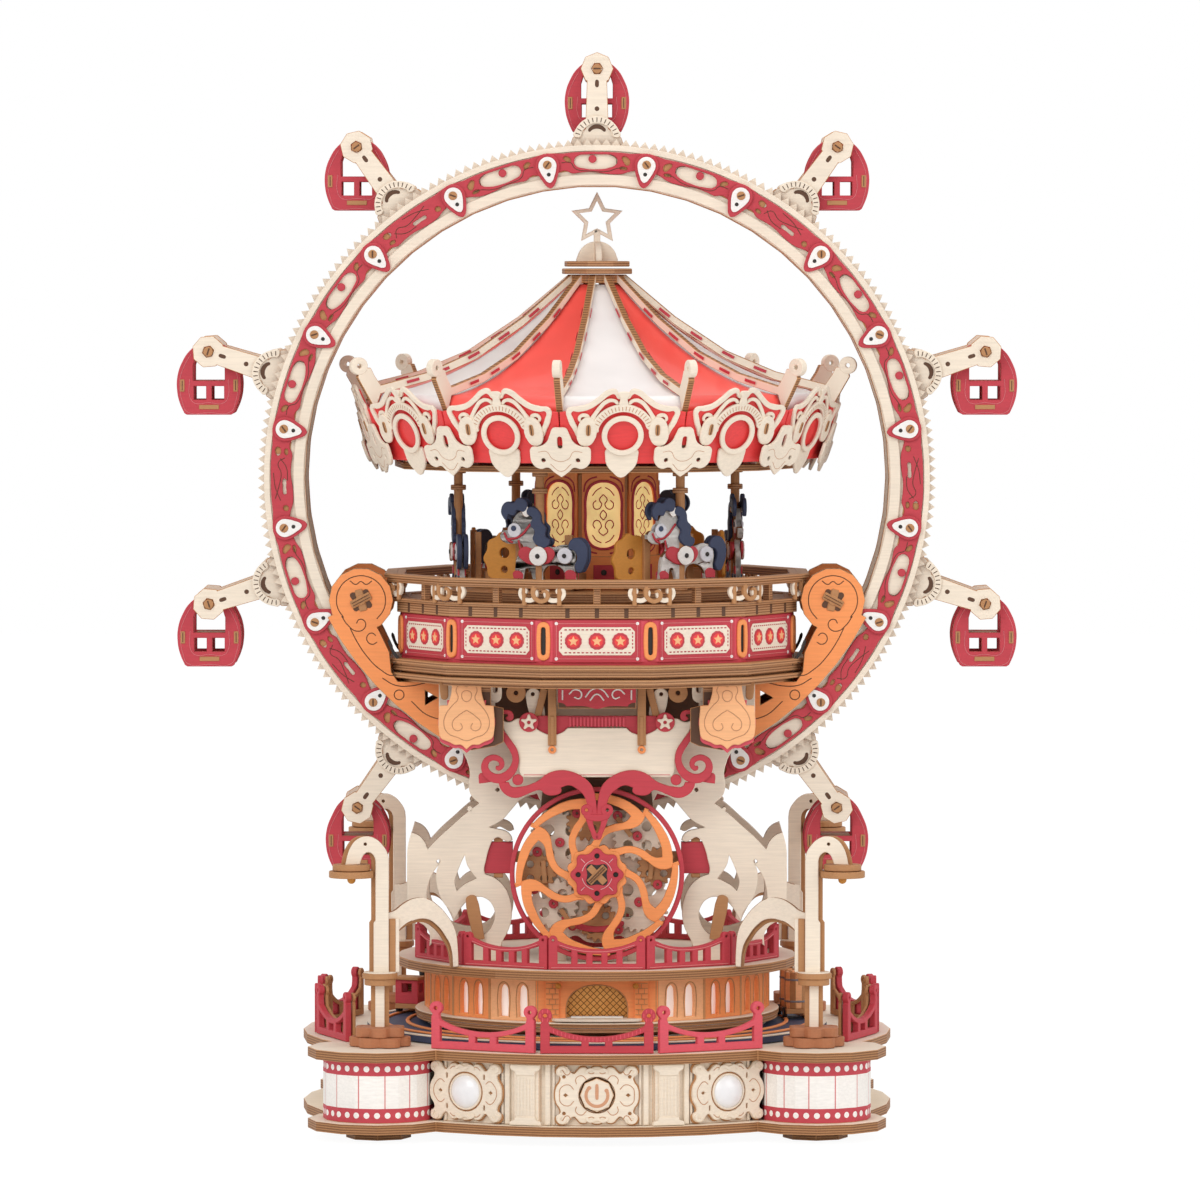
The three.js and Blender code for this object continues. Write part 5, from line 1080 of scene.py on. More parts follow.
gather("stageTrims", [(trimPlate, around(cornerAngles, cornerReach - 0.2, stage["middle"])),
    (trimPill, around(cornerAngles, cornerReach + 0.75, stage["middle"])),
    (trimDark, around(cornerAngles, cornerReach - 0.05, stage["middle"]))], "base")


def ringSheet(outerOut, innerOut, thickness, sides=12, turn=15):
    reach = 1 / cos(radians(180 / sides))
    turns = [radians(turn + 360 / sides * k) for k in range(sides)]
    loops = [[(r * reach * cos(t), r * reach * sin(t), 1) for t in turns] for r in (outerOut, innerOut)]
    return sheetMesh(loops[0], thickness, brownPlate, [loops[1]], soft=False)


railTop = ringSheet(stage["railOut"], 62.2, 1.3)
railLow = ringSheet(stage["railOut"] - 0.9, 62.8, 1.2)
mouldTop = ringSheet(63.6, 58.5, 1.1)
mouldLow = ringSheet(64.6, 58.5, 1.5)
stick = pinMesh(0.75, 5.4, brownAll, 10)
curl = sheetMesh(strokeLoop([(-2.2, 2.2), (-2.6, 0.6), (-1.4, -0.8), (0.6, -1.0), (2.4, -0.2), (2.9, 1.6),
    (1.9, 2.7), (0.8, 2.0), (1.2, 1.0)], [1.3, 1.3, 1.4, 1.4, 1.3, 1.2, 1.1, 0.9, 0.6]), 1.2, creamAll)
notch = blockMesh(1.3, 3.4, 0.5, scorch, 0.08)
darkCurl = sheetMesh(strokeLoop([(-1.6, 2.6), (-2.4, 0.4), (-1.2, -1.6), (0.9, -2.0), (2.3, -0.6), (1.7, 1.0),
    (0.5, 0.8)], [1.2, 1.3, 1.3, 1.3, 1.2, 1.0, 0.6]), 1.4, brownAll)
cornerDot = sheetMesh(roundLoop(0.5, count=8), 0.15, whiteAll, edge=None, chamfer=0.04)
gather("stageRail", [
    (railTop, [lying(171.5)]), (railLow, [lying(170.1)]), (mouldTop, [lying(163.9)]),
    (mouldLow, [lying(145.2), lying(140.8)]),
    (stick, [facing(a, 64.2, 168.9, x) @ turned(-90, "X") for a in sideAngles for x in (-11.5, 11.5)]),
    (curl, [facing(a, 64.6, 166.2, x) @ (asIs if x < 0 else mirrorX) for a in sideAngles for x in (-13.0, 13.0)]),
    (darkCurl, around(cornerAngles, 66.9, 167.0)), (cornerDot,
        [facing(a, out + 0.62, stage["middle"], x) @ moved(0, y, 0) for a in sideAngles for x in (-12.4, 12.4)
        for y in (-5.4, 5.4)]),
    (notch, [facing(a, 62.2, 161.4, x) for a in sideAngles for x in (-9, 0, 9)]),
], "base")
print("stage detailed")

# cradles: scroll lines and the cross pins of the guide rollers

support = {"rollerX": 73.185, "rollerZ": 163.307, "front": -21.5, "rear": 19.5}
pinBar = blockMesh(2.5, 6.9, 0.8, brownPly, 0.3)
pinSeams = lineMesh([[(x, -3.0, 1), (x, 3.0, 1)] for x in (-0.45, 0.45)], 0.22, scorch, lift=0.05)
pinShade = sheetMesh(wavyLoop(2.4, 3.9, 8, 14), 0.15, scorch, edge=None, chamfer=0.04)
cradleLines = lineMesh([arcLine(7.6, range(-50, 250, 25), -73.2, 0),
     [(-76.6, 6.0), (-74.8, 4.9), (-73.2, 5.8), (-71.6, 4.9), (-69.8, 6.0)],
     [(-79.2, -5.0), (-77.4, -7.6), (-74.6, -9.6), (-72.2, -8.8), (-72.0, -6.6), (-73.8, -6.0), (-74.6, -7.2)],
     [(-76.6, -8.6), (-74.6, -12.6), (-71.4, -17.4), (-67.4, -21.4), (-63.2, -23.4), (-60.6, -21.8),
         (-61.2, -19.4), (-63.2, -19.4)],
     [(-68.6, -11.0), (-69.8, -10.2), (-71.2, -11.0), (-71.2, -12.8), (-69.6, -13.7), (-68.2, -13.0)],
     [(-66.6, -24.2), (-62.6, -26.4), (-57.6, -26.6), (-53.0, -25.6)],
     arcLine(1.5, range(0, 361, 40), -61.4, -29.4),
     [(-57.6, -31.4), (-52.8, -35.6), (-46.0, -37.6)],
     [(-45.4, -28.6), (-39.4, -30.2), (-33.0, -29.4), (-28.4, -27.0)]], 0.3, scorch)
cradleSlots = sheetMesh(strokeLoop([(-64.6, -12.2), (-63.6, -15.2), (-61.6, -18.2), (-59.4, -20.4)],
    [0.4, 0.9, 0.9, 0.4]), 0.15, inkBlack, edge=None, chamfer=0.03)
cradleFace = standing(support["front"], 0, support["rollerZ"])
cradleBack = moved(0, support["rear"], support["rollerZ"]) @ turned(180) @ turned(90, "X")
cradleTrim = []
for place in (cradleFace, cradleBack):
    for side in (asIs, mirrorX):
        spot = place @ side
        cradleTrim.append((cradleLines, [spot]))
        cradleTrim.append((cradleSlots, [spot @ moved(0, 0, 0.1)]))
        hub = spot @ moved(-support["rollerX"], 0, 0)
        cradleTrim.append((pinShade, [hub @ moved(0, 0, 0.2)]))
        cradleTrim.append((pinBar, [hub @ moved(0, 0, lift) @ turned(a) for lift, a in ((0.5, 14), (0.8, -62))]))
        cradleTrim.append((pinSeams, [hub @ moved(0, 0, 1.2) @ turned(-62)]))
gather("cradleTrim", cradleTrim, "base")
print("cradles detailed")

# sign: bare plaque, scrolls, swags, pendant, rosettes, comb strip, red block

sign = {"plaqueFront": -37.2, "scrollFront": -38.4, "rodX": 13.8, "rosetteX": 21.0, "rosetteZ": 126.4}
sides = [asIs, mirrorX]
plaqueLoop = bothSides([(0, 124.6), (9.0, 124.6, 1), (10.5, 123.3), (12.2, 122.6, 1), (15.4, 122.6, 1),
    (18.0, 123.9), (21.0, 126.6), (24.3, 127.5), (27.2, 126.4), (29.4, 127.0, 1), (28.6, 124.0), (26.6, 120.8),
    (24.7, 117.6), (24.0, 114.5), (24.1, 112.0), (23.3, 109.4, 1), (0, 109.4)])
plaqueSheet = sheetMesh(plaqueLoop, 3.0, creamPly)
plaqueLine = lineMesh([[(-22.6, 110.1, 1), (22.6, 110.1, 1)]], 0.28, roseLine)
combStrip = sheetMesh(bothSides([(0, 128.3), (18.4, 128.3, 1), (18.8, 124.8), (16.6, 122.6), (11.0, 122.6),
    (9.0, 124.6), (0, 124.6)]), 1.0, crimsonPly)
combRidge = blockMesh(0.62, 3.1, 0.7, roseAll, 0.12)
hangingScroll = strokeLoop([(27.2, 127.3), (26.7, 128.9), (28.1, 129.6), (29.7, 128.9), (30.3, 127.2),
    (29.8, 124.4), (28.4, 121.9), (27.0, 119.8), (25.7, 117.7), (25.1, 115.6), (25.3, 113.4), (26.4, 111.2),
    (28.4, 109.5), (30.8, 109.0), (33.0, 109.8), (34.4, 111.6), (34.4, 113.8), (32.9, 115.3), (30.8, 115.3),
    (29.4, 114.0), (29.7, 112.5), (31.0, 112.2)], [2.0, 1.7, 1.3, 1.2, 1.3, 1.4, 1.9, 2.1, 2.2, 2.0, 2.2, 2.6, 2.9,
    2.9, 2.7, 2.4, 2.1, 1.9, 1.8, 1.7, 1.5, 1.3])
scrollSheet = sheetMesh(hangingScroll, 1.3, crimsonPly)
scrollLeaf = sheetMesh([(33.6, 109.6), (36.0, 110.6), (36.4, 107.4, 1), (33.4, 107.8), (31.4, 108.6)], 1.1,
    crimsonPly)
smallBall = sheetMesh(roundLoop(1.7, 24.4, 108.6, 16), 1.3, crimsonPly)
swagLoop = [(30.4, 108.0, 1), (27.2, 107.9, 1), (26.4, 106.6), (23.7, 106.5), (20.6, 107.2), (17.6, 108.7),
    (16.2, 109.9), (14.2, 111.0), (11.1, 111.6), (8.0, 111.2), (5.0, 109.9), (2.4, 107.9), (1.1, 105.8),
    (0.5, 103.4), (0.1, 100.4), (-0.1, 97.6, 1), (2.2, 98.0), (3.0, 100.8), (3.6, 102.8), (4.4, 104.2),
    (6.2, 105.8), (8.6, 106.9), (11.1, 106.2, 1), (11.0, 104.9), (13.3, 103.8), (16.0, 104.2), (17.4, 105.4),
    (19.0, 105.2), (21.8, 104.0), (25.0, 103.0), (27.8, 103.8), (29.7, 105.7)]
swagSheet = sheetMesh(swagLoop, 1.3, crimsonPly)
pendantCurl = sheetMesh(roundLoop(1.9, 3.1, 99.2, 18), 1.4, crimsonPly, [roundLoop(0.5, 3.2, 99.3, 8)])
pendantBar = sheetMesh(strokeLoop([(-3.9, 97.7), (-1.6, 97.0), (1.6, 97.0), (3.9, 97.7)], [0.9, 2.0, 2.0, 0.9]),
    1.3, crimsonPly)
pendantDrop = sheetMesh(strokeLoop([(2.3, 97.2), (2.0, 94.9), (1.2, 92.6), (0.2, 90.3)], [1.8, 1.7, 1.5, 1.1]),
    1.3, crimsonPly)
rosette = sheetMesh(roundLoop(3.0, count=22), 1.0, crimsonPly)
rosetteStar = sheetMesh(onRing([(90 + 36 * n, 2.5 if n % 2 == 0 else 1.35) for n in range(10)]), 0.8, creamAll,
    [roundLoop(0.55, count=8)])
rodDot = washerMesh(1.25, 0.45, 0.9, orangePly, 16, 8)
rodSheet = sheetMesh(boxLoop(2.6, 20.0), 2.2, brownPly, soft=False)
rodCore = sheetMesh(boxLoop(1.2, 9.0), 0.5, brownPly, soft=False)
redBlock = sheetMesh(bothSides([(0, 3.6), (9.4, 3.6, 1), (10.2, 2.6), (12.0, 2.4, 1), (12.0, -2.2, 1),
    (10.2, -2.6), (9.4, -3.4, 1), (3.4, -3.4), (0, -4.2)]), 2.0, crimsonPly)
blockScrolls = lineMesh(bothLines([[(-8.6, 0.4), (-6.8, 1.8), (-4.8, 0.8), (-5.4, -0.9), (-7.0, -0.5)],
    [(-10.6, -1.4, 1), (-10.6, 1.6, 1)]]) + [
    [(-3.6, -0.6), (-1.8, 1.6), (0, 2.2), (1.8, 1.6), (3.6, -0.6)], [(-2.2, -1.6), (0, 0.4), (2.2, -1.6)]], 0.5,
        whiteAll)
link = sheetMesh(pillLoop(4.0, 7.0), 1.2, creamPly, [pillLoop(1.5, 2.8, 0, 1.0)])
hook = sheetMesh(pillLoop(2.4, 8.4), 2.4, brownPly)
darkDisc = washerMesh(3.0, 0.7, 1.4, brownPly, 20, 10)
slantBar = blockMesh(2.2, 11.5, 1.6, brownPly, 0.15)
slantPlate = sheetMesh(pillLoop(4.6, 10.4), 1.0, creamPly,
    [roundLoop(0.6, 0, -3.4, 10), roundLoop(0.6, 0, 3.4, 10)])
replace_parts(gather("signScrolls", [
    (plaqueSheet, [standing(sign["plaqueFront"])]), (plaqueLine, [standing(sign["plaqueFront"] - 0.02)]),
    (combStrip, [standing(-36.3)]),
    (combRidge, [standing(-36.7, -8.25 + 1.1 * n, 126.4) for n in range(16)]),
    (scrollSheet, pair(sign["scrollFront"])), (scrollLeaf, pair(-37.4)), (smallBall, pair(-38.0)),
    (swagSheet, pair(-38.3)), (pendantCurl, pair(-38.5)), (pendantBar, [standing(-38.6)]),
    (pendantDrop, pair(-38.4)),
    (rodSheet, pair(-37.9, sign["rodX"], 129.2)), (rodCore, pair(-38.3, sign["rodX"], 123.8)),
    (rodDot, pair(-38.1, sign["rodX"], 117.9)),
    (rosette, pair(-38.0, sign["rosetteX"], sign["rosetteZ"])),
    (rosetteStar, pair(-38.7, sign["rosetteX"], sign["rosetteZ"])),
    (redBlock, [standing(-43.2, 0, 135.0)]), (blockScrolls, [standing(-43.22, 0, 135.0)]),
    (slantPlate, pair(-34.6, 19.0, 131.6, -14)), (slantBar, pair(-35.7, 17.6, 131.0, 14)),
    (link, pair(-38.6, 31.4, 136.0)), (darkDisc, pair(-37.2, 25.0, 135.4)),
    (hook, pair(-39.6, 34.6, 136.4, 16) + pair(-39.6, 47.2, 137.6, -4)),
], "base"), "sign_plaque")

# shields hung from the stage, with a rose lining that shows below

shieldHalf = [(0, 8.4), (4.5, 8.4, 1), (4.55, 5.5), (4.9, 3.3), (5.8, 0.5, 1), (8.3, 0.4, 1), (8.4, -0.6),
    (8.4, -8.3), (7.8, -9.7), (6.5, -10.4), (5.2, -10.9), (3.6, -11.7), (1.8, -11.7), (0, -13.1, 1)]
shieldFace = sheetMesh(bothSides(shieldHalf), 1.0, peachPly)
shieldLining = sheetMesh(bothSides([(0, 2.0), (6.0, 2.0, 1), (6.2, -1.0), (8.1, -2.0), (8.3, -9.0), (8.1, -10.6),
    (6.9, -11.5), (5.4, -12.0), (3.8, -12.8), (2.0, -12.8), (0, -14.3, 1)]), 0.9, roseAll)
shieldTrace = lineMesh([[(-4.6, 0.2), (-6.4, -2.4), (-7.0, -5.4), (-5.6, -8.2), (-2.8, -9.4), (0, -10.4),
    (2.8, -9.4), (5.6, -8.2), (7.0, -5.4), (6.4, -2.4), (4.6, 0.2), (2.6, 2.6), (3.2, 5.4), (1.6, 7.0), (0, 6.2),
    (-1.6, 7.0), (-3.2, 5.4), (-2.6, 2.6), (-4.6, 0.2)],
    [(-1.5, 4.0), (0, 1.6), (1.5, 4.0), (0, 5.0), (-1.5, 4.0)]]
    + bothLines([[(0, -1.0), (-2.4, -2.6), (-4.4, -5.0), (-3.4, -7.2), (-1.4, -6.6), (-1.8, -5.0)]]), 0.26,
    faintLine)
shadowPlate = sheetMesh([(-17.5, 98.5), (17.5, 98.5), (16.5, 108.4), (-16.5, 108.4)], 0.8, scorch, edge=None,
    soft=False)
sideShade = sheetMesh([(13.5, 121), (31.5, 121), (31.5, 138), (13.5, 138)], 0.4, scorch, edge=None, soft=False)
gather("signShadow", [(shadowPlate, [standing(-27.4)]), (sideShade, pair(-25.0))], "base")
gather("hangingShields", [
    (shieldLining, pair(-43.0, 40.1, 131.5)), (shieldFace, pair(-44.0, 40.1, 131.5)),
    (shieldTrace, pair(-44.02, 40.1, 131.5)),
], "base")
print("sign detailed")

# spiral wheel with eight hooks, and the gears, posts and blocks between it and the frame

spiral = {"axis": 78.925, "hooks": 8, "tip": 143, "front": -32.4, "rimOut": 27.0, "rimIn": 25.5, "stretch": 1.045}
hookOuter = [(36, 7.7), (29.5, 10.0), (23, 12.1), (7.5, 15.1), (-2.3, 18.0), (-3.8, 20.6), (-1.8, 22.4),
    (2.2, 22.8), (6.2, 23.1), (16.2, 23.6), (25.8, 23.8), (36.3, 24.0), (45.1, 24.3, 1)]
hookInner = [(44, 22.5, 1), (41.5, 22.3), (32.9, 21.7), (23.6, 21.1), (14.4, 20.7), (6.8, 20.0, 1), (8.1, 18.0),
    (20, 15.4), (33.7, 12.65), (46.3, 9.35), (56.6, 8.06)]
hookSheet = sheetMesh(onRing(hookOuter + hookInner), 2.2, orangePly)
hookLink = sheetMesh(onRing([(41.4, 21.0, 1), (44.4, 21.2, 1), (46.4, 24.3, 1), (43.4, 24.6, 1)]), 1.6, orangePly,
    soft=False)
rimSheet = washerMesh(spiral["rimOut"], spiral["rimIn"], 2.0, crimsonPly)
hubDisc = sheetMesh(wavyLoop(8.5, 9.4, 24), 3.4, orangePly)
hubFlower = sheetMesh(wavyLoop(8.3, 6.9, 16), 1.1, crimsonPly,
    [roundLoop(0.8, x, z, 10) for x, z in arcLine(5.8, (0, 90, 180, 270))])
hubLines = lineMesh([[(5.3 * cos(radians(a)), 5.3 * sin(radians(a)), 1),
    (7.0 * cos(radians(a)), 7.0 * sin(radians(a)), 1)] for a in (45, 135, 225, 315)]
    + [[(4.7 * cos(radians(a + t)), 4.7 * sin(radians(a + t))) for t in (14, 30, 45, 60, 76)]
    for a in (0, 90, 180, 270)], 0.22, paleRose)
hubBar = blockMesh(2.1, 7.0, 0.9, brownPly, 0.12)
hubSeam = blockMesh(0.3, 6.6, 0.1, scorch, 0.03)
hubHoles = sheetMesh(roundLoop(6.6, count=24), 0.2, inkBlack, edge=None, chamfer=0.05)
hubDark = sheetMesh(wavyLoop(3.0, 4.2, 8), 0.3, inkBlack, edge=None, chamfer=0.05)
axisPlace = moved(0, 0, spiral["axis"])


def onAxis(front, x=0, z=0, spin=0):
    return axisPlace @ standing(front, x, z, spin)


hookScale = Matrix.Diagonal((spiral["stretch"], spiral["stretch"], 1, 1))
hookPlaces = [onAxis(spiral["front"], 0, 0, spiral["tip"] + 45 * k) @ hookScale for k in range(spiral["hooks"])]
wheelPiece = gather("spiralHooks", [
    (hookSheet, hookPlaces), (hookLink, lifted(hookPlaces, -0.2)), (rimSheet, [onAxis(-31.2)]),
    (hubDark, [onAxis(-34.1)]),
    (hubDisc, [onAxis(-32.9)]), (hubHoles, [onAxis(-33.05)]), (hubFlower, [onAxis(-34.0)]),
    (hubLines, [onAxis(-34.02)]),
    (hubBar, [onAxis(f, 0, 0, a) for f, a in ((-34.4, 45), (-34.7, -45))]),
    (hubSeam, [onAxis(-35.15, 0, 0, -45) @ moved(x, 0, 0) for x in (-0.35, 0.35)]),
    (pinMesh(3.6, 6.4, orangeAll, 20), [onAxis(-29.4)]),
], "drive")
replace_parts(wheelPiece, "spiral_wheel")

cogRadii = {"large": 9.2, "middle": 7.4, "small": 5.6}


def cogSheet(radius, teeth, face):
    outline = []
    for n in range(teeth):
        for step, reach in ((0.0, -0.5), (0.3, 0.55), (0.55, 0.55), (0.85, -0.5)):
            angle = 2 * pi * (n + step) / teeth
            outline.append(((radius + reach) * cos(angle), (radius + reach) * sin(angle), 1))
    return sheetMesh(outline, 1.1, face, [roundLoop(radius * 0.2, x, z, 10)
        for x, z in arcLine(radius * 0.55, (45, 135, 225, 315))], steps=2)


largeCog, middleCog = cogSheet(cogRadii["large"], 26, creamPly), cogSheet(cogRadii["middle"], 20, creamPly)
smallCog = cogSheet(cogRadii["small"], 16, brownPly)
redDot = washerMesh(1.5, 0.4, 0.8, crimsonPly, 14, 8)
longPost = blockMesh(1.5, 7.2, 1.3, brownPly, 0.12)
redArc = sheetMesh(strokeLoop(arcLine(17.5, range(232, 309, 11)), [1.0, 1.7, 1.9, 1.9, 1.9, 1.7, 1.0]), 0.9,
    crimsonPly)
sideBlock = sheetMesh([(-4.5, -4.9, 1), (4.5, -4.9, 1), (4.5, 4.9, 1), (-4.5, 4.9, 1)], 3.4, crimsonPly, soft=False)
blockTenon = blockMesh(2.8, 1.5, 1.6, brownPly, 0.12)
blockTie = blockMesh(17, 3.4, 1.6, brownPly, 0.15)
cogSpots = [(largeCog, -25.9, -11.5, 9.5), (middleCog, -26.0, 12.5, 11.5), (largeCog, -25.9, 13.0, -9.0),
    (middleCog, -26.0, -13.5, -9.5), (smallCog, -26.6, 0.5, -15.5), (smallCog, -26.6, -3.5, 16.0),
    (smallCog, -26.7, 18.5, 2.0), (smallCog, -26.7, -18.5, 0.5)]
gather("cogsBehindWheel", [(mesh, [onAxis(front, x, z)]) for mesh, front, x, z in cogSpots] + [
    (redDot, [onAxis(-27.6, x, z) for x, z in ((-11.5, 9.5), (-18.5, 6.6), (-6.2, 18.6), (12.5, 11.5), (6.4, 17.8),
        (18.8, -3.6), (13.0, -9.0), (6.6, -17.6), (-13.5, -9.5), (-7.6, -16.4), (-19.4, -5.0))]),
    (longPost, [onAxis(-27.8, x, z, s) for x, z, s in ((-16.4, 0.4, 4), (16.8, 1.6, -6), (8.4, 14.4, 38),
        (-9.2, -14.2, 34))]),
    (redArc, [onAxis(-27.2)]),
    (sideBlock, pair(-23.4, 30.6, 83.4)), (blockTenon,
        [s @ standing(-23.0, 30.6, z) for s in sides for z in (88.9, 77.9)]),
    (blockTie, pair(-19.8, 27.4, 83.4)),
], "base")
print("spiral wheel made")

# front and rear frames: horns, leaf tips, curls and the bearing disc, in one carved sheet each

frameRight = [(0, 138, 1), (49, 138, 1), (49, 125, 1), (45.4, 123.8), (42.8, 118.6), (40.4, 114.0, 1),
    (39.4, 110.0), (39.8, 105.8), (39.0, 102.8), (36.5, 100.4, 1), (41.2, 96.8), (45.2, 93.2), (49.1, 89.7),
    (52.5, 86.1, 1), (53.5, 88.4), (55.2, 90.3), (57.6, 91.4, 1), (58.7, 87.0), (58.9, 82.0), (58.9, 74.0),
    (58.6, 68.4), (57.0, 64.7), (53.6, 62.4, 1), (52.0, 60.0), (52.0, 56.0, 1), (50.4, 57.2), (47.6, 57.4),
    (45.4, 55.6), (44.8, 51.5, 1), (30.0, 51.5, 1), (29.9, 55.4), (29.1, 57.9), (27.8, 60.2), (26.8, 63.0),
    (26.4, 66.9), (26.9, 70.3), (28.2, 73.6), (30.2, 76.0), (32.4, 77.5), (34.7, 78.3, 1), (35.0, 79.6),
    (34.4, 82.8), (33.6, 86.0), (32.5, 88.8, 1), (30.8, 89.8), (29.2, 89.1), (27.7, 88.4), (26.2, 88.9, 1),
    (26.7, 90.3), (28.3, 91.7), (30.6, 92.3), (33.4, 92.9, 1), (29.4, 95.2), (26.6, 98.3), (23.1, 101.9),
    (18.6, 103.4, 1), (16.4, 97.6), (17.0, 94.6), (20.0, 89.6), (21.8, 84.4), (22.3, 78.9), (20.6, 74.4),
    (17.4, 72.6), (17.2, 69.2), (16.6, 64.0), (15.4, 60.0), (15.0, 51.5, 1), (9.4, 51.5, 1), (9.2, 57.6),
    (6.8, 59.2), (3.4, 57.4), (0, 56.9)]
frameLoop = frameRight + bothLines([frameRight])[1][-2:0:-1]
hornGap = [(49.2, 81.1, 1), (50.4, 79.5), (51.8, 76.6), (52.6, 73.4), (52.8, 70.2), (52.2, 66.6), (50.2, 63.0),
    (46.8, 60.3), (43.0, 58.8), (39.8, 58.3), (36.6, 58.9), (33.9, 60.5), (32.3, 62.9), (31.7, 65.7), (32.2, 68.2),
    (34.2, 70.6), (37.0, 71.3), (39.9, 70.2), (42.2, 67.8), (43.5, 65.6), (44.5, 63.9, 1), (45.2, 66.1),
    (46.2, 67.6), (47.9, 69.9), (49.2, 72.6), (49.9, 75.8), (49.9, 78.6)]
bandGap = [(41.0, 84.3, 1), (42.3, 81.5), (43.5, 78.3), (44.1, 75.8), (43.4, 73.1, 1), (41.9, 74.6), (39.9, 75.8),
    (37.4, 77.0, 1), (39.0, 79.1), (40.4, 81.5)]
frameHoles = bothLines([hornGap, bandGap]) + [roundLoop(0.6, s * x, z, 8) for s in (1, -1)
    for x, z in ((49.2, 82.3), (56.2, 69.2), (39.4, 98.6), (30.8, 104.6))]
frameHoles += [roundLoop(3.6, count=20, y=spiral["axis"])] + [roundLoop(r, x, spiral["axis"] + z, 18)
    for r, x, z in ((4.4, -10.6, 9.4), (4.4, 10.6, 9.4), (3.6, -9.2, -10.4), (3.6, 9.2, -10.4), (2.6, 0, -16.4),
    (3.0, 0, 14.2))]
frameSheet = sheetMesh(frameLoop, 2.9, creamPly, frameHoles, chamfer=0.2)
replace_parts(gather("frontHorns", [(frameSheet, [standing(-24.45)])], "base"), "front_frame")
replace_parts(gather("rearHorns", [(frameSheet, [standing(19.55)])], "base"), "rear_frame")

# struts on the front frame

strutSheet = sheetMesh(bothSides([(1.7, -6.6, 1), (1.7, 6.4), (1.0, 7.2)]), 2.4, brownPly)
gather("frameStruts", [(strutSheet, pair(-26.6, 37.8, 64.6, -11))], "base")
print("frames carved")

# bowed front: lens and power ornaments, pilasters, frame strips

bowed = {"bow": 79, "middle": 15.5, "lensTurn": 30, "pilasterTurn": 15.5}
ornamentQuarter = [(0, 8.7), (1.4, 8.4), (2.2, 7.6), (3.4, 8.4), (5.0, 8.3), (6.0, 7.3), (7.0, 6.5), (8.1, 7.2),
    (9.0, 8.5), (10.7, 8.9), (12.1, 8.0), (12.3, 6.4), (11.1, 5.4), (11.2, 4.2), (12.3, 2.4), (12.7, 0)]
ornamentLoop = ornamentQuarter + [(x, -y) for x, y in reversed(ornamentQuarter[:-1])] + [(-x, -y)
    for x, y in ornamentQuarter[1:]] + [(-x, y) for x, y in reversed(ornamentQuarter[1:-1])]
rhomb = [(-0.75, 0, 1), (0, -0.62, 1), (0.75, 0, 1), (0, 0.62, 1)]


def rhombAt(x, y):
    return [(x + a, y + b, c) for a, b, c in rhomb]


sideSlots = [pillLoop(0.6, 1.7, s * 6.6, t * 4.7) for s in (1, -1) for t in (1, -1)]
lensPlate = sheetMesh(ornamentLoop, 1.3, creamAll, [roundLoop(6.1, count=28), rhombAt(8.9, 0), rhombAt(-8.9, 0)]
    + sideSlots)
toothedRim = sheetMesh(wavyLoop(5.8, 6.3, 40), 0.8, brownAll, [roundLoop(5.2, count=28)])
lensRing = washerMesh(5.6, 5.0, 1.0, creamAll, 32, 28)
lensDome = ballMesh(5.25, lensGlass, 12)
lensSpots = [facing(s * bowed["lensTurn"], bowed["bow"] + 1.4, bowed["middle"]) for s in (-1, 1)]
cornerShell = sheetMesh(strokeLoop([(9.4, 7.4), (10.6, 8.3), (11.7, 7.3), (10.9, 6.4)], [0.5, 0.9, 0.9, 0.5]), 0.5,
    creamAll, chamfer=0.1)
topShell = sheetMesh(strokeLoop([(-3.4, 7.0), (-1.8, 7.9), (0, 7.2), (1.8, 7.9), (3.4, 7.0)],
    [0.5, 0.9, 1.1, 0.9, 0.5]), 0.5, creamAll, chamfer=0.1)
fourWays = [asIs, mirrorX, mirrorY, turned(180)]
liftOut = moved(0, 0, 0.45)
lensLines = lineMesh([[(7.3, 2.6), (8.7, 3.5), (10.3, 2.4), (11.2, 0), (10.3, -2.4), (8.7, -3.5), (7.3, -2.6)],
    [(2.6, 7.1), (4.0, 7.6), (5.4, 6.7)], [(2.6, -7.1), (4.0, -7.6), (5.4, -6.7)]], 0.24, faintLine)
ornamentBack = sheetMesh([(x * 1.035, y * 1.05) for x, y in ornamentLoop], 0.7, brownAll,
    [roundLoop(5.4, count=20)])
gather("lensOrnaments", [
    (lensPlate, lensSpots), (ornamentBack, lifted(lensSpots, -0.9)), (toothedRim, lifted(lensSpots, -0.5)),
    (lensRing, lifted(lensSpots, 0.1)),
    (lensDome, [p @ moved(0, 0, -0.9) @ Matrix.Scale(0.5, 4, (0, 0, 1)) for p in lensSpots]),
    (cornerShell, [p @ liftOut @ w for p in lensSpots for w in fourWays]),
    (topShell, [p @ liftOut @ w for p in lensSpots for w in (fourWays[0], fourWays[2])]),
    (lensLines, [p @ moved(0, 0, 0.02) @ w for p in lensSpots for w in fourWays[:2]]),
    (pinMesh(5.9, 1.6, darkInside, 24), lifted(lensSpots, -1.5)),
], "base")
powerPlate = sheetMesh(ornamentLoop, 1.2, creamAll, [roundLoop(5.6, count=30), rhombAt(9.5, 0), rhombAt(-9.5, 0)]
    + [roundLoop(0.55, s * 10.0, t * 5.6, 10) for s in (1, -1) for t in (1, -1)])
powerSpot = facing(0, bowed["bow"] + 1.3, bowed["middle"])
powerTrace = [[(3.2, 4.8), (4.6, 6.0), (6.4, 5.0), (6.2, 3.4)], [(7.0, 1.8), (8.6, 3.2), (11.0, 2.2), (11.4, 0)],
    [(0, 7.6), (1.6, 6.6), (3.4, 7.4)], [(7.8, 7.4), (9.0, 6.2), (10.6, 7.8)]]
powerLines = lineMesh(powerTrace, 0.24, faintLine)
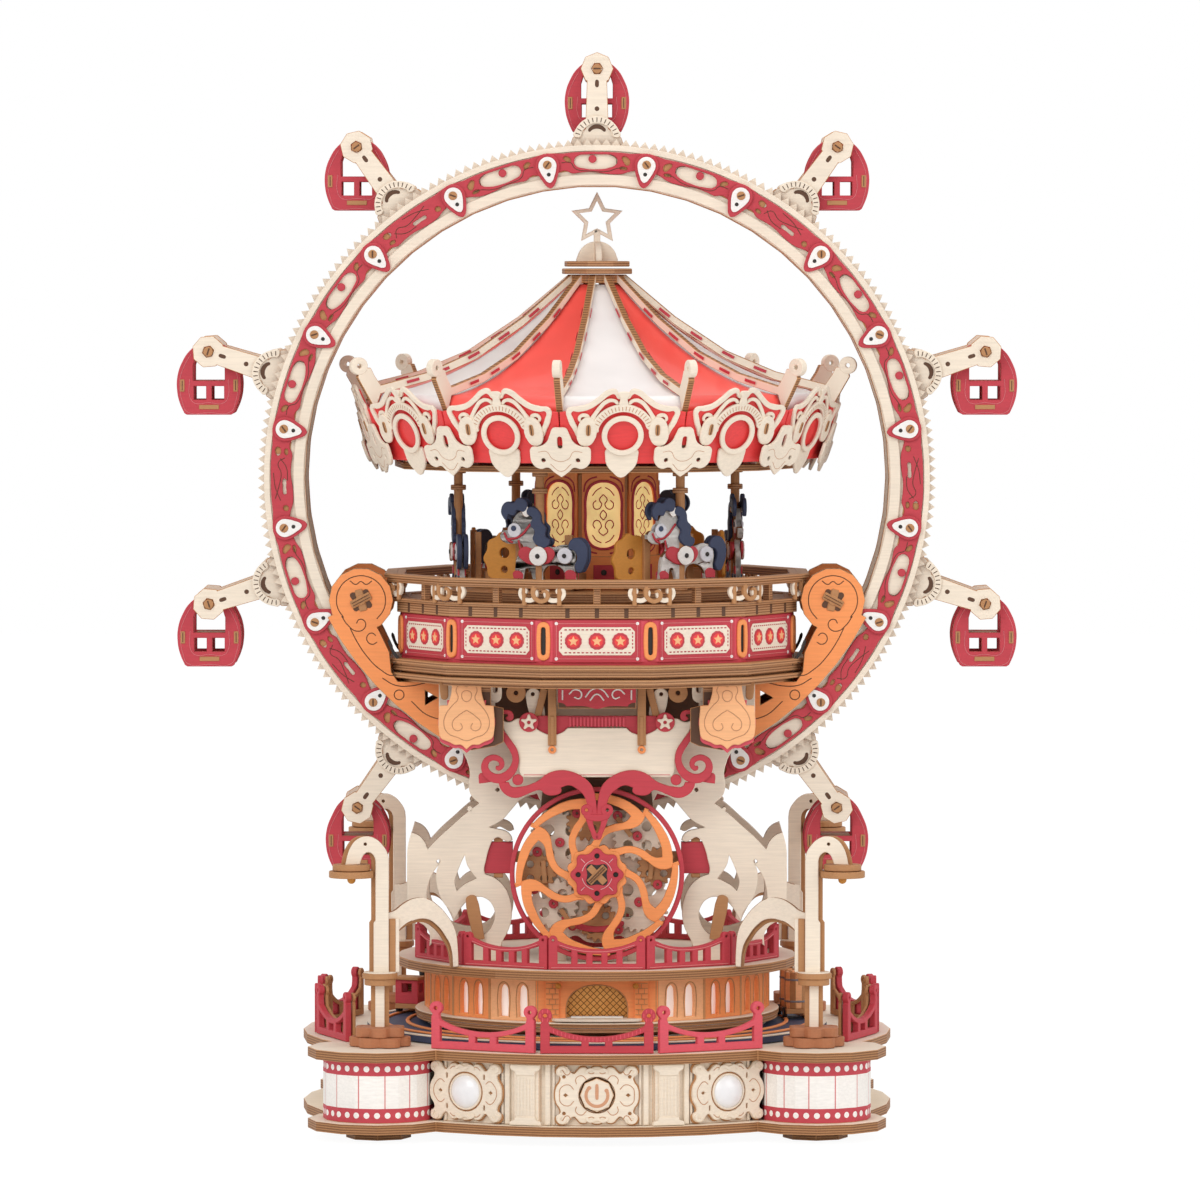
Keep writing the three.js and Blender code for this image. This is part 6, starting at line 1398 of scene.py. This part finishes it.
gather("powerOrnament", [(powerPlate, [powerSpot]), (ornamentBack, [powerSpot @ moved(0, 0, -0.9)]),
    (powerLines, [powerSpot @ moved(0, 0, 0.02) @ w for w in fourWays]),
    (cornerShell, [powerSpot @ liftOut @ w for w in fourWays]),
    (topShell, [powerSpot @ liftOut @ w for w in (fourWays[0], fourWays[2])])], "base")
buttonDisc = pinMesh(4.7, 1.2, creamAll, 32, chamfer=0.3)
powerArc = sheetMesh(strokeLoop(arcLine(3.3, range(128, 413, 19)), [0.95] * 15), 0.25, powerPrint, chamfer=0.05)
powerBar = sheetMesh(pillLoop(0.95, 4.8, 0, 1.1), 0.25, powerPrint, chamfer=0.05)
buttonSpot = facing(0, bowed["bow"] + 1.75, bowed["middle"])
gather("powerMark", [(buttonDisc, [buttonSpot]), (powerArc, [buttonSpot @ moved(0, 0, 0.12)]),
    (powerBar, [buttonSpot @ moved(0, 0, 0.12)])], "button")

capital = sheetMesh(bothSides([(0, 24.7), (4.6, 24.7, 1), (4.7, 23.8), (4.2, 23.0), (3.2, 22.4), (3.0, 21.4, 1),
    (0, 21.4)]), 1.5, creamAll)
shaftSheet = sheetMesh(boxLoop(5.8, 13.4, 0, 14.9), 1.0, creamAll, soft=False)
flute = sheetMesh(pillLoop(0.55, 11.6, 0, 14.9), 0.25, creamAll, chamfer=0.08)
plinth = sheetMesh(bothSides([(0, 8.6), (3.1, 8.6, 1), (3.4, 7.8), (4.8, 7.2), (4.9, 6.2, 1), (0, 6.2)]), 1.7,
    creamAll)
stripSheet = sheetMesh(boxLoop(1.7, 18.6, 0, 15.5), 0.9, creamAll, soft=False)
thinStrip = sheetMesh(boxLoop(0.8, 18.6, 0, 15.5), 0.5, creamAll, soft=False)
pilasterSpots = [facing(s * bowed["pilasterTurn"], bowed["bow"]) for s in (-1, 1)]
gather("pilasters", [
    (capital, lifted(pilasterSpots, 3.0)), (shaftSheet, lifted(pilasterSpots, 2.5)),
    (plinth, lifted(pilasterSpots, 3.2)),
    (flute, [p @ moved(x, 0, 2.7) for p in pilasterSpots for x in (-2.1, -1.05, 0, 1.05, 2.1)]),
    (stripSheet, [facing(s * t, bowed["bow"] + 1.0) for s in (-1, 1) for t in (10.8, 20.0)]),
    (thinStrip, [facing(s * t, bowed["bow"] + 0.6) for s in (-1, 1) for t in (9.5, 21.2, 35.6)]),
], "base")
print("bowed front detailed")

# fences with sagging rails and ring knobs

fence = {"deckOut": 79.8, "sideOut": 88.0, "foot": 28.2, "galleryOut": 56.9, "galleryFoot": 51.6}


def railPanel(half, postTop, postWidth, railEnd, railMiddle, railThick, sill, bars, barWide, knob, face,
        edge=burntEdge, thick=1.9):
    inner = half - postWidth
    steps = [i / 8 for i in range(9)]
    railCurve = [(inner * (1 - 2 * t), railMiddle + (railEnd - railMiddle) * (1 - 2 * t) ** 2) for t in steps]
    turns = (150, 110, 70, 35, 0, -35, -70, -110, -150) if knob > postWidth / 2 else (90, 45, 0, -45, -90)
    knobRight = [(half - postWidth / 2 + knob * sin(radians(a)), postTop - knob + knob * cos(radians(a)))
        for a in turns]
    outline = [(-half, 0, 1), (half, 0, 1), (half, postTop - 2.2 * knob, 1)] + knobRight + [(inner, railEnd + 0.2,
        1)] + railCurve[1:-1] + [(-inner, railEnd + 0.2, 1)]
    outline += [(-x, y) for x, y in reversed(knobRight)] + [(-half, postTop - 2.2 * knob, 1)]
    edges = [-inner] + [x + s * barWide / 2 for x in bars for s in (-1, 1)] + [inner]
    holes = [roundLoop(knob * 0.3, s * (half - postWidth / 2), postTop - knob, 8) for s in (-1, 1)]
    for left, right in zip(edges[::2], edges[1::2]):
        under = [railMiddle + (railEnd - railMiddle) * (x / inner) ** 2 - railThick
            for x in (right, (left + right) / 2, left)]
        holes.append([(left, sill, 1), (right, sill, 1), (right, under[0], 1), ((left + right) / 2, under[1]),
            (left, under[2], 1)])
    return sheetMesh(outline, thick, face, holes, edge, steps=2)


frontPanel = railPanel(17.5, 14.4, 2.9, 8.6, 5.6, 1.6, 2.3, (-3.6, 3.6), 2.3, 2.05, roseAll)
sidePanel = railPanel(14.3, 15.2, 2.6, 9.0, 5.8, 1.5, 2.2, (-3.4, 3.4), 2.2, 1.75, crimsonAll, brownAll)
sideBacking = railPanel(14.1, 14.9, 2.4, 8.6, 5.3, 1.2, 1.8, (-3.4, 3.4), 1.8, 1.55, brownAll, thick=1.0)
railBead = sheetMesh(pillLoop(0.35, 1.3), 0.3, roseAll, edge=None, chamfer=0.08)
beads = [(x, 4.2 + 3.0 * (x / 14.3) ** 2) for x in [-13.2 + 1.2 * n for n in range(23)]]
knobBeads = [(s * 15.75 + 1.5 * cos(radians(a)), 11.45 + 1.5 * sin(radians(a))) for s in (-1, 1)
    for a in range(0, 360, 60)]
middlePanel = railPanel(17.2, 13.6, 2.9, 8.0, 5.0, 1.7, 2.2, (-3.6, 3.6), 2.3, 2.15, crimsonAll)
deckSpots = [facing(turn, fence["deckOut"], fence["foot"]) for turn in (-26, 0, 26)]
rearSpots = [facing(180 + turn, fence["deckOut"], fence["foot"]) for turn in (-26, 0, 26)]
for name, spots, node in (("frontRailing", deckSpots, "deck_fence_front"),
    ("rearRailing", rearSpots, "deck_fence_rear")):
    beadPlaces = [spots[1] @ moved(x, y, 0.2) for x, y in beads + knobBeads]
    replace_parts(gather(name, [(frontPanel, spots[::2]), (middlePanel, spots[1:2]), (railBead, beadPlaces)],
        "base"), node)
for name, heading, node in (("leftRailing", -90, "deck_fence_left"), ("rightRailing", 90, "deck_fence_right")):
    spots = [facing(heading + turn, fence["sideOut"], fence["foot"]) for turn in (-20.5, 0, 20.5)]
    inside = [facing(heading + turn, fence["sideOut"] - 2.4, fence["foot"]) for turn in (-20.5, 0, 20.5)]
    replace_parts(gather(name, [(sidePanel, spots), (sideBacking, inside)], "base"), node)

galleryHalf, galleryBars = 14.85, (-6.9, -2.3, 2.3, 6.9)
galleryPanel = railPanel(galleryHalf, 10.4, 2.8, 8.6, 6.2, 1.4, 1.7, galleryBars, 2.0, 1.4, crimsonAll)
galleryLine = lineMesh([[(-11.6, 7.6), (-6.0, 6.0), (0, 5.5), (6.0, 6.0), (11.6, 7.6)],
    [(-14.0, 0.6, 1), (14.0, 0.6, 1)]], 0.22, roseLine)
gallerySpots = [facing(30 * k, fence["galleryOut"] - 0.2, fence["galleryFoot"]) for k in range(12)]
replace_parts(gather("galleryRailing", [(galleryPanel, gallerySpots), (galleryLine, lifted(gallerySpots, 0.02))],
    "base"), "gallery_fence")
print("fences made")

# arcade: paired arches with linings given a painted glow, brick pilasters, mesh arch, sand floor, two small lamps

arcade = {"out": 54, "bayHalf": 20, "panels": 18, "foot": 35.0, "liningOut": 51.0, "bayFront": 50.9}
pitch = (360 - 2 * arcade["bayHalf"]) / arcade["panels"]
panelHalf = arcade["out"] * sin(radians(pitch / 2))
archWindow = bothSides([(1.45, 1.2, 1), (1.45, 9.2), (1.0, 10.5), (0, 11.1)])
archHoles = [[(x + a[0],) + tuple(a[1:]) for a in archWindow] for x in (-3.3, 3.3)]
# the two panels beside the bay are cut in peach, the rest in orange: painted light, lighter where the front light
# falls
archPanel, litArchPanel = [sheetMesh(boxLoop(2 * panelHalf, 13.5, 0, 6.75), 1.6, material, archHoles, steps=2)
    for material in (orangeAll, peachAll)]
panelTurns = [arcade["bayHalf"] + pitch * (k + 0.5) for k in range(arcade["panels"])]
panelOut = arcade["out"] * cos(radians(pitch / 2))
# painted light: the window linings glow a little though they hold no lamp, so they read bright white
liningGlow = woodStock("whiteLiningPaintedGlow", white, "all")
liningShader = liningGlow.node_tree.nodes["Principled BSDF"]
liningShader.inputs["Emission Color"].default_value = white
liningShader.inputs["Emission Strength"].default_value = 0.3
lining = sheetMesh(boxLoop(14.6, 13.4, 0, 6.75), 0.6, liningGlow, soft=False)
archHood = lineMesh([bothSides([(2.0, 1.0, 1), (2.0, 9.2), (1.4, 11.0), (0, 11.8)])], 0.3, burntEdge)
seam = blockMesh(0.9, 13.5, 0.6, burntEdge, 0.08)
panelSpots = around(panelTurns, panelOut, arcade["foot"])
bayWindow = bothSides([(9.4, 0.8, 1), (9.3, 5.4), (8.1, 8.2), (5.4, 10.2), (2.2, 11.2)])
baySheet = sheetMesh(boxLoop(37.6, 13.5, 0, 6.75), 2.0, orangePly, [bayWindow])
bayRim = lineMesh([bayWindow], 0.35, burntEdge)
meshWall = sheetMesh(boxLoop(22, 12, 0, 6.6), 0.4, meshBrass, edge=None, soft=False)
brickPost = blockMesh(4.2, 13.4, 1.0, orangeAll, 0.12)
brickLines = lineMesh([[(-1.9, y, 1), (1.9, y, 1)] for y in (-6.0, -4.4, -2.8, -1.2, 0.4, 2.0, 3.6, 5.2)]
    + [[(x, y, 1), (x, y + 1.6, 1)] for n, y in enumerate((-6.0, -4.4, -2.8, -1.2, 0.4, 2.0, 3.6))
    for x in ((-0.9, 0.9) if n % 2 else (0,))], 0.2, burntEdge)
smallLamp = ballMesh(0.95, goldAll, 8)
sandPlate = sheetMesh(bothSides([(0, -6.6), (9, -6.0), (13, -4.8), (13, 3.4, 1)]), 0.8, creamAll)
stageLine = sheetMesh(boxLoop(16, 2.0), 0.5, whiteAll, soft=False)
bayZ = arcade["foot"]
arcadePiece = gather("arcadeArches", [
    (archPanel, panelSpots[1:-1]), (litArchPanel, [panelSpots[0], panelSpots[-1]]),
    (archHood, [p @ moved(x, 0, 0.05) for p in panelSpots for x in (-3.3, 3.3)]),
    (lining, around(panelTurns, arcade["liningOut"], arcade["foot"])),
    (seam, [facing(arcade["bayHalf"] + pitch * k, arcade["out"] + 0.1, arcade["foot"] + 6.75)
        for k in range(arcade["panels"] + 1)]),
    (baySheet, [standing(-arcade["bayFront"], 0, bayZ)]),
    (bayRim, [standing(-arcade["bayFront"] - 0.05, 0, bayZ)]),
    (meshWall, [standing(-arcade["bayFront"] + 3.4, 0, bayZ)]),
    (brickPost, [standing(-arcade["bayFront"] - 0.9, s * 13.7, bayZ + 6.75) for s in (-1, 1)]),
    (brickLines, [standing(-arcade["bayFront"] - 1.42, s * 13.7, bayZ + 6.75) for s in (-1, 1)]),
    (smallLamp, [moved(s * 11.9, -arcade["bayFront"] - 1.9, bayZ + 11.2) for s in (-1, 1)]),
    (sandPlate, [lying(bayZ + 1.2, 0, -arcade["bayFront"] + 1.0)]),
    (stageLine, [lying(bayZ + 1.7, 0, -arcade["bayFront"] + 0.2)]),
], "base")
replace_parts(arcadePiece, "arcade_wall")
basePlate = sheetMesh(roundLoop(57, count=60), 1.6, creamPlate, steps=1)
underPlate = sheetMesh(roundLoop(56.6, count=60), 1.4, brownPlate, steps=1)
baseDrum = pinMesh(50, 4.0, brownAll, 60)
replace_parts(gather("arcadeFloor", [(basePlate, [lying(arcade["foot"])]),
    (underPlate, [lying(arcade["foot"] - 1.6)]), (baseDrum, [lying(arcade["foot"] - 3.0)])], "base"), "arcade_base")
print("arcade made")

# round track with pale rims and rails, barrel wagon and engine

train = {"out": 72, "inside": 52, "top": 30.3, "run": 63, "wagonTurn": 100, "engineTurn": 245}
trackBed = washerMesh(train["out"], train["inside"], 2.0, navyAll, 72, 60, steps=1)
outerRim = washerMesh(72, 70.6, 0.5, creamAll, 72, steps=1)
innerTrackRim = washerMesh(53.2, 52, 0.5, creamAll, 60, steps=1)
outerRail = washerMesh(67.2, 66.0, 0.7, orangeAll, 72, steps=1)
innerRail = washerMesh(60.0, 58.8, 0.7, orangeAll, 60, steps=1)
wagon = turned(train["wagonTurn"]) @ moved(0, -train["run"], train["top"])
engine = turned(train["engineTurn"]) @ moved(0, -train["run"], train["top"])
roll, alongCar = turned(90, "X"), turned(90, "Y")


def wheelsAt(out):  # two on each side of both cars
    spots = [car @ moved(x, s * out, 1.9) for car in (wagon, engine) for x in (-4.6, 4.6) for s in (-1, 1)]
    return [spot @ (roll.inverted() if k % 2 else roll) for k, spot in enumerate(spots)]


wheelDisc = pinMesh(1.9, 1.0, inkBlack, 16)
wheelHub = pinMesh(0.8, 1.2, brownAll, 10)
floorBlock = blockMesh(15, 8, 1.6, brownAll, 0.15)
staveLoop = bothSides([(0, 11.4), (0.85, 11.4, 1), (1.2, 5.7), (0.85, 0, 1), (0, 0)])
stave, staveTone = [sheetMesh(staveLoop, 0.9, tone) for tone in (peachAll, brownAll)]
hoopBand = washerMesh(3.9, 3.2, 0.7, inkGrey, 20, edge=None)
barrelLid = pinMesh(3.2, 1.0, peachAll, 16)
barrels = [wagon @ moved(x, 0, 3.4) for x in (-3.9, 3.9)]
staveTurns = [(k, turned(30 * k) @ moved(0, -3.7, 0) @ roll) for k in range(12)]
boiler = pinMesh(3.4, 9.6, slatePlate, 18)
boilerBand = washerMesh(3.75, 3.2, 0.6, goldAll, 20, edge=None)
cabWall = sheetMesh(boxLoop(5.2, 7.6, 0, 3.8), 0.8, crimsonAll, [boxLoop(2.6, 2.8, 0, 5.0)], soft=False)
cabEnd = sheetMesh(boxLoop(7.0, 7.6, 0, 3.8), 0.8, crimsonAll, [boxLoop(3.4, 2.8, 0, 5.0)], soft=False)
cabRoof = blockMesh(7.0, 9.2, 1.0, brownAll, 0.2)
chimney = pinMesh(1.1, 4.6, inkBlack, 14, top=1.6)
noseDisc = pinMesh(2.9, 0.6, brownAll, 16)
trainPiece = gather("trackAndTrain", [
    (trackBed, [lying(train["top"])]), (outerRim, [lying(train["top"] + 0.45)]),
    (innerTrackRim, [lying(train["top"] + 0.45)]), (outerRail, [lying(train["top"] + 0.65)]),
    (innerRail, [lying(train["top"] + 0.65)]),
    (floorBlock, [car @ moved(0, 0, 3.4) for car in (wagon, engine)]), (wheelDisc, wheelsAt(4.4)),
    (wheelHub, wheelsAt(4.5)),
    (stave, [b @ t for b in barrels for k, t in staveTurns if k % 2]),
    (staveTone, [b @ t for b in barrels for k, t in staveTurns if k % 2 == 0]),
    (hoopBand, [b @ moved(0, 0, z) for b in barrels for z in (2.6, 9.4)]),
    (barrelLid, [b @ moved(0, 0, 11.0) for b in barrels]),
    (boiler, [engine @ moved(2.2, 0, 6.8) @ alongCar]),
    (boilerBand, [engine @ moved(x, 0, 6.8) @ alongCar for x in (-1.4, -5.2)]),
    (noseDisc, [engine @ moved(-7.4, 0, 6.8) @ alongCar.inverted()]),
    (cabWall, [engine @ moved(4.8, s * 4.0, 3.4) @ (roll if s < 0 else turned(180) @ roll) for s in (-1, 1)]),
    (cabEnd, [engine @ moved(x, 0, 3.4) @ turned(s * 90) @ roll for x, s in ((2.6, -1), (7.4, 1))]),
    (cabRoof, [engine @ moved(5.0, 0, 12.0)]), (chimney, [engine @ moved(-4.8, 0, 14.0)]),
], "train")
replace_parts(trainPiece, "track_ring")
print("train made")

# lamp posts: hook, two lamp plates, collar, petal foot and the arch to the gallery

lampPost = {
    "outline": [(63.75, 47, 1), (68.4, 47, 1), (68.4, 66.0, 1), (67.8, 66.9, 1)], "foot": (43, 44),
    "frontAt": (66.974, -55.998), "rearAt": (64.474, 55.998), "rearLift": 5.2,
}
hookOutline = [(67.8, 83.3, 1), (67.9, 85.6), (68.7, 87.1), (70.0, 87.7), (71.2, 87.1), (72.2, 85.3),
    (72.6, 84.0, 1), (77.0, 83.8, 1), (76.5, 86.3), (75.5, 89.1), (73.5, 91.6), (70.7, 92.6), (67.9, 91.9),
    (65.4, 89.6), (64.1, 87.3), (63.75, 85.0, 1)]
archOutline = [(0, 68.5, 1), (5, 69.6), (7.7, 71.4), (11.4, 73.0), (15.9, 73.0), (19.4, 71.0), (22.9, 67.5),
    (25.7, 63.0), (26.6, 57.0), (26.8, 51.5, 1), (25.0, 51.5, 1), (24.2, 57.7), (22.2, 61.3), (19.4, 64.6),
    (15.9, 66.6), (10.8, 66.2), (7.7, 64.6), (5, 61.7), (2.6, 58.5), (0, 55.0, 1)]
petalReach = [9.4 if n % 4 == 0 else 8.9 if n % 2 else 7.4 for n in range(24)]
petalLoop = [(r * cos(radians(15 * n)), r * sin(radians(15 * n))) for n, r in enumerate(petalReach)]
petalSheet = sheetMesh(petalLoop, 2.9, petalBrown, [roundLoop(0.8, x, y, 8)
    for x, y in arcLine(6.9, range(0, 360, 60))], steps=2)
lampLower, lampUpper = pinMesh(6.9, 2.0, brownAll, 28), pinMesh(5.8, 1.8, brownAll, 28)
lampKnob = ballMesh(1.3, goldAll, 8)
collarLower, collarUpper = pinMesh(4.8, 2.0, brownAll, 24), pinMesh(5.4, 1.7, brownAll, 24)
collarTop = pinMesh(5.0, 0.4, creamAll, 24)
stemFront, stemBack = blockMesh(2.8, 15.4, 1.6, creamAll, 0.15), blockMesh(5.6, 15.4, 1.6, brownAll, 0.15)
innerBrown, innerCream = blockMesh(2.0, 16.4, 1.2, brownAll, 0.12), blockMesh(1.2, 16.4, 2.0, creamAll, 0.12)
archBack = [(x, z - 1.2 if z > 55 and x < 26 else z) + tuple(r) for x, z, *r in archOutline]


def raised(points, lift):
    return [(x, z + lift) + tuple(rest) for x, z, *rest in points]


def postPiece(name, node, side, postX, postY, lift):
    toward = -1 if postY < 0 else 1
    outline = lampPost["outline"] + raised(hookOutline, lift)
    creamPost = sheetMesh(outline, 1.7, creamPly, [roundLoop(0.5, 70.9, 90.2 + lift, 8)])
    brownPost = sheetMesh(outline, 1.6, brownPly)
    shift = postX - lampPost["frontAt"][0]
    mirror = asIs if side > 0 else mirrorX
    front, centre = postY - 1.5, 66.5 + shift
    alongX, alongY = lampPost["foot"][0] - postX, toward * lampPost["foot"][1] - postY
    reach = sqrt(alongX ** 2 + alongY ** 2)
    squeeze = reach / 27.0
    archCream = sheetMesh([(-p[0] * squeeze,) + tuple(p[1:]) for p in archOutline], 1.6, creamPly)
    archBrown = sheetMesh([(-p[0] * squeeze,) + tuple(p[1:]) for p in archBack], 1.4, brownPly)
    plane = moved(postX, postY, 0) @ Matrix.Rotation(atan2(-alongY, -alongX), 4, "Z") @ turned(90, "X")
    groups = [
        (creamPost, [standing(front, shift)]), (brownPost, [standing(front + 1.7, shift + 1.4)]),
        (stemFront, [standing(front - 0.1, centre, 39.4)]), (stemBack, [standing(front + 1.5, centre, 39.4)]),
        (innerBrown, [standing(front + 0.9, 62.7 + shift, 59.0)]),
        (innerCream, [standing(front + 1.2, 61.2 + shift, 59.0)]),
        (archCream, [plane @ moved(0, 0, 1.5)]), (archBrown, [plane @ moved(0, 0, -0.1)]),
        (collarLower, [lying(48.9, centre, postY)]), (collarUpper, [lying(50.6, centre, postY)]),
        (collarTop, [lying(50.95, centre, postY)]),
        (petalSheet, [lying(31.1, centre, postY), lying(34.1, centre, postY, 30)
            @ Matrix.Diagonal((0.86, 0.86, 1, 1))]),
        (lampLower, [lying(81.9 + lift, 75.2 + shift, postY)]),
        (lampUpper, [lying(83.9 + lift, 75.2 + shift, postY)]),
        (lampKnob, [moved(75.2 + shift, postY, 79.2 + lift)]),
    ]
    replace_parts(gather(name, [(mesh, [mirror @ place for place in places]) for mesh, places in groups], "base"),
        node)


for name, node, side, spot, lift in (
    ("lampPostFrontLeft", "lamp_post_front_left", -1, lampPost["frontAt"], 0),
    ("lampPostFrontRight", "lamp_post_front_right", 1, lampPost["frontAt"], 0),
    ("lampPostRearLeft", "lamp_post_rear_left", -1, lampPost["rearAt"], lampPost["rearLift"]),
    ("lampPostRearRight", "lamp_post_rear_right", 1, lampPost["rearAt"], lampPost["rearLift"]),
):
    postPiece(name, node, side, spot[0], spot[1], lift)
print("lamp posts made")

# floor, air and lamps

studio = {
    "floorSize": 6, "floorPaint": (0.9, 0.9, 0.9, 1), "glow": 1.07, "glowShare": 0.88, "skyLevel": 0.6,
    "keyPower": 12, "keySize": 1.2, "sidePower": 6, "topPower": 7,
}

floorShape = bmesh.new()
bmesh.ops.create_grid(floorShape, x_segments=1, y_segments=1, size=studio["floorSize"] / 2)
floorMesh = bpy.data.meshes.new("paleFloor")
floorShape.to_mesh(floorMesh)
floorShape.free()
floor = bpy.data.objects.new("paleFloor", floorMesh)
floor.location.z = cadBounds[0][2] - 0.0002
bpy.context.scene.collection.objects.link(floor)


def straightView(tree):  # seen directly, in gloss or through glass
    seen = put(tree, "LightPath").outputs
    return either(tree, seen["Is Camera Ray"], seen["Is Glossy Ray"], seen["Is Transmission Ray"])


floorPaint, floorTree, floorShader = startMaterial("floorPaint", 0.9)
floorShader.inputs["Base Color"].default_value = studio["floorPaint"]
floorShader.inputs["Specular IOR Level"].default_value = 0.0
glow = put(floorTree, "Emission", {"Color": (1, 1, 1, 1), "Strength": studio["glow"]}).outputs[0]
share = calc(floorTree, "MULTIPLY", straightView(floorTree), studio["glowShare"])
floorMix = put(floorTree, "MixShader", {0: share, 1: floorShader.outputs[0], 2: glow}).outputs[0]
floorTree.links.new(floorMix, floorTree.nodes["Material Output"].inputs["Surface"])
floorMesh.materials.append(floorPaint)

sky = bpy.data.worlds.new("paleSky")
bpy.context.scene.world = sky
sky.use_nodes = True
skyTree = sky.node_tree
skyTree.nodes["Background"].inputs["Color"].default_value = (1, 1, 1, 1)
skyLevel = put(skyTree, "MapRange", {"Value": straightView(skyTree), 3: studio["skyLevel"], 4: 1.0}).outputs[0]
skyTree.links.new(skyLevel, skyTree.nodes["Background"].inputs["Strength"])


def softLamp(name, power, size, spot, aim=(0, 0, 0.17)):
    lamp = bpy.data.lights.new(name, "AREA")
    lamp.energy, lamp.size = power, size
    holder = bpy.data.objects.new(name, lamp)
    holder.location = spot
    holder.rotation_euler = (Vector(aim) - Vector(spot)).to_track_quat("-Z", "Y").to_euler()
    bpy.context.scene.collection.objects.link(holder)


softLamp("frontLamp", studio["keyPower"], studio["keySize"], (-0.7, -1.5, 1.1))
softLamp("sideLamp", studio["sidePower"], 1.0, (1.4, -0.9, 0.8))
softLamp("topLamp", studio["topPower"], 1.0, (0.1, 0.3, 1.7))

for spare in [m for m in bpy.data.meshes if m.users == 0]:
    bpy.data.meshes.remove(spare)

bpy.context.scene.view_settings.view_transform = "Standard"
